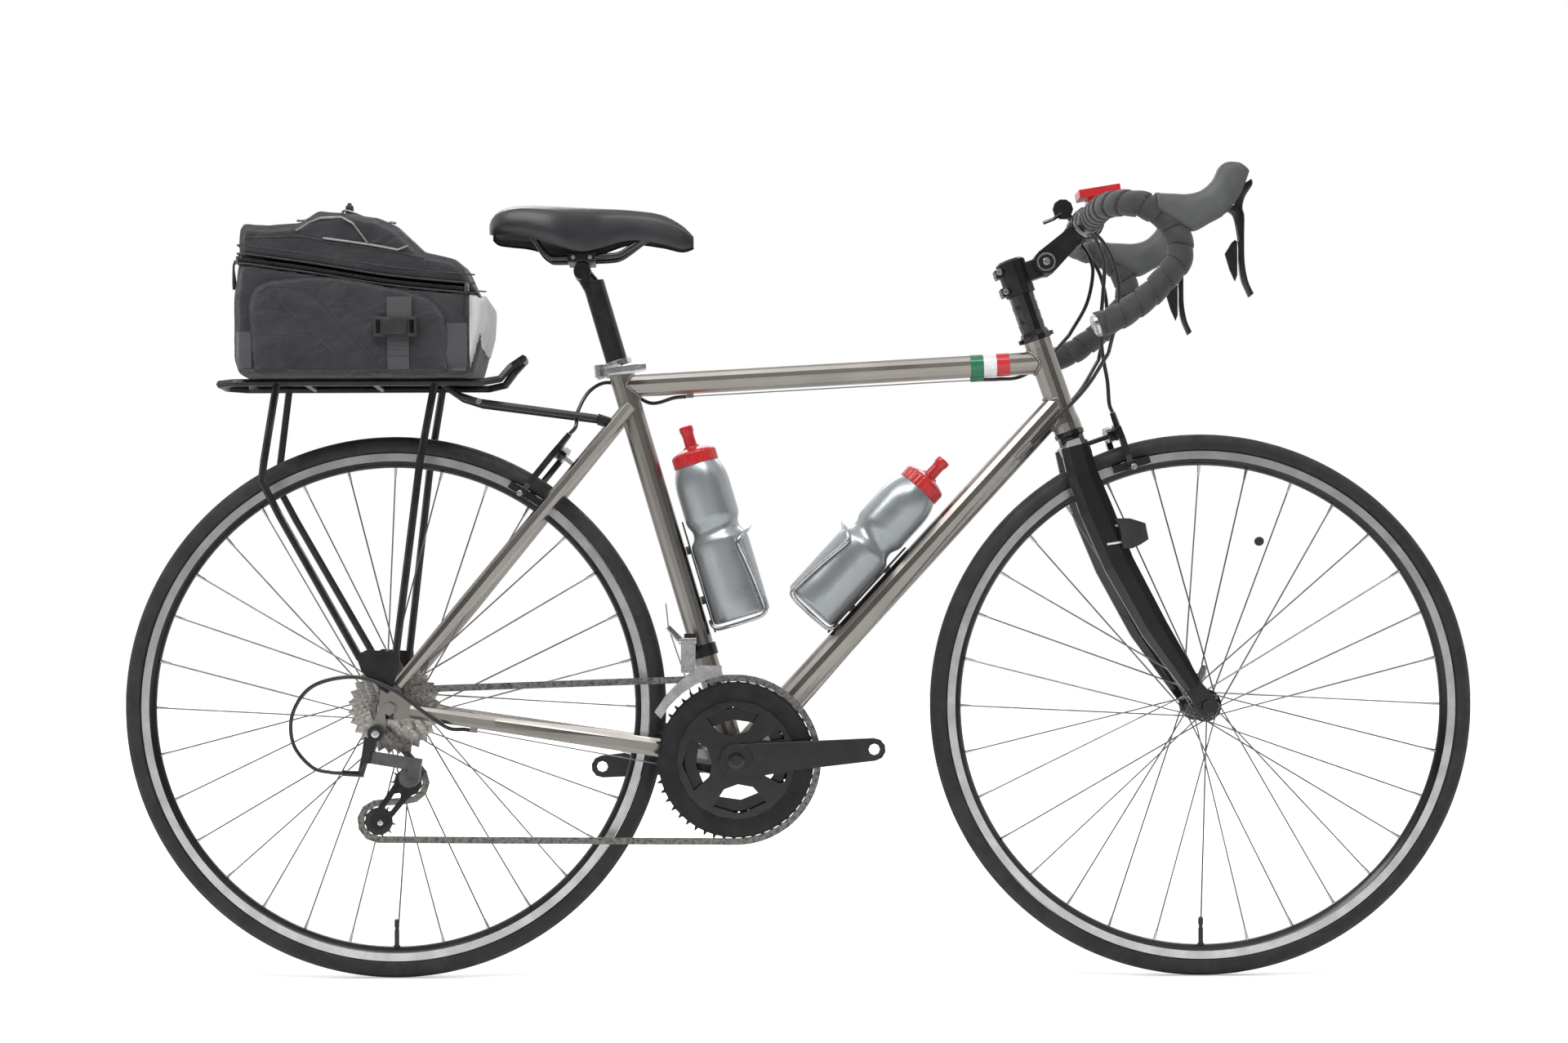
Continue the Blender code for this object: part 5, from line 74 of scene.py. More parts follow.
LENS = 62.3
SENSOR_WIDTH = 36.0
CAMERA_SHIFT = (0.0469, 0.0695)
CAMERA_PLACE = (-0.1095, -3.4, 0.4333)
CAMERA_ROLL = 0.18
VIEW_REACH = 60
FLOOR_REACH = 14.0
FLOOR_COLOUR = (0.82, 0.82, 0.82, 1)
FLOOR_GLOW = 0.36
GLOW_FADES_FROM = 1.0
GLOW_FADES_TO = 2.4
WORLD_LEVEL = 0.85
WORLD_BLUE = 1.01
WHITE = (1.0, 1.0, 1.0, 1)
# Degrees up from the horizon behind the camera, where 90 is overhead and 180 the backdrop, with a level
ROOM_LEVELS = ((-100, 0.95), (-70, 0.45), (5, 0.36), (14, 0.1), (48, 0.08), (62, 0.95), (140, 1.0))


def add_node(tree, kind, **values):
    """A shader node with its sockets and settings given by name, an underscore for each space."""
    made = tree.nodes.new("ShaderNode" + kind)
    for key, value in values.items():
        socket = key.replace("_", " ")
        if socket in made.inputs:
            made.inputs[socket].default_value = value
        else:
            setattr(made, key, value)
    return made


def calculated(tree, operation, *values):
    """The outcome of a Math node, each value a number or another node's output."""
    made = add_node(tree, "Math", operation=operation)
    for socket, value in zip(made.inputs, values):
        if isinstance(value, bpy.types.NodeSocket):
            tree.links.new(value, socket)
        else:
            socket.default_value = value
    return made.outputs[0]


def add_object(name, data):
    obj = bpy.data.objects.new(name, data)
    bpy.context.scene.collection.objects.link(obj)
    return obj


def set_camera():
    data = bpy.data.cameras.new("camera")
    data.lens = LENS
    data.sensor_width = SENSOR_WIDTH
    data.shift_x, data.shift_y = CAMERA_SHIFT
    data.clip_end = VIEW_REACH
    camera = add_object("camera", data)
    camera.location = CAMERA_PLACE
    camera.rotation_euler = (math.radians(90), math.radians(CAMERA_ROLL), 0)
    bpy.context.scene.camera = camera


def area_light(name, location, target, size, power, mirrored=True):
    """A rectangular lamp; metal and gloss don't mirror a fill lamp."""
    data = bpy.data.lights.new(name, "AREA")
    data.shape = "RECTANGLE"
    data.size, data.size_y = size
    data.energy = power
    light = add_object(name, data)
    light.location = location
    direction = Vector(target) - Vector(location)
    light.rotation_euler = direction.to_track_quat("-Z", "Y").to_euler()
    light.visible_glossy = mirrored


def set_world():
    """A white backdrop behind and overhead, and a dim room behind the camera."""
    world = bpy.data.worlds.new("studio")
    bpy.context.scene.world = world
    world.use_nodes = True
    tree = world.node_tree
    tree.nodes.clear()
    link = tree.links.new
    split = add_node(tree, "SeparateXYZ")
    link(add_node(tree, "TexCoord").outputs["Generated"], split.inputs[0])
    ahead = calculated(tree, "MULTIPLY", split.outputs["Y"], -1.0)
    climb = calculated(tree, "ARCTAN2", split.outputs["Z"], ahead)
    ramp = add_node(tree, "ValToRGB")
    link(calculated(tree, "MULTIPLY_ADD", climb, 0.5 / math.pi, 0.5), ramp.inputs["Fac"])
    stops = ramp.color_ramp.elements
    stops[0].position, stops[0].color = 0.0, WHITE
    stops[1].position, stops[1].color = 1.0, WHITE
    for degrees, level in ROOM_LEVELS:
        stops.new(0.5 + degrees / 360).color = (level, level, level * WORLD_BLUE, 1)
    lit = add_node(tree, "Background", Strength=WORLD_LEVEL)
    link(ramp.outputs["Color"], lit.inputs["Color"])
    shown = add_node(tree, "Background", Color=WHITE, Strength=1.0)
    mix = add_node(tree, "MixShader")
    link(add_node(tree, "LightPath").outputs["Is Camera Ray"], mix.inputs["Fac"])
    link(lit.outputs[0], mix.inputs[1])
    link(shown.outputs[0], mix.inputs[2])
    link(mix.outputs[0], add_node(tree, "OutputWorld").inputs["Surface"])


def make_floor():
    """A matt floor that keeps the shadow; to the camera it glows, and is white far from the bicycle."""
    mesh = bpy.data.meshes.new("floor")
    reach = FLOOR_REACH
    corners = [(-reach, -reach, 0), (reach, -reach, 0), (reach, reach, 0), (-reach, reach, 0)]
    mesh.from_pydata(corners, [], [(0, 1, 2, 3)])
    floor = add_object("floor", mesh)
    material = bpy.data.materials.new("floor")
    material.use_nodes = True
    tree = material.node_tree
    tree.nodes.clear()
    link = tree.links.new
    away = add_node(tree, "VectorMath", operation="LENGTH")
    link(add_node(tree, "NewGeometry").outputs["Position"], away.inputs[0])
    fade = add_node(
        tree, "MapRange", From_Min=GLOW_FADES_FROM, From_Max=GLOW_FADES_TO, To_Min=FLOOR_GLOW, To_Max=1.0
    )
    link(away.outputs["Value"], fade.inputs["Value"])
    seen = add_node(tree, "LightPath").outputs["Is Camera Ray"]
    glow = add_node(tree, "Emission")
    link(calculated(tree, "MULTIPLY", seen, fade.outputs["Result"]), glow.inputs["Strength"])
    both = add_node(tree, "AddShader")
    link(add_node(tree, "BsdfDiffuse", Color=FLOOR_COLOUR).outputs[0], both.inputs[0])
    link(glow.outputs[0], both.inputs[1])
    link(both.outputs[0], add_node(tree, "OutputMaterial").inputs["Surface"])
    mesh.materials.append(material)


bpy.context.scene.view_settings.view_transform = "Standard"
set_camera()
set_world()
make_floor()
area_light("key", (-0.5, -1.5, 3.0), (0.0, 0.0, 0.4), (3.2, 0.9), 60)
area_light("front", (1.1, -3.6, 0.9), (0.0, 0.0, 0.5), (0.7, 2.2), 26, mirrored=False)
area_light("side", (-2.6, -2.6, 1.0), (0.0, 0.0, 0.5), (0.6, 2.0), 20, mirrored=False)
area_light("back", (0.3, 2.4, 2.4), (0.0, 0.0, 0.5), (3.0, 1.0), 30)


# Materials

LOOK = {}


class Surface:
    """A procedural material: a shader whose colour, roughness and relief come from its nodes."""

    def __init__(self, name, colour, roughness, metallic, more):
        self.material = bpy.data.materials.new(name)
        self.material.use_nodes = True
        self.tree = self.material.node_tree
        self.link = self.tree.links.new
        self.shader = self.tree.nodes["Principled BSDF"]
        values = {"Base_Color": (*colour, 1), "Roughness": roughness, "Metallic": metallic, **more}
        for key, value in values.items():
            self.shader.inputs[key.replace("_", " ")].default_value = value
        self.place = self.node("TexCoord").outputs["Object"]
        self.normal = None

    def node(self, kind, **values):
        return add_node(self.tree, kind, **values)

    def placed(self, made, stretch=(1, 1, 1)):
        """Lay a texture node over the object, and give the node back."""
        mapping = self.node("Mapping", Scale=stretch)
        self.link(self.place, mapping.inputs["Vector"])
        self.link(mapping.outputs["Vector"], made.inputs["Vector"])
        return made

    def noise(self, scale, detail, stretch=(1, 1, 1), distortion=0.0):
        made = self.node("TexNoise", Scale=scale, Detail=detail, Distortion=distortion)
        return self.placed(made, stretch).outputs["Fac"]

    def cells(self, scale):
        return self.placed(self.node("TexVoronoi", feature="F1", Scale=scale)).outputs["Distance"]

    def wave(self, scale, direction):
        return self.placed(self.node("TexWave", bands_direction=direction, Scale=scale)).outputs["Fac"]

    def weave(self, scale, first, second):
        return calculated(self.tree, "ADD", self.wave(scale, first), self.wave(scale, second))

    def ranged(self, value, low, high, start=0.3, end=0.7):
        made = self.node("MapRange", From_Min=start, From_Max=end, To_Min=low, To_Max=high)
        self.link(value, made.inputs["Value"])
        return made.outputs["Result"]

    def tint(self, value, other, start=0.35, end=0.65):
        """Mix the base colour towards another where value is high."""
        mix = self.node("Mix", data_type="RGBA")
        self.link(self.ranged(value, 0.0, 1.0, start, end), mix.inputs["Factor"])
        source = self.shader.inputs["Base Color"]
        mix.inputs["A"].default_value = source.default_value
        mix.inputs["B"].default_value = (*other, 1)
        self.link(mix.outputs["Result"], source)
        return self

    def bump(self, value, strength, distance):
        made = self.node("Bump", Strength=strength, Distance=distance)
        self.link(value, made.inputs["Height"])
        if self.normal is not None:
            self.link(self.normal, made.inputs["Normal"])
        self.normal = made.outputs["Normal"]
        self.link(self.normal, self.shader.inputs["Normal"])
        return self

    def stain(self, scale, detail, other, start=0.35, end=0.65, **more):
        """Tint in clouds."""
        return self.tint(self.noise(scale, detail, **more), other, start, end)

    def wear(self, scale, detail, low, high, **more):
        """Let the roughness wander between low and high."""
        value = self.ranged(self.noise(scale, detail, **more), low, high)
        self.link(value, self.shader.inputs["Roughness"])
        return self

    def grain(self, scale, detail, strength, distance, **more):
        """Bump in clouds."""
        return self.bump(self.noise(scale, detail, **more), strength, distance)


def look(key, name, colour, roughness, metallic=0.0, coat=None, **more):
    """Make a material; coat is the weight and the roughness of its clear coat."""
    if coat:
        more["Coat_Weight"], more["Coat_Roughness"] = coat
    LOOK[key] = Surface(name, colour, roughness, metallic, more)
    return LOOK[key]


def make_metals():
    s = look("titanium", "titanium_brushed", (0.325, 0.303, 0.275), 0.3, 1.0)
    s.stain(9, 4, (0.4, 0.378, 0.35), 0.3, 0.75, distortion=0.6)
    s.wear(12, 2, 0.28, 0.33).grain(240, 2, 0.05, 0.0001)
    s = look("weld", "titanium_weld", (0.33, 0.31, 0.29), 0.33, 1.0)
    s.stain(160, 3, (0.24, 0.22, 0.24), 0.4, 0.7).grain(420, 2, 0.25, 0.0003)
    s = look("black_metal", "black_anodised", (0.016, 0.016, 0.017), 0.34, 0.45)
    s.stain(45, 3, (0.026, 0.026, 0.028)).wear(140, 3, 0.27, 0.42).grain(1100, 2, 0.12, 0.00008)
    s = look("black_gloss", "black_gloss_alloy", (0.012, 0.012, 0.013), 0.2, 0.35, coat=(0.5, 0.1))
    s.stain(70, 3, (0.02, 0.02, 0.021)).grain(600, 2, 0.06, 0.00008)
    s = look("polished_metal", "polished_alloy", (0.72, 0.72, 0.72), 0.22, 1.0)
    s.stain(80, 3, (0.55, 0.55, 0.56)).wear(260, 3, 0.15, 0.32, stretch=(1, 4, 1))
    s.grain(1400, 2, 0.08, 0.00006)
    s = look("cog_steel", "cog_steel", (0.55, 0.53, 0.49), 0.3, 1.0)
    s.stain(170, 3, (0.3, 0.28, 0.25), 0.45, 0.75).wear(300, 3, 0.22, 0.42).grain(1500, 2, 0.12, 0.00008)
    s = look("chain_steel", "chain_steel", (0.3, 0.285, 0.265), 0.34, 1.0)
    s.stain(240, 3, (0.1, 0.092, 0.085), 0.42, 0.7).wear(420, 3, 0.25, 0.48).grain(1600, 2, 0.15, 0.0001)
    s = look("steel", "spoke_steel", (0.17, 0.17, 0.18), 0.3, 1.0)
    s.stain(90, 2, (0.26, 0.26, 0.27)).grain(1500, 1, 0.05, 0.0002)
    s = look("rim_black", "rim_black", (0.012, 0.012, 0.013), 0.26, 0.4, coat=(0.3, 0.15))
    s.stain(30, 3, (0.02, 0.02, 0.021)).grain(500, 2, 0.06, 0.00008)
    s = look("brake_track", "brake_track", (0.78, 0.78, 0.78), 0.3, 1.0)
    s.stain(40, 4, (0.62, 0.62, 0.62)).grain(2600, 2, 0.22, 0.00008)
    s = look("wire", "bare_wire", (0.42, 0.42, 0.42), 0.3, 1.0)
    s.tint(s.wave(900, "DIAGONAL"), (0.2, 0.2, 0.2), 0.2, 0.8).bump(s.wave(900, "DIAGONAL"), 0.5, 0.0002)


def make_rubber_and_cloth():
    s = look("tyre_rubber", "tyre_rubber", (0.016, 0.016, 0.017), 0.62)
    s.stain(26, 4, (0.03, 0.029, 0.029), 0.45, 0.8).wear(90, 3, 0.52, 0.74).grain(1300, 3, 0.3, 0.0005)
    s = look("bar_tape", "bar_tape", (0.032, 0.032, 0.033), 0.78, Sheen_Weight=0.25)
    s.stain(60, 4, (0.048, 0.047, 0.047)).bump(s.cells(1500), 0.55, 0.0006).grain(240, 3, 0.2, 0.0006)
    s = look("hood_rubber", "hood_rubber", (0.07, 0.073, 0.074), 0.58)
    s.stain(34, 4, (0.092, 0.095, 0.096)).grain(1700, 2, 0.25, 0.0004)
    s = look("saddle_cover", "saddle_cover", (0.018, 0.019, 0.021), 0.36, coat=(0.15, 0.3))
    s.stain(18, 4, (0.03, 0.031, 0.033)).bump(s.cells(900), 0.35, 0.0005).grain(380, 3, 0.22, 0.0005)
    s = look("bag_fabric", "bag_nylon", (0.021, 0.022, 0.025), 0.7, Sheen_Weight=0.25, Sheen_Roughness=0.4)
    s.stain(22, 5, (0.04, 0.042, 0.047), 0.35, 0.8).bump(s.weave(900, "X", "Z"), 0.55, 0.0004)
    s.grain(70, 4, 0.45, 0.0022).grain(20, 3, 0.55, 0.011, stretch=(1, 1, 1.6), distortion=1.4)
    s = look("webbing", "bag_webbing", (0.036, 0.037, 0.041), 0.66, Sheen_Weight=0.35)
    s.tint(s.wave(420, "Z"), (0.07, 0.072, 0.078), 0.2, 0.8).bump(s.wave(420, "Z"), 0.7, 0.0005)
    s = look("grey_panel", "bag_grey_panel", (0.5, 0.5, 0.495), 0.7, Sheen_Weight=0.3)
    s.stain(40, 4, (0.6, 0.6, 0.595)).bump(s.weave(800, "Y", "Z"), 0.45, 0.0004)
    s = look("piping", "piping", (0.03, 0.03, 0.032), 0.5)
    s.stain(300, 3, (0.06, 0.06, 0.064)).bump(s.wave(700, "X"), 0.5, 0.0004)


def make_paint_and_plastics():
    s = look("black_paint", "gloss_black_paint", (0.01, 0.01, 0.011), 0.16, coat=(0.35, 0.06))
    s.stain(5, 3, (0.016, 0.016, 0.018)).grain(220, 2, 0.05, 0.0001)
    s = look("bottle_plastic", "bottle_silver", (0.33, 0.355, 0.37), 0.28, 0.65, coat=(0.25, 0.12))
    s.stain(2400, 2, (0.46, 0.49, 0.5), 0.45, 0.7).wear(30, 3, 0.24, 0.36)
    s = look("bottle_red", "bottle_red", (0.5, 0.018, 0.022), 0.3, Coat_Weight=0.2, Subsurface_Weight=0.08)
    s.stain(60, 3, (0.4, 0.012, 0.016)).grain(600, 2, 0.08, 0.0003)
    s = look("red_plastic", "device_red", (0.62, 0.012, 0.02), 0.24, coat=(0.5, 0.08))
    s.stain(40, 3, (0.52, 0.01, 0.016)).grain(900, 2, 0.05, 0.0002)
    s = look("cable_housing", "housing_black", (0.01, 0.01, 0.01), 0.28, coat=(0.3, 0.1))
    s.stain(60, 2, (0.018, 0.018, 0.018)).grain(800, 2, 0.08, 0.0003)
    s = look("moulded", "moulded_black", (0.018, 0.018, 0.019), 0.48)
    s.stain(60, 3, (0.03, 0.03, 0.031)).grain(1200, 3, 0.22, 0.0004)
    s = look("grey_plastic", "moulded_grey", (0.06, 0.06, 0.062), 0.42)
    s.stain(60, 3, (0.085, 0.085, 0.088)).grain(1200, 3, 0.2, 0.0004)
    s = look("white_nylon", "white_nylon", (0.78, 0.78, 0.76), 0.42)
    s.stain(90, 3, (0.7, 0.7, 0.68)).bump(s.wave(700, "Z"), 0.2, 0.0002)
    stripes = {"green": (0.01, 0.17, 0.075), "white": (0.8, 0.8, 0.78), "red": (0.55, 0.02, 0.025)}
    for name, colour in stripes.items():
        s = look("band_" + name, "band_" + name, colour, 0.32, Coat_Weight=0.4)
        s.stain(120, 3, [level * 0.88 for level in colour]).grain(900, 2, 0.08, 0.0002)


make_metals()
make_rubber_and_cloth()
make_paint_and_plastics()


# Mesh helpers


def soften_edges(obj, width, angle):
    made = obj.modifiers.new("edges", "BEVEL")
    made.width = width
    made.segments = 2
    made.limit_method = "ANGLE"
    made.angle_limit = math.radians(angle)


def piece(name, mesh, look, body, replaces=(), slot=None, sharp=32, bevel=0.0):
    """Put a mesh made in the part's frame into the scene, riding on a body if one is named."""
    mesh.materials.clear()
    mesh.materials.append(LOOK[look].material)
    mesh.shade_smooth()
    if sharp:
        mesh.set_sharp_from_angle(angle=math.radians(sharp))
    obj = add_object(name, mesh)
    if bevel:
        soften_edges(obj, bevel, 35)
    if replaces:
        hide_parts(*replaces)
    if body:
        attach(obj, body)
    return obj


def polished(name, mesh, body, **more):
    return piece(name, mesh, "polished_metal", body, slot="polished_metal", **more)


def sewn(name, mesh, look, body, sharp=0, **more):
    return piece(name, mesh, look, body, slot="bag_fabric", sharp=sharp, **more)


def turns(count):
    """The angles of count points round a circle."""
    return [2 * math.pi * i / count for i in range(count)]


def polar(radius, angle, height=0.0):
    return Vector((radius * math.cos(angle), radius * math.sin(angle), height))


def mesh_of(bm, name="made"):
    mesh = bpy.data.meshes.new(name)
    bm.to_mesh(mesh)
    bm.free()
    return mesh


def from_bmesh(bm):
    bmesh.ops.remove_doubles(bm, verts=bm.verts, dist=1e-7)
    bmesh.ops.recalc_face_normals(bm, faces=bm.faces)
    return mesh_of(bm)


def joined(meshes):
    bm = bmesh.new()
    for mesh in meshes:
        bm.from_mesh(mesh)
    return mesh_of(bm)


def facing(origin, z_axis, x_hint=ACROSS):
    z = Vector(z_axis).normalized()
    x = Vector(x_hint) - z * Vector(x_hint).dot(z)
    if x.length < 1e-6:
        x = z.orthogonal()
    x.normalize()
    matrix = Matrix((x, z.cross(x), z)).transposed().to_4x4()
    matrix.translation = Vector(origin)
    return matrix


def loft(rings, looped=False):
    bm = bmesh.new()
    rows = [[bm.verts.new(p) for p in ring] for ring in rings]
    count = len(rows[0])
    pairs = list(zip(rows, rows[1:]))
    if looped:
        pairs.append((rows[-1], rows[0]))
    for low, high in pairs:
        for i in range(count):
            k = (i + 1) % count
            bm.faces.new((low[i], low[k], high[k], high[i]))
    if not looped:
        bm.faces.new(rows[0][::-1])
        bm.faces.new(rows[-1])
    return from_bmesh(bm)


def turned(profile, matrix, segments=48):
    """Turn (radius, height) points about the matrix's Z; a radius of zero closes an end."""
    bm = bmesh.new()
    rows = []
    for radius, height in profile:
        angles = turns(segments) if radius else [0.0]
        rows.append([bm.verts.new(matrix @ polar(radius, angle, height)) for angle in angles])
    for low, high in zip(rows, rows[1:]):
        for i in range(segments):
            k = (i + 1) % segments
            corners = (low[i % len(low)], low[k % len(low)], high[k % len(high)], high[i % len(high)])
            corners = list(dict.fromkeys(corners))
            if len(corners) > 2:
                bm.faces.new(corners)
    return from_bmesh(bm)


def ring_turned(profile, matrix, segments=48):
    """Turn a closed profile that doesn't reach the axis."""
    rings = [[matrix @ polar(r, angle, h) for r, h in profile] for angle in turns(segments)]
    return loft(rings, looped=True)


def rod(start, end, radius, end_radius=None, sides=20):
    start, end = Vector(start), Vector(end)
    length = (end - start).length
    far = radius if end_radius is None else end_radius
    return turned([(0, 0), (radius, 0), (far, length), (0, length)], facing(start, end - start), sides)


def eased(a, b, c, d, t):
    """The value a share t of the way from b to c, on the smooth curve through a, b, c and d."""
    return (b * 2 + (c - a) * t + (a * 2 - b * 5 + c * 4 - d) * t**2 + (b * 3 - a - c * 3 + d) * t**3) / 2


def smooth_path(points, steps):
    """A curve through the points, with steps parts between each two."""
    points = [Vector(p) for p in points]
    ends = [points[0] * 2 - points[1]] + points + [points[-1] * 2 - points[-2]]
    made = []
    for i in range(1, len(ends) - 2):
        made += [eased(*ends[i - 1 : i + 3], k / steps) for k in range(steps)]
    return made + [points[-1]]


def blended(values, share):
    """A smooth value between rows of numbers, share running from 0 at the first to 1 at the last."""
    place = share * (len(values) - 1)
    i = min(int(place), len(values) - 2)
    rows = (values[max(i - 1, 0)], values[i], values[i + 1], values[min(i + 2, len(values) - 1)])
    return [eased(*column, place - i) for column in zip(*rows)]


def tube(points, radius, sides=12, looped=False):
    """A round tube along points; radius is a number or a function of the share of the way."""
    points = [Vector(p) for p in points]
    last = len(points) - 1
    rings = []
    normal = None
    for i, point in enumerate(points):
        if looped:
            along = (points[(i + 1) % (last + 1)] - points[i - 1]).normalized()
        else:
            along = (points[min(i + 1, last)] - points[max(i - 1, 0)]).normalized()
        if normal is None:
            normal = along.orthogonal().normalized()
        normal = (normal - along * normal.dot(along)).normalized()
        other = along.cross(normal)
        r = radius(i / last) if callable(radius) else radius
        rings.append([point + normal * (r * math.cos(a)) + other * (r * math.sin(a)) for a in turns(sides)])
    return loft(rings, looped=looped)


def plate(outlines, thickness, matrix):
    """Flat outlines, the first outside and the rest holes, made thickness deep about the matrix's plane."""
    bm = bmesh.new()
    edges = []
    for outline in outlines:
        verts = [bm.verts.new((x, y, -thickness / 2)) for x, y in outline]
        edges += [bm.edges.new((verts[i], verts[(i + 1) % len(verts)])) for i in range(len(verts))]
    bmesh.ops.triangle_fill(bm, use_beauty=True, edges=edges)
    made = bmesh.ops.extrude_face_region(bm, geom=list(bm.faces))
    moved = [v for v in made["geom"] if isinstance(v, bmesh.types.BMVert)]
    bmesh.ops.translate(bm, verts=moved, vec=(0, 0, thickness))
    bmesh.ops.transform(bm, matrix=matrix, verts=bm.verts)
    return from_bmesh(bm)


def oblong(half_x, half_y, x=0.0, y=0.0):
    """The corners of a rectangle about (x, y)."""
    left, right, low, high = x - half_x, x + half_x, y - half_y, y + half_y
    return [(left, low), (right, low), (right, high), (left, high)]


def side_plane(y):
    """Local X is the frame's X and local Y is its Z, at y across."""
    return Matrix(((1, 0, 0, 0), (0, 0, 1, y), (0, 1, 0, 0), (0, 0, 0, 1)))


def socket_bolt(centre, axis, radius, length=0.003, sides=24):
    """A round bolt head with a hexagonal socket, seen from the end that axis points to."""
    matrix = facing(centre, axis)
    flat = math.pi / 6
    rings = []
    for width, rise in ((0.92, 0.0), (1.0, 0.15), (1.0, 0.8), (0.88, 1.0)):
        rings.append([matrix @ polar(radius * width, angle, length * rise) for angle in turns(sides)])
    for width, rise in ((0.56, 1.0), (0.54, 0.35)):
        ring = []
        for angle in turns(sides):
            reach = radius * width * math.cos(flat) / math.cos((angle % (2 * flat)) - flat)
            ring.append(matrix @ polar(reach, angle, length * rise))
        rings.append(ring)
    return loft(rings)


def evaluated(obj):
    """The mesh of an object after its modifiers."""
    bpy.context.view_layer.update()
    return bpy.data.meshes.new_from_object(obj.evaluated_get(bpy.context.evaluated_depsgraph_get()))


def cut_away(mesh, tool):
    """The mesh less the tool."""
    body, other = add_object("body", mesh), add_object("tool", tool)
    step = body.modifiers.new("cut", "BOOLEAN")
    step.operation = "DIFFERENCE"
    step.object = other
    made = evaluated(body)
    bpy.data.objects.remove(body)
    bpy.data.objects.remove(other)
    return made


def ring_between(top, bottom, y, half_across, count, squareness):
    """A rounded section whose top and bottom are (x, z) points, centred y across."""
    top, bottom = Vector((top[0], y, top[1])), Vector((bottom[0], y, bottom[1]))
    middle, high = (top + bottom) / 2, (top - bottom) / 2
    ring = []
    for i in range(count):
        angle = 2 * math.pi * (i + 0.5) / count
        c, s = math.cos(angle), math.sin(angle)
        a = math.copysign(abs(c) ** (2 / squareness), c) * half_across
        b = math.copysign(abs(s) ** (2 / squareness), s)
        ring.append(middle + ACROSS * a + high * b)
    return ring


def evenly(path, spacing):
    """Points along a path at an even spacing."""
    points = [path[0]]
    gone = 0.0
    for a, b in zip(path, path[1:]):
        length = (b - a).length
        while gone + length >= spacing * len(points):
            points.append(a.lerp(b, (spacing * len(points) - gone) / length))
        gone += length
    return points


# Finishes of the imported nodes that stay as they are

NODE_LOOKS = {
    "titanium": "head_tube top_tube down_tube seat_tube seatstays chainstays",
    "black_paint": "fork",
    "black_metal": "chainring rd_cage fd_body stem_base stem_arm seatpost rack",
    "black_gloss": "headset_spacers crank_right crank_left rd_b_knuckle front_brake_arm_left "
    "front_brake_arm_right rear_brake_arm_left rear_brake_arm_right shift_paddle_left "
    "shift_paddle_right bell",
    "polished_metal": "fd_cage seat_collar seat_qr_lever front_qr_lever rear_qr_lever",
    "chain_steel": "chain",
    "cog_steel": "cassette",
    "grey_plastic": "rd_link rd_p_knuckle",
    "moulded": "guide_pulley tension_pulley sensor",
    "red_plastic": "computer",
}
EDGE_WIDTH = 0.0005
OTHER_EDGES = {
    "chain": 0.0,
    "cassette": 0.0,
    "chainring": 0.0004,
    "crank_right": 0.0012,
    "crank_left": 0.0012,
    "rd_cage": 0.0003,
    "fd_cage": 0.0003,
}


def finish_node(name, look):
    """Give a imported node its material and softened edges."""
    obj = NODES[name]
    obj.data.materials.clear()
    obj.data.materials.append(LOOK[look].material)
    weld = obj.modifiers.new("weld", "WELD")
    weld.merge_threshold = 1e-6
    width = OTHER_EDGES.get(name, EDGE_WIDTH)
    if width:
        soften_edges(obj, width, 38)


for node_look, node_names in NODE_LOOKS.items():
    for node_name in node_names.split():
        finish_node(node_name, node_look)


# Wheels

TYRE_RADIUS = 0.3385
TYRE_HALF_WIDTH = 0.014
RIM_OUTER = 0.3178
RIM_INNER = 0.2996
RIM_HALF_WIDTH = 0.01
SPOKES = 32
SPOKE_RADIUS = 0.00095
SPOKE_STEP = 4 * math.pi / SPOKES


def both_ways(side, shared=0):
    """A profile and its mirror image, which leaves out its first shared points."""
    return side + [(r, -h) for r, h in side[::-1][shared:]]


def tyre_mesh(matrix, rounds=288):
    """A tyre with two grooves round its crown and short cuts across each shoulder."""
    middle = TYRE_RADIUS - TYRE_HALF_WIDTH
    foot = RIM_OUTER + 0.0004
    rings = []
    for i, turn in enumerate(turns(rounds)):
        outline = [(foot, 0.0088), (foot + 0.0003, 0.0104)]
        for angle in (110, 97, 84, 72, 61, 52, 47, 42, 36, 30, 25, 22, 19, 13, 5):
            depth = 0.0006 if angle == 22 else 0.0
            if angle in (47, 42, 36) and (i + angle // 5) % 8 < 2:
                depth = 0.0005
            flare = 0.0003 if angle == 97 else 0.0
            reach = TYRE_HALF_WIDTH - depth + flare
            a = math.radians(angle)
            outline.append((middle + reach * math.cos(a), min(reach * math.sin(a), TYRE_HALF_WIDTH)))
        rings.append([matrix @ polar(r, turn, h) for r, h in both_ways(outline)])
    return loft(rings, looped=True)


def spoke_line(hub, flange_y, flange_radius, index, turn):
    """A three-cross spoke from its flange hole to the rim, and which face of the flange it leaves."""
    outward = 1 if index % 2 else -1
    hole = turn + SPOKE_STEP * index
    nipple = hole + SPOKE_STEP * 3 * outward
    side = 1 if flange_y > 0 else -1
    across = side * outward
    reach = flange_radius - 0.004
    start = hub + Vector((reach * math.sin(hole), flange_y + across * 0.0024, reach * math.cos(hole)))
    reach = RIM_INNER - 0.0002
    end = hub + Vector((reach * math.sin(nipple), side * 0.0016 + across * 0.001, reach * math.cos(nipple)))
    return start, end, across


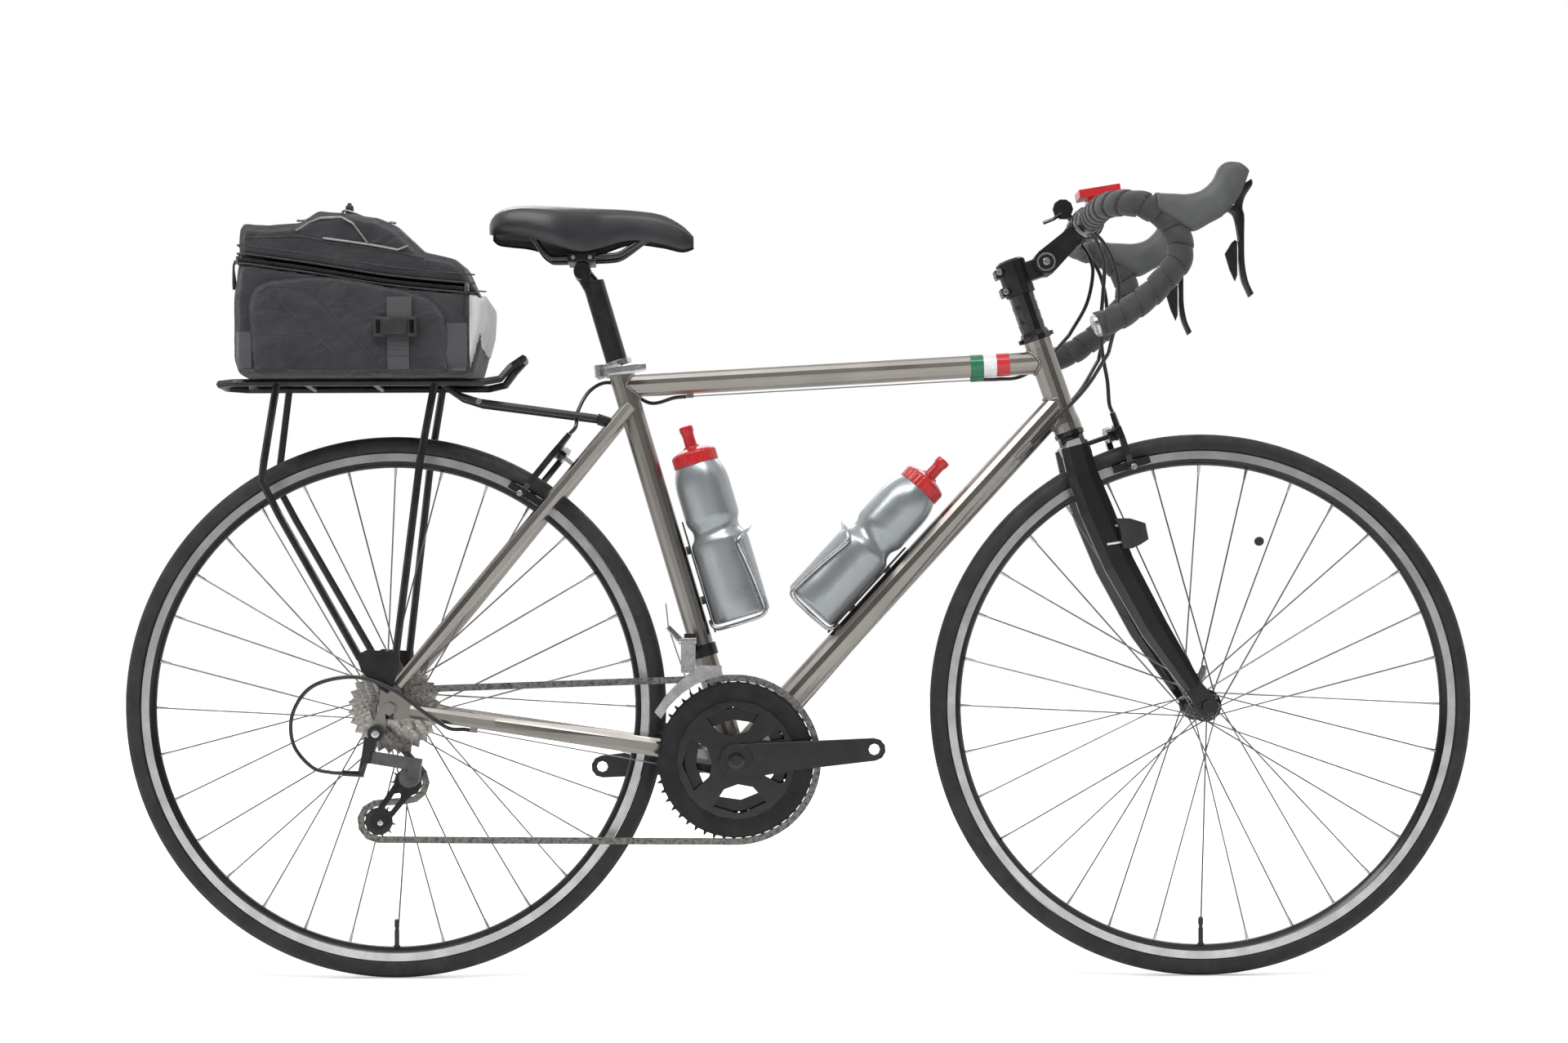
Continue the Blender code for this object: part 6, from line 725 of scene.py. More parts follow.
def build_wheel(end, hub, profile, flanges):
    matrix = facing(hub, ACROSS, (0, 0, -1))
    body = end + "_wheel"
    skin = tyre_mesh(matrix)
    piece(end + "_tyre_skin", skin, "tyre_rubber", body, [end + "_tyre"], "tyre_rubber", sharp=24)
    track = RIM_OUTER - 0.0105
    half = RIM_HALF_WIDTH
    side = [
        (RIM_OUTER, half - 0.0016), (RIM_OUTER, half - 0.0004), (RIM_OUTER - 0.0006, half - 0.0001),
        (track, half - 0.0003), (track - 0.002, half - 0.0018), (RIM_INNER + 0.003, 0.0052),
        (RIM_INNER + 0.0008, 0.003), (RIM_INNER, 0.0),
    ]
    rim = ring_turned(both_ways(side, 1), matrix, 160)
    piece(end + "_rim_body", rim, "rim_black", body, [end + "_rim"], "black_metal")
    low, high = track + 0.0002, RIM_OUTER - 0.0005
    face = [(low, 0.009), (low, half), (high, half), (high, 0.009)]
    tracks = [ring_turned([(r, sign * h) for r, h in face], matrix, 160) for sign in (-1, 1)]
    piece(end + "_brake_tracks", joined(tracks), "brake_track", body, slot="polished_metal")
    piece(end + "_hub", turned(profile, matrix, 56), "black_gloss", body, slot="black_metal", sharp=28)

    spokes, nipples = [], []
    for number, (flange_y, flange_radius) in enumerate(flanges):
        for index in range(SPOKES // 2):
            start, far, across = spoke_line(hub, flange_y, flange_radius, index, number * SPOKE_STEP / 2)
            along = (far - start).normalized()
            through = start - ACROSS * (across * 0.005)
            spokes.append(rod(start, far, SPOKE_RADIUS, sides=8))
            spokes.append(rod(start, through, SPOKE_RADIUS, sides=8))
            spokes.append(rod(through, through - ACROSS * (across * 0.0007), 0.0019, 0.0012, 10))
            nipples.append(rod(far - along * 0.0125, far + along * 0.0006, 0.0015, 0.0021, 10))
    piece(end + "_spokes", joined(spokes), "steel", body, [end + "_hub_spokes"], "steel")
    polished(end + "_nipples", joined(nipples), body)

    foot = matrix @ Vector((RIM_INNER + 0.001, 0, 0))
    stem = [(0, 0), (0.0042, 0), (0.0042, 0.0022), (0.003, 0.0026), (0.003, 0.021), (0.0024, 0.0216)]
    stem += [(0.0024, 0.025), (0.0031, 0.0256), (0.0031, 0.033), (0.0018, 0.035), (0, 0.0352)]
    piece(end + "_valve", turned(stem, facing(foot, hub - foot), 20), "moulded", body, slot="black_metal")


BORE = 0.0029
FRONT_HALF = [
    (BORE, 0.05), (0.0078, 0.05), (0.0084, 0.0494), (0.0084, 0.0452), (0.0098, 0.0446), (0.01, 0.0392),
    (0.015, 0.0366), (0.0196, 0.0357), (0.0205, 0.035), (0.0205, 0.033), (0.0196, 0.0323),
    (0.015, 0.0318), (0.0108, 0.0285), (0.0092, 0.022), (0.0086, 0.0),
]
REAR_PROFILE = [
    (BORE, 0.065), (0.008, 0.065), (0.0085, 0.0644), (0.0085, 0.056), (0.0112, 0.0548), (0.0118, 0.042),
    (0.018, 0.0378), (0.0218, 0.0368), (0.0225, 0.0362), (0.0225, 0.0338), (0.0218, 0.0332),
    (0.017, 0.0328), (0.0122, 0.029), (0.0112, 0.02), (0.0112, -0.003), (0.0135, -0.0085),
    (0.018, -0.0113), (0.0218, -0.0117), (0.0225, -0.0123), (0.0225, -0.0145), (0.0218, -0.0151),
    (0.013, -0.0165), (0.013, -0.059), (0.0085, -0.06), (0.0085, -0.0644), (0.008, -0.065),
    (BORE, -0.065),
]
build_wheel("front", FRONT_HUB, both_ways(FRONT_HALF, 1), ((0.034, 0.0205), (-0.034, 0.0205)))
build_wheel("rear", REAR_HUB, REAR_PROFILE, ((0.035, 0.0225), (-0.0135, 0.0225)))


# Handlebar, hoods and levers

BAR = Vector((0.36222, 0, 0.93982))
BEND_Y = 0.205
TAPE_RADIUS = 0.015
TAPE_START = 0.052
TAPE_PITCH = 0.0225
TAPE_EDGE = 0.0017
TAPE_GROOVE = 0.001
# Forward of the bar's middle, share of the way out to the bend, and height
BAR_BENDS = (
    (0, 0, 0), (0, 0.3, 0), (0, 0.58, 0), (0.004, 0.78, -0.0003), (0.0165, 0.92, -0.002),
    (0.031, 0.985, -0.005), (0.0438, 1, -0.0085), (0.0659, 1, -0.0221), (0.0789, 1, -0.0404),
    (0.0831, 1, -0.0567), (0.0807, 1, -0.074), (0.0666, 1, -0.0913), (0.0473, 1, -0.1124),
    (0.0242, 1, -0.1296), (0.0088, 1, -0.1392), (-0.0153, 1, -0.1487),
)


def bar_route(side):
    return [BAR + Vector((x, side * BEND_Y * share, z)) for x, share, z in BAR_BENDS]


def tape_mesh(side, per_turn=15, sides=36):
    """Tape wound in a helix, each turn standing on the edge of the one before it."""
    spacing = TAPE_PITCH / per_turn
    points = evenly(smooth_path(bar_route(side), 20), spacing)
    rings = []
    guide = UP
    last = len(points) - 1
    for i, point in enumerate(points):
        heading = (points[min(i + 2, last)] - points[max(i - 2, 0)]).normalized()
        guide = (guide - heading * guide.dot(heading)).normalized()
        across = heading.cross(guide) * side
        distance = i * spacing
        if distance < TAPE_START:
            continue
        ring = []
        for k, angle in enumerate(turns(sides)):
            phase = (distance / TAPE_PITCH - k / sides) % 1.0
            swell = 0.0007 * math.sin(math.pi * phase)
            if phase < 0.09:
                swell -= TAPE_GROOVE
            wander = 0.0003 * noise.noise(point * 60 + Vector((k * 0.3, side, 0)))
            r = TAPE_RADIUS + TAPE_EDGE * (phase - 0.5) + swell + wander
            ring.append(point + guide * (r * math.cos(angle)) + across * (r * math.sin(angle)))
        rings.append(ring)
    return loft(rings), points[-1], heading


def build_bar():
    plug = [(0, 0.0068), (0.006, 0.0066), (0.01, 0.0056), (0.0128, 0.0036)]
    plug += [(0.0136, 0.001), (0.0136, -0.004), (0, -0.004)]
    collar = [(0.014, 0), (0.0161, 0.0003), (0.0163, 0.0008)]
    collar += [(0.0163, 0.015), (0.016, 0.0158), (0.014, 0.016)]
    tape = []
    for side, name in SIDES:
        mesh, end, heading = tape_mesh(side)
        tape.append(mesh)
        polished("end_plug_" + name, turned(plug, facing(end, heading), 40), "cockpit")
        start = BAR + ACROSS * (side * (TAPE_START - 0.0005))
        place = facing(start, ACROSS * side)
        piece("tape_end_" + name, turned(collar, place), "moulded", "cockpit", slot="bar_tape")
    piece("bar_tape", joined(tape), "bar_tape", "cockpit", ["handlebar"], "bar_tape", sharp=26)
    half = [(0, 0.06), (0.0133, 0.06), (0.0136, 0.05), (0.0144, 0.0455), (0.0156, 0.042), (0.0159, 0.04)]
    middle = turned(both_ways(half), facing(BAR, ACROSS))
    piece("bar_middle", middle, "black_gloss", "cockpit", slot="black_metal")


# Each row: forward and height of one edge, then of the other, and half the width
HOOD_SECTIONS = (
    (0.0528, 0.0064, 0.0538, -0.0158, 0.0188), (0.0721, 0.0058, 0.0778, -0.0313, 0.0196),
    (0.091, 0.0054, 0.0976, -0.0383, 0.0186), (0.1072, 0.0098, 0.1178, -0.0288, 0.0178),
    (0.1207, 0.0219, 0.1388, -0.0163, 0.0172), (0.1283, 0.0367, 0.1538, 0.0042, 0.0162),
    (0.1378, 0.0428, 0.1603, 0.0202, 0.015), (0.1498, 0.0424, 0.1639, 0.0312, 0.0125),
)
LEVER_SECTIONS = (
    (0.1558, 0.016, 0.1668, 0.0234, 0.0055), (0.1458, 0.0052, 0.1678, 0.0162, 0.0062),
    (0.1363, -0.0013, 0.1593, 0.0022, 0.0062), (0.1368, -0.0138, 0.1562, -0.0106, 0.0062),
    (0.1453, -0.0223, 0.1583, -0.0214, 0.0062), (0.1509, -0.0518, 0.1577, -0.0483, 0.0078),
    (0.1514, -0.0758, 0.1582, -0.0753, 0.0078), (0.1541, -0.0958, 0.1621, -0.0969, 0.007),
    (0.1628, -0.1168, 0.1688, -0.1118, 0.0055),
)
LEVER_SLOT = (
    (0.1323, -0.0398), (0.1828, -0.0398), (0.1828, 0.0472), (0.164, 0.0314), (0.1458, 0.0112),
    (0.1323, 0.0022),
)


def beside(offset):
    return (BAR.x + offset[0], BAR.z + offset[1])


def lofted_sections(sections, y, rings, count, squareness, lip=0.0):
    made = []
    for i in range(rings + 1):
        share = i / rings
        x1, z1, x2, z2, half = blended(sections, share)
        swell = lip * max(0.0, 1 - abs(share - 0.02) / 0.03)
        high = Vector((x1 - x2, z1 - z2)).normalized() * swell
        top, low = (x1 + high.x, z1 + high.y), (x2 - high.x, z2 - high.y)
        made.append(ring_between(beside(top), beside(low), y, half + swell, count, squareness))
    return loft(made)


def rounded_end(mesh, width):
    """Soften the two flat ends of a lofted mesh."""
    bm = bmesh.new()
    bm.from_mesh(mesh)
    ends = [face for face in bm.faces if len(face.verts) > 4]
    edges = list({edge for face in ends for edge in face.edges})
    bmesh.ops.bevel(bm, geom=edges, offset=width, segments=4, profile=0.6, affect="EDGES", clamp_overlap=True)
    return mesh_of(bm)


def build_controls(side, name):
    y = side * BEND_Y
    hood = rounded_end(lofted_sections(HOOD_SECTIONS, y, 44, 36, 2.5, 0.0009), 0.0035)
    hood = cut_away(hood, plate([[beside(p) for p in LEVER_SLOT]], 0.0132, side_plane(y)))
    piece("hood_skin_" + name, hood, "hood_rubber", "cockpit", ["hood_" + name], "hood_rubber", sharp=40)
    lever = rounded_end(lofted_sections(LEVER_SECTIONS, y, 60, 24, 3.0), 0.0016)
    replaced = ["brake_lever_" + name]
    piece("lever_blade_" + name, lever, "black_gloss", "lever_" + name, replaced, "black_metal", sharp=50)


build_bar()
for lever_side, lever_name in SIDES:
    build_controls(lever_side, lever_name)


# Bottles

BOTTLE_RADIUS = 0.0365
SEAT_TUBE_RADIUS = 0.0148
DOWN_TUBE_RADIUS = 0.01745
DOWN_TUBE_TOP = HEAD_BOTTOM + HEAD_UP * 0.037
# How far up its tube each bottle's base is, and the space between bottle and tube
BOTTLE_PLACES = ((0.166, 0.0074), (0.202, 0.0046))


def bottle_place(number):
    """Local Z runs up the bottle from its base, and local X away from the tube that carries it."""
    rise, space = BOTTLE_PLACES[number - 1]
    if number == 1:
        along, out, radius = SEAT_UP, SEAT_FORWARD, SEAT_TUBE_RADIUS
    else:
        along = (DOWN_TUBE_TOP - BRACKET).normalized()
        out, radius = Vector((-along.z, 0, along.x)), DOWN_TUBE_RADIUS
    return facing(BRACKET + along * rise + out * (radius + space + BOTTLE_RADIUS), along, out)


def ribbed(profile, matrix, ribs, depth, per_rib=6):
    """Turn (radius, height, share of the depth) rows, with upright ribs round the sides."""
    rings = []
    for radius, height, share in profile:
        ring = []
        for i, angle in enumerate(turns(ribs * per_rib)):
            wave = 0.5 - 0.5 * math.cos(2 * math.pi * i / per_rib)
            ring.append(matrix @ polar(max(radius - depth * share * wave, 0.0002), angle, height))
        rings.append(ring)
    return loft(rings)


def build_bottle(number):
    matrix = bottle_place(number)
    body = "flask_" + str(number)
    name = "bottle_" + str(number)
    r = BOTTLE_RADIUS
    profile = [(0, 0.0014), (0.024, 0.001), (0.03, 0), (0.0335, 0.0004), (0.0357, 0.0022), (r, 0.0056)]
    profile += [(r - 0.0001, 0.03), (r, 0.06), (r - 0.0001, 0.09), (r - 0.0002, 0.099), (r - 0.0012, 0.1035)]
    profile += [(0.0314, 0.1085), (0.0298, 0.1125), (0.0292, 0.116), (0.0296, 0.1195), (0.0312, 0.1235)]
    profile += [(0.033, 0.1275), (0.0338, 0.131), (0.034, 0.135), (0.034, 0.17), (0.0337, 0.1765)]
    profile += [(0.0329, 0.183), (0.0313, 0.19), (0.0292, 0.1955), (0.0276, 0.199), (0.027, 0.2005)]
    profile.append((0, 0.2005))
    flask = turned(profile, matrix, 96)
    piece(name + "_body", flask, "bottle_plastic", body, [name], "bottle_plastic", sharp=50)
    cap = [(0.0268, 0.2002, 0), (0.0283, 0.2006, 0), (0.0285, 0.2012, 1), (0.0285, 0.213, 1)]
    cap += [(0.0279, 0.2146, 0.4), (0.0266, 0.216, 0), (0.024, 0.2174, 0), (0.018, 0.2196, 0)]
    cap += [(0.0128, 0.221, 0), (0.011, 0.2218, 0), (0.0104, 0.223, 0), (0.0104, 0.2236, 0)]
    piece(name + "_cap", ribbed(cap, matrix, 30, 0.0008), "bottle_red", body, slot="bottle_plastic", sharp=40)
    nozzle = [(0, 0.2225), (0.0078, 0.2225), (0.0076, 0.229), (0.0074, 0.235), (0.0076, 0.24)]
    nozzle += [(0.0085, 0.2424), (0.0088, 0.244), (0.0088, 0.2478), (0.0083, 0.2492), (0.006, 0.2498)]
    nozzle += [(0.004, 0.2494), (0.0036, 0.247), (0, 0.2468)]
    piece(name + "_nozzle", turned(nozzle, matrix, 48), "bottle_red", body, slot="bottle_plastic", sharp=40)


CAGE_WIRE = 0.0024
# Degrees round the bottle from the side away from the frame's tube, height, and how far off its wall
CAGE_ROUTE = (
    (172, 0.008, 0.0036), (168, 0.0005, 0.003), (160, -0.005, -0.002), (120, -0.0058, -0.009),
    (80, -0.0056, -0.013), (52, -0.005, -0.005), (42, -0.001, 0.003), (41, 0.01, 0.0034),
    (46, 0.04, 0.0034), (53, 0.07, 0.0034), (57, 0.085, 0.0034), (56, 0.093, 0.0036),
    (46, 0.0985, 0.004), (26, 0.104, 0.0046), (0, 0.1075, 0.005),
)


def build_cage(number):
    """A bent wire up both sides and round the front, on a black back bolted to the frame's tube."""
    matrix = bottle_place(number)
    arms = []
    for side in (1, -1):
        route = []
        for angle, height, out in CAGE_ROUTE:
            spot = polar(BOTTLE_RADIUS + out, math.radians(angle), height)
            route.append(matrix @ Vector((spot.x, side * spot.y, height)))
        arms.append(tube(smooth_path(route, 6), CAGE_WIRE, 14))
    polished("cage_wire_" + str(number), joined(arms), "frame", replaces=["cage_" + str(number)], sharp=60)
    back = matrix @ Matrix.Translation((-BOTTLE_RADIUS - 0.0014, 0, 0)) @ facing((0, 0, 0), (1, 0, 0))
    half = [(0.0075, -0.008), (0.012, 0.008), (0.0105, 0.04)]
    half += [(0.012, 0.09), (0.01, 0.122), (0.006, 0.136)]
    outline = half + [(-x, y) for x, y in half[::-1]]
    spine = [plate([outline, oblong(0.0045, 0.015, y=0.067)], 0.0022, back)]
    outward = (matrix.to_3x3() @ Vector((-1, 0, 0))).normalized()
    for height in (0.035, 0.1):
        foot = matrix @ Vector((-BOTTLE_RADIUS - 0.002, 0, height))
        spine.append(rod(foot, foot + outward * (0.005 if number == 1 else 0.0024), 0.0052))
    name = "cage_back_" + str(number)
    piece(name, joined(spine), "moulded", "frame", slot="black_metal", sharp=40, bevel=0.0004)


for bottle_number in (1, 2):
    build_bottle(bottle_number)
    build_cage(bottle_number)


# Saddle

POST_HEAD = Vector((-0.268, 0, 0.882))
# Forward of the post's head, height of the top, height of the edge, and half the width
SADDLE_SECTIONS = (
    (-0.1145, 0.06, 0.047, 0.03), (-0.1085, 0.069, 0.0435, 0.051), (-0.094, 0.077, 0.0425, 0.064),
    (-0.069, 0.0802, 0.0402, 0.07), (-0.035, 0.0794, 0.0305, 0.068), (-0.002, 0.0788, 0.0235, 0.0505),
    (0.023, 0.0784, 0.0295, 0.035), (0.06, 0.0768, 0.04, 0.0258), (0.098, 0.0715, 0.036, 0.0217),
    (0.124, 0.0585, 0.03, 0.0185), (0.139, 0.0445, 0.033, 0.011),
)
RAIL_Y = 0.022
# Forward of the post's head, share of the spread at the clamp, and height
RAIL_ROUTE = (
    (-0.07, 1.3, 0.0545), (-0.061, 1.2, 0.044), (-0.05, 1.05, 0.0262), (-0.041, 1, 0.018),
    (-0.033, 1, 0.016), (0.0, 1, 0.0168), (0.034, 1, 0.018), (0.047, 0.93, 0.0205),
    (0.059, 0.85, 0.0278), (0.076, 0.7, 0.04), (0.094, 0.52, 0.051),
)


def lined(path, narrower, offset):
    """The outside and inside of a shell across the saddle, as one ring of (y, z) points."""
    outer = [(p.y, p.z) for p in path]
    inner = [(y * narrower, z - offset(y)) for y, z in outer]
    return outer + inner[::-1]


def saddle_ring(x, high, low, half):
    """One section of the padded cover, over its top and down both skirts."""
    drop = high - low
    side = [(0.0, high - 0.0016), (0.16, high - 0.001), (0.36, high)]
    side += [(0.56, high - 0.0016), (0.74, high - 0.006), (0.88, high - 0.24 * drop)]
    side += [(0.96, high - 0.46 * drop), (1.0, high - 0.7 * drop)]
    side += [(0.995, high - 0.88 * drop), (0.96, low)]
    over = side[::-1] + [(-y, z) for y, z in side[1:]]
    path = smooth_path([(0, half * y, z) for y, z in over], 3)
    ring = lined(path, 0.93, lambda y: 0.0075 * max(0.0, 1 - abs(y) / half * 0.8) + 0.0012)
    return [POST_HEAD + Vector((x, y, z)) for y, z in ring]


def shell_ring(x, high, low, half):
    """One section of the hard shell under the cover."""
    rise = high - low
    across = [(-0.9, low + 0.002), (-0.86, low + rise * 0.35)]
    across += [(-0.5, low + rise * 0.62), (0, low + rise * 0.68)]
    across += [(-y, z) for y, z in across[2::-1]]
    path = smooth_path([(0, half * y, z) for y, z in across], 5)
    return [POST_HEAD + Vector((x, y, z)) for y, z in lined(path, 0.96, lambda y: 0.0022)]


def build_saddle():
    rings = [saddle_ring(*blended(SADDLE_SECTIONS, i / 72)) for i in range(73)]
    cover = piece("saddle_pad", loft(rings), "saddle_cover", "seat", ["saddle"], "saddle_cover", sharp=60)
    shell = [shell_ring(*blended(SADDLE_SECTIONS, 0.06 + 0.9 * i / 60)) for i in range(61)]
    piece("saddle_shell", loft(shell), "moulded", "seat", slot="saddle_cover", sharp=50)
    rails = []
    for y in (-RAIL_Y, RAIL_Y):
        route = [POST_HEAD + Vector((x, y * spread, z)) for x, spread, z in RAIL_ROUTE]
        rails.append(tube(smooth_path(route, 8), 0.0035, 20))
    piece("saddle_rails", joined(rails), "black_gloss", "seat", slot="black_metal")
    room = turned([(0, -0.04), (0.0114, -0.04), (0.0114, 0.04), (0, 0.04)], facing(POST_HEAD, ACROSS))
    block = bmesh.new()
    bmesh.ops.create_cube(block, size=1.0)
    bmesh.ops.scale(block, vec=(0.034, 0.054, 0.013), verts=block.verts)
    bmesh.ops.translate(block, vec=POST_HEAD + Vector((-0.001, 0, 0.016)), verts=block.verts)
    clamp = cut_away(from_bmesh(block), room)
    piece("rail_clamp", clamp, "black_metal", "seat", slot="black_metal", bevel=0.0018)
    bolts = [socket_bolt(POST_HEAD + Vector((x, 0, 0.022)), UP, 0.0044, 0.0042) for x in (-0.012, 0.011)]
    for side in (-1, 1):
        for x in (-0.011, 0.01):
            head = POST_HEAD + Vector((x, side * 0.0272, 0.016))
            bolts.append(socket_bolt(head, ACROSS * side, 0.0026, 0.0012, 18))
    polished("clamp_bolts", joined(bolts), "seat")


build_saddle()


# Soft forms

LAY_STEP = 0.004
LEAST_Y = 0.03


def softened(mesh, voxel, rounds):
    """A closed form remeshed finely, with its corners relaxed."""
    obj = add_object("soft", mesh)
    fine = obj.modifiers.new("fine", "REMESH")
    fine.mode = "VOXEL"
    fine.voxel_size = voxel
    ease = obj.modifiers.new("ease", "SMOOTH")
    ease.factor = 0.5
    ease.iterations = rounds
    made = evaluated(obj)
    bpy.data.objects.remove(obj)
    return made


def node_form(name):
    source = NODES[name]
    mesh = source.data.copy()
    mesh.transform(source.matrix_world)
    return mesh


def pushed(mesh, push):
    """Move every point by push(point, normal)."""
    moves = [push(v.co.copy(), v.normal.copy()) for v in mesh.vertices]
    for vertex, move in zip(mesh.vertices, moves):
        vertex.co += move
    mesh.update()
    return mesh


def tree_of(mesh):
    return BVHTree.FromPolygons([v.co for v in mesh.vertices], [tuple(p.vertices) for p in mesh.polygons])


def straight_path(points, spacing):
    points = [Vector(p) for p in points]
    made = []
    for a, b in zip(points, points[1:]):
        count = max(1, round((b - a).length / spacing))
        made += [a.lerp(b, k / count) for k in range(count)]
    return made + [points[-1]]


def side_hit(tree, x, z, side):
    """Where a ray from the side meets a surface, or None."""
    return tree.ray_cast(Vector((x, side * 0.3, z)), Vector((0, -side, 0)))[0]


def laid_on(tree, route, side, lift):
    """An (x, z) route dropped sideways onto a surface."""
    made = []
    for point in straight_path([(x, 0, z) for x, z in route], LAY_STEP):
        hit = side_hit(tree, point.x, point.z, side)
        if hit is not None and hit.y * side > LEAST_Y:
            made.append(hit + ACROSS * (side * lift))
    return made


def strap_on(tree, route, width, side, thick=0.0014, lift=0.0004):
    """A flat strap over a surface, along an (x, z) route."""
    path = straight_path([(x, 0, z) for x, z in route], LAY_STEP)
    rings = []
    for i, point in enumerate(path):
        along = (path[min(i + 1, len(path) - 1)] - path[max(i - 1, 0)]).normalized()
        edge = ACROSS.cross(along) * (width / 2)
        outs, ins = [], []
        for share in (-1, -0.5, 0, 0.5, 1):
            spot = point + edge * share
            hit = side_hit(tree, spot.x, spot.z, side)
            if hit is None or hit.y * side < LEAST_Y:
                break
            outs.append(hit + ACROSS * (side * (lift + thick)))
            ins.append(hit + ACROSS * (side * lift))
        if len(outs) == 5:
            rings.append(outs + ins[::-1])
    return loft(rings)


def creases(point, seed):
    """Folds of a loaded cloth wall, between -1 and 1."""
    long = Vector((point.x * 16 + point.z * 13, point.z * 9 - point.x * 7, point.y * 6 + seed))
    short = Vector((point.x * 34 - point.z * 21, point.z * 40, point.y * 14 + seed * 2))
    first = 1 - 2.6 * abs(noise.noise(long))
    second = 1 - 2.6 * abs(noise.noise(short))
    return 0.68 * first + 0.32 * second


# The bag

BAG_HALF = 0.082
BAG_FLOOR = 0.7463
ZIP_LINE = ((-0.686, 0.89), (-0.6019, 0.878), (-0.5104, 0.863), (-0.4577, 0.857), (-0.396, 0.8515))
POCKET = (
    (-0.6634, 0.75), (-0.668, 0.7896), (-0.669, 0.84), (-0.6443, 0.86), (-0.5718, 0.864),
    (-0.5032, 0.852), (-0.4612, 0.842), (-0.44, 0.8258), (-0.4322, 0.801), (-0.4315, 0.756),
    (-0.44, 0.75),
)
# Each row: how far drawn in to the pocket's middle, and how far out from the wall
POCKET_DOME = (
    (0.0, -0.004), (0.0, 0.0045), (0.012, 0.0085), (0.05, 0.011), (0.12, 0.0125), (0.35, 0.0135),
    (0.7, 0.014),
)
POCKET_LINES = (
    ((-0.652, 0.853), (-0.6253, 0.8277), (-0.548, 0.754)),
    ((-0.646, 0.8545), (-0.5955, 0.852), (-0.511, 0.756)),
    ((-0.66, 0.846), (-0.647, 0.855)),
)
BUCKLE_STRAP_X = -0.4885
LONG_SEAM = ((-0.6767, 0.915), (-0.61, 0.917), (-0.5718, 0.909), (-0.4956, 0.8985), (-0.4574, 0.889))
LID_SEAMS = ((LONG_SEAM, 0.0011, 10), (((-0.4574, 0.889), (-0.4574, 0.876)), 0.0009, 8))
FRONT_SEAM = ((-0.404, 0.848), (-0.4048, 0.801), (-0.407, 0.75))
BUNGEE_SIDES = (
    ((-0.615, 0.923), (-0.6, 0.933), (-0.585, 0.9385), (-0.56, 0.94), (-0.545, 0.932), (-0.527, 0.908)),
    ((-0.582, 0.914), (-0.5245, 0.906), (-0.49, 0.8995), (-0.478, 0.904)),
)
BUNGEE_TOP = (
    (-0.615, -0.066), (-0.599, 0.0), (-0.585, 0.066), (-0.57, 0.0), (-0.556, -0.066), (-0.541, 0.0),
    (-0.527, 0.06), (-0.51, 0.0), (-0.496, -0.06),
)
# Planes that bound the grey panel, each by a point and by the side that is cut off
PANEL_CUTS = (((-0.403, 0, 0), (-1, 0, 0)), ((0, 0, 0.846), (0, 0, 1)), ((0, 0, 0.75), (0, 0, -1)))
# How far out from the slider, and how far below it
PULL_DROP = ((0.003, 0), (0.0052, 0.008), (0.0046, 0.023), (0.004, 0.036))


def zip_height(x):
    for (x1, z1), (x2, z2) in zip(ZIP_LINE, ZIP_LINE[1:]):
        if x <= x2:
            break
    return z1 + (z2 - z1) * (x - x1) / (x2 - x1)


def zip_route(rise, out):
    """Round the bag's back and both sides, rise above the zip and out from its wall."""
    half = BAG_HALF + out
    stations = [(x, half) for x in (-0.396, -0.4577, -0.5104, -0.56, -0.6019, -0.64, -0.67)]
    for step in range(1, 7):
        angle = math.radians(15 * step)
        reach = 0.015 + out
        stations.append((-0.672 - reach * math.sin(angle), BAG_HALF - 0.015 + reach * math.cos(angle)))
    stations.append((-0.687 - out, 0.0))
    near = [(x, -y) for x, y in stations[-2::-1]]
    return [Vector((x, y, zip_height(x) + rise)) for x, y in stations + near]


def push_bag(point, normal):
    width = min(max((point.x + 0.69) / 0.305, 0.0), 1.0)
    high = min(max((point.z - BAG_FLOOR) / (zip_height(point.x) - BAG_FLOOR), 0.0), 1.0)
    crown = (max(0.0, 4 * width * (1 - width)) * max(0.0, 4 * high * (1 - high))) ** 0.5
    if abs(point.y) < BAG_HALF - 0.0035 and abs(normal.y) > 0.4:
        return Vector()
    edge = min(1.0, 5 * high * (1 - high) + 0.15)
    fold = creases(point, 3.0 if point.y > 0 else 11.0) * edge
    if abs(normal.y) > 0.4:
        sag = 0.003 * max(0.0, 1 - abs(high - 0.22) / 0.22)
        return Vector((0, math.copysign(0.0026 * crown + 0.0014 * fold + sag, normal.y), 0))
    if abs(normal.z) > 0.6:
        return Vector()
    return normal * (0.001 * fold + 0.0015 * crown)


def push_lid(point, normal):
    rise = point.z - zip_height(point.x)
    if rise < 0.006 or (abs(point.y) < BAG_HALF - 0.0035 and abs(normal.y) > 0.4):
        return Vector()
    edge = min(1.0, rise / 0.02)
    fold = creases(point, 21.0 if point.y > 0 else 31.0) * edge
    if abs(normal.y) > 0.4:
        return Vector((0, math.copysign(0.0013 * fold + 0.0012 * edge, normal.y), 0))
    across = max(0.0, 1 - (point.y / BAG_HALF) ** 2)
    return normal * (0.0016 * fold) + Vector((0, 0, 0.005 * across * edge if normal.z > 0.3 else 0.0))


def pocket_outline():
    loop = [Vector((x, 0, z)) for x, z in POCKET]
    return smooth_path(loop + [loop[0]], 8)[:-1]


def pocket_form(side):
    """A domed pocket on the bag's side wall."""
    loop = pocket_outline()
    middle = sum(loop, Vector()) / len(loop)
    rings = []
    for draw, out in POCKET_DOME:
        wall = ACROSS * (side * (BAG_HALF + out))
        rings.append([middle + (p - middle) * (1 - draw) + wall for p in loop])
    return loft(rings)


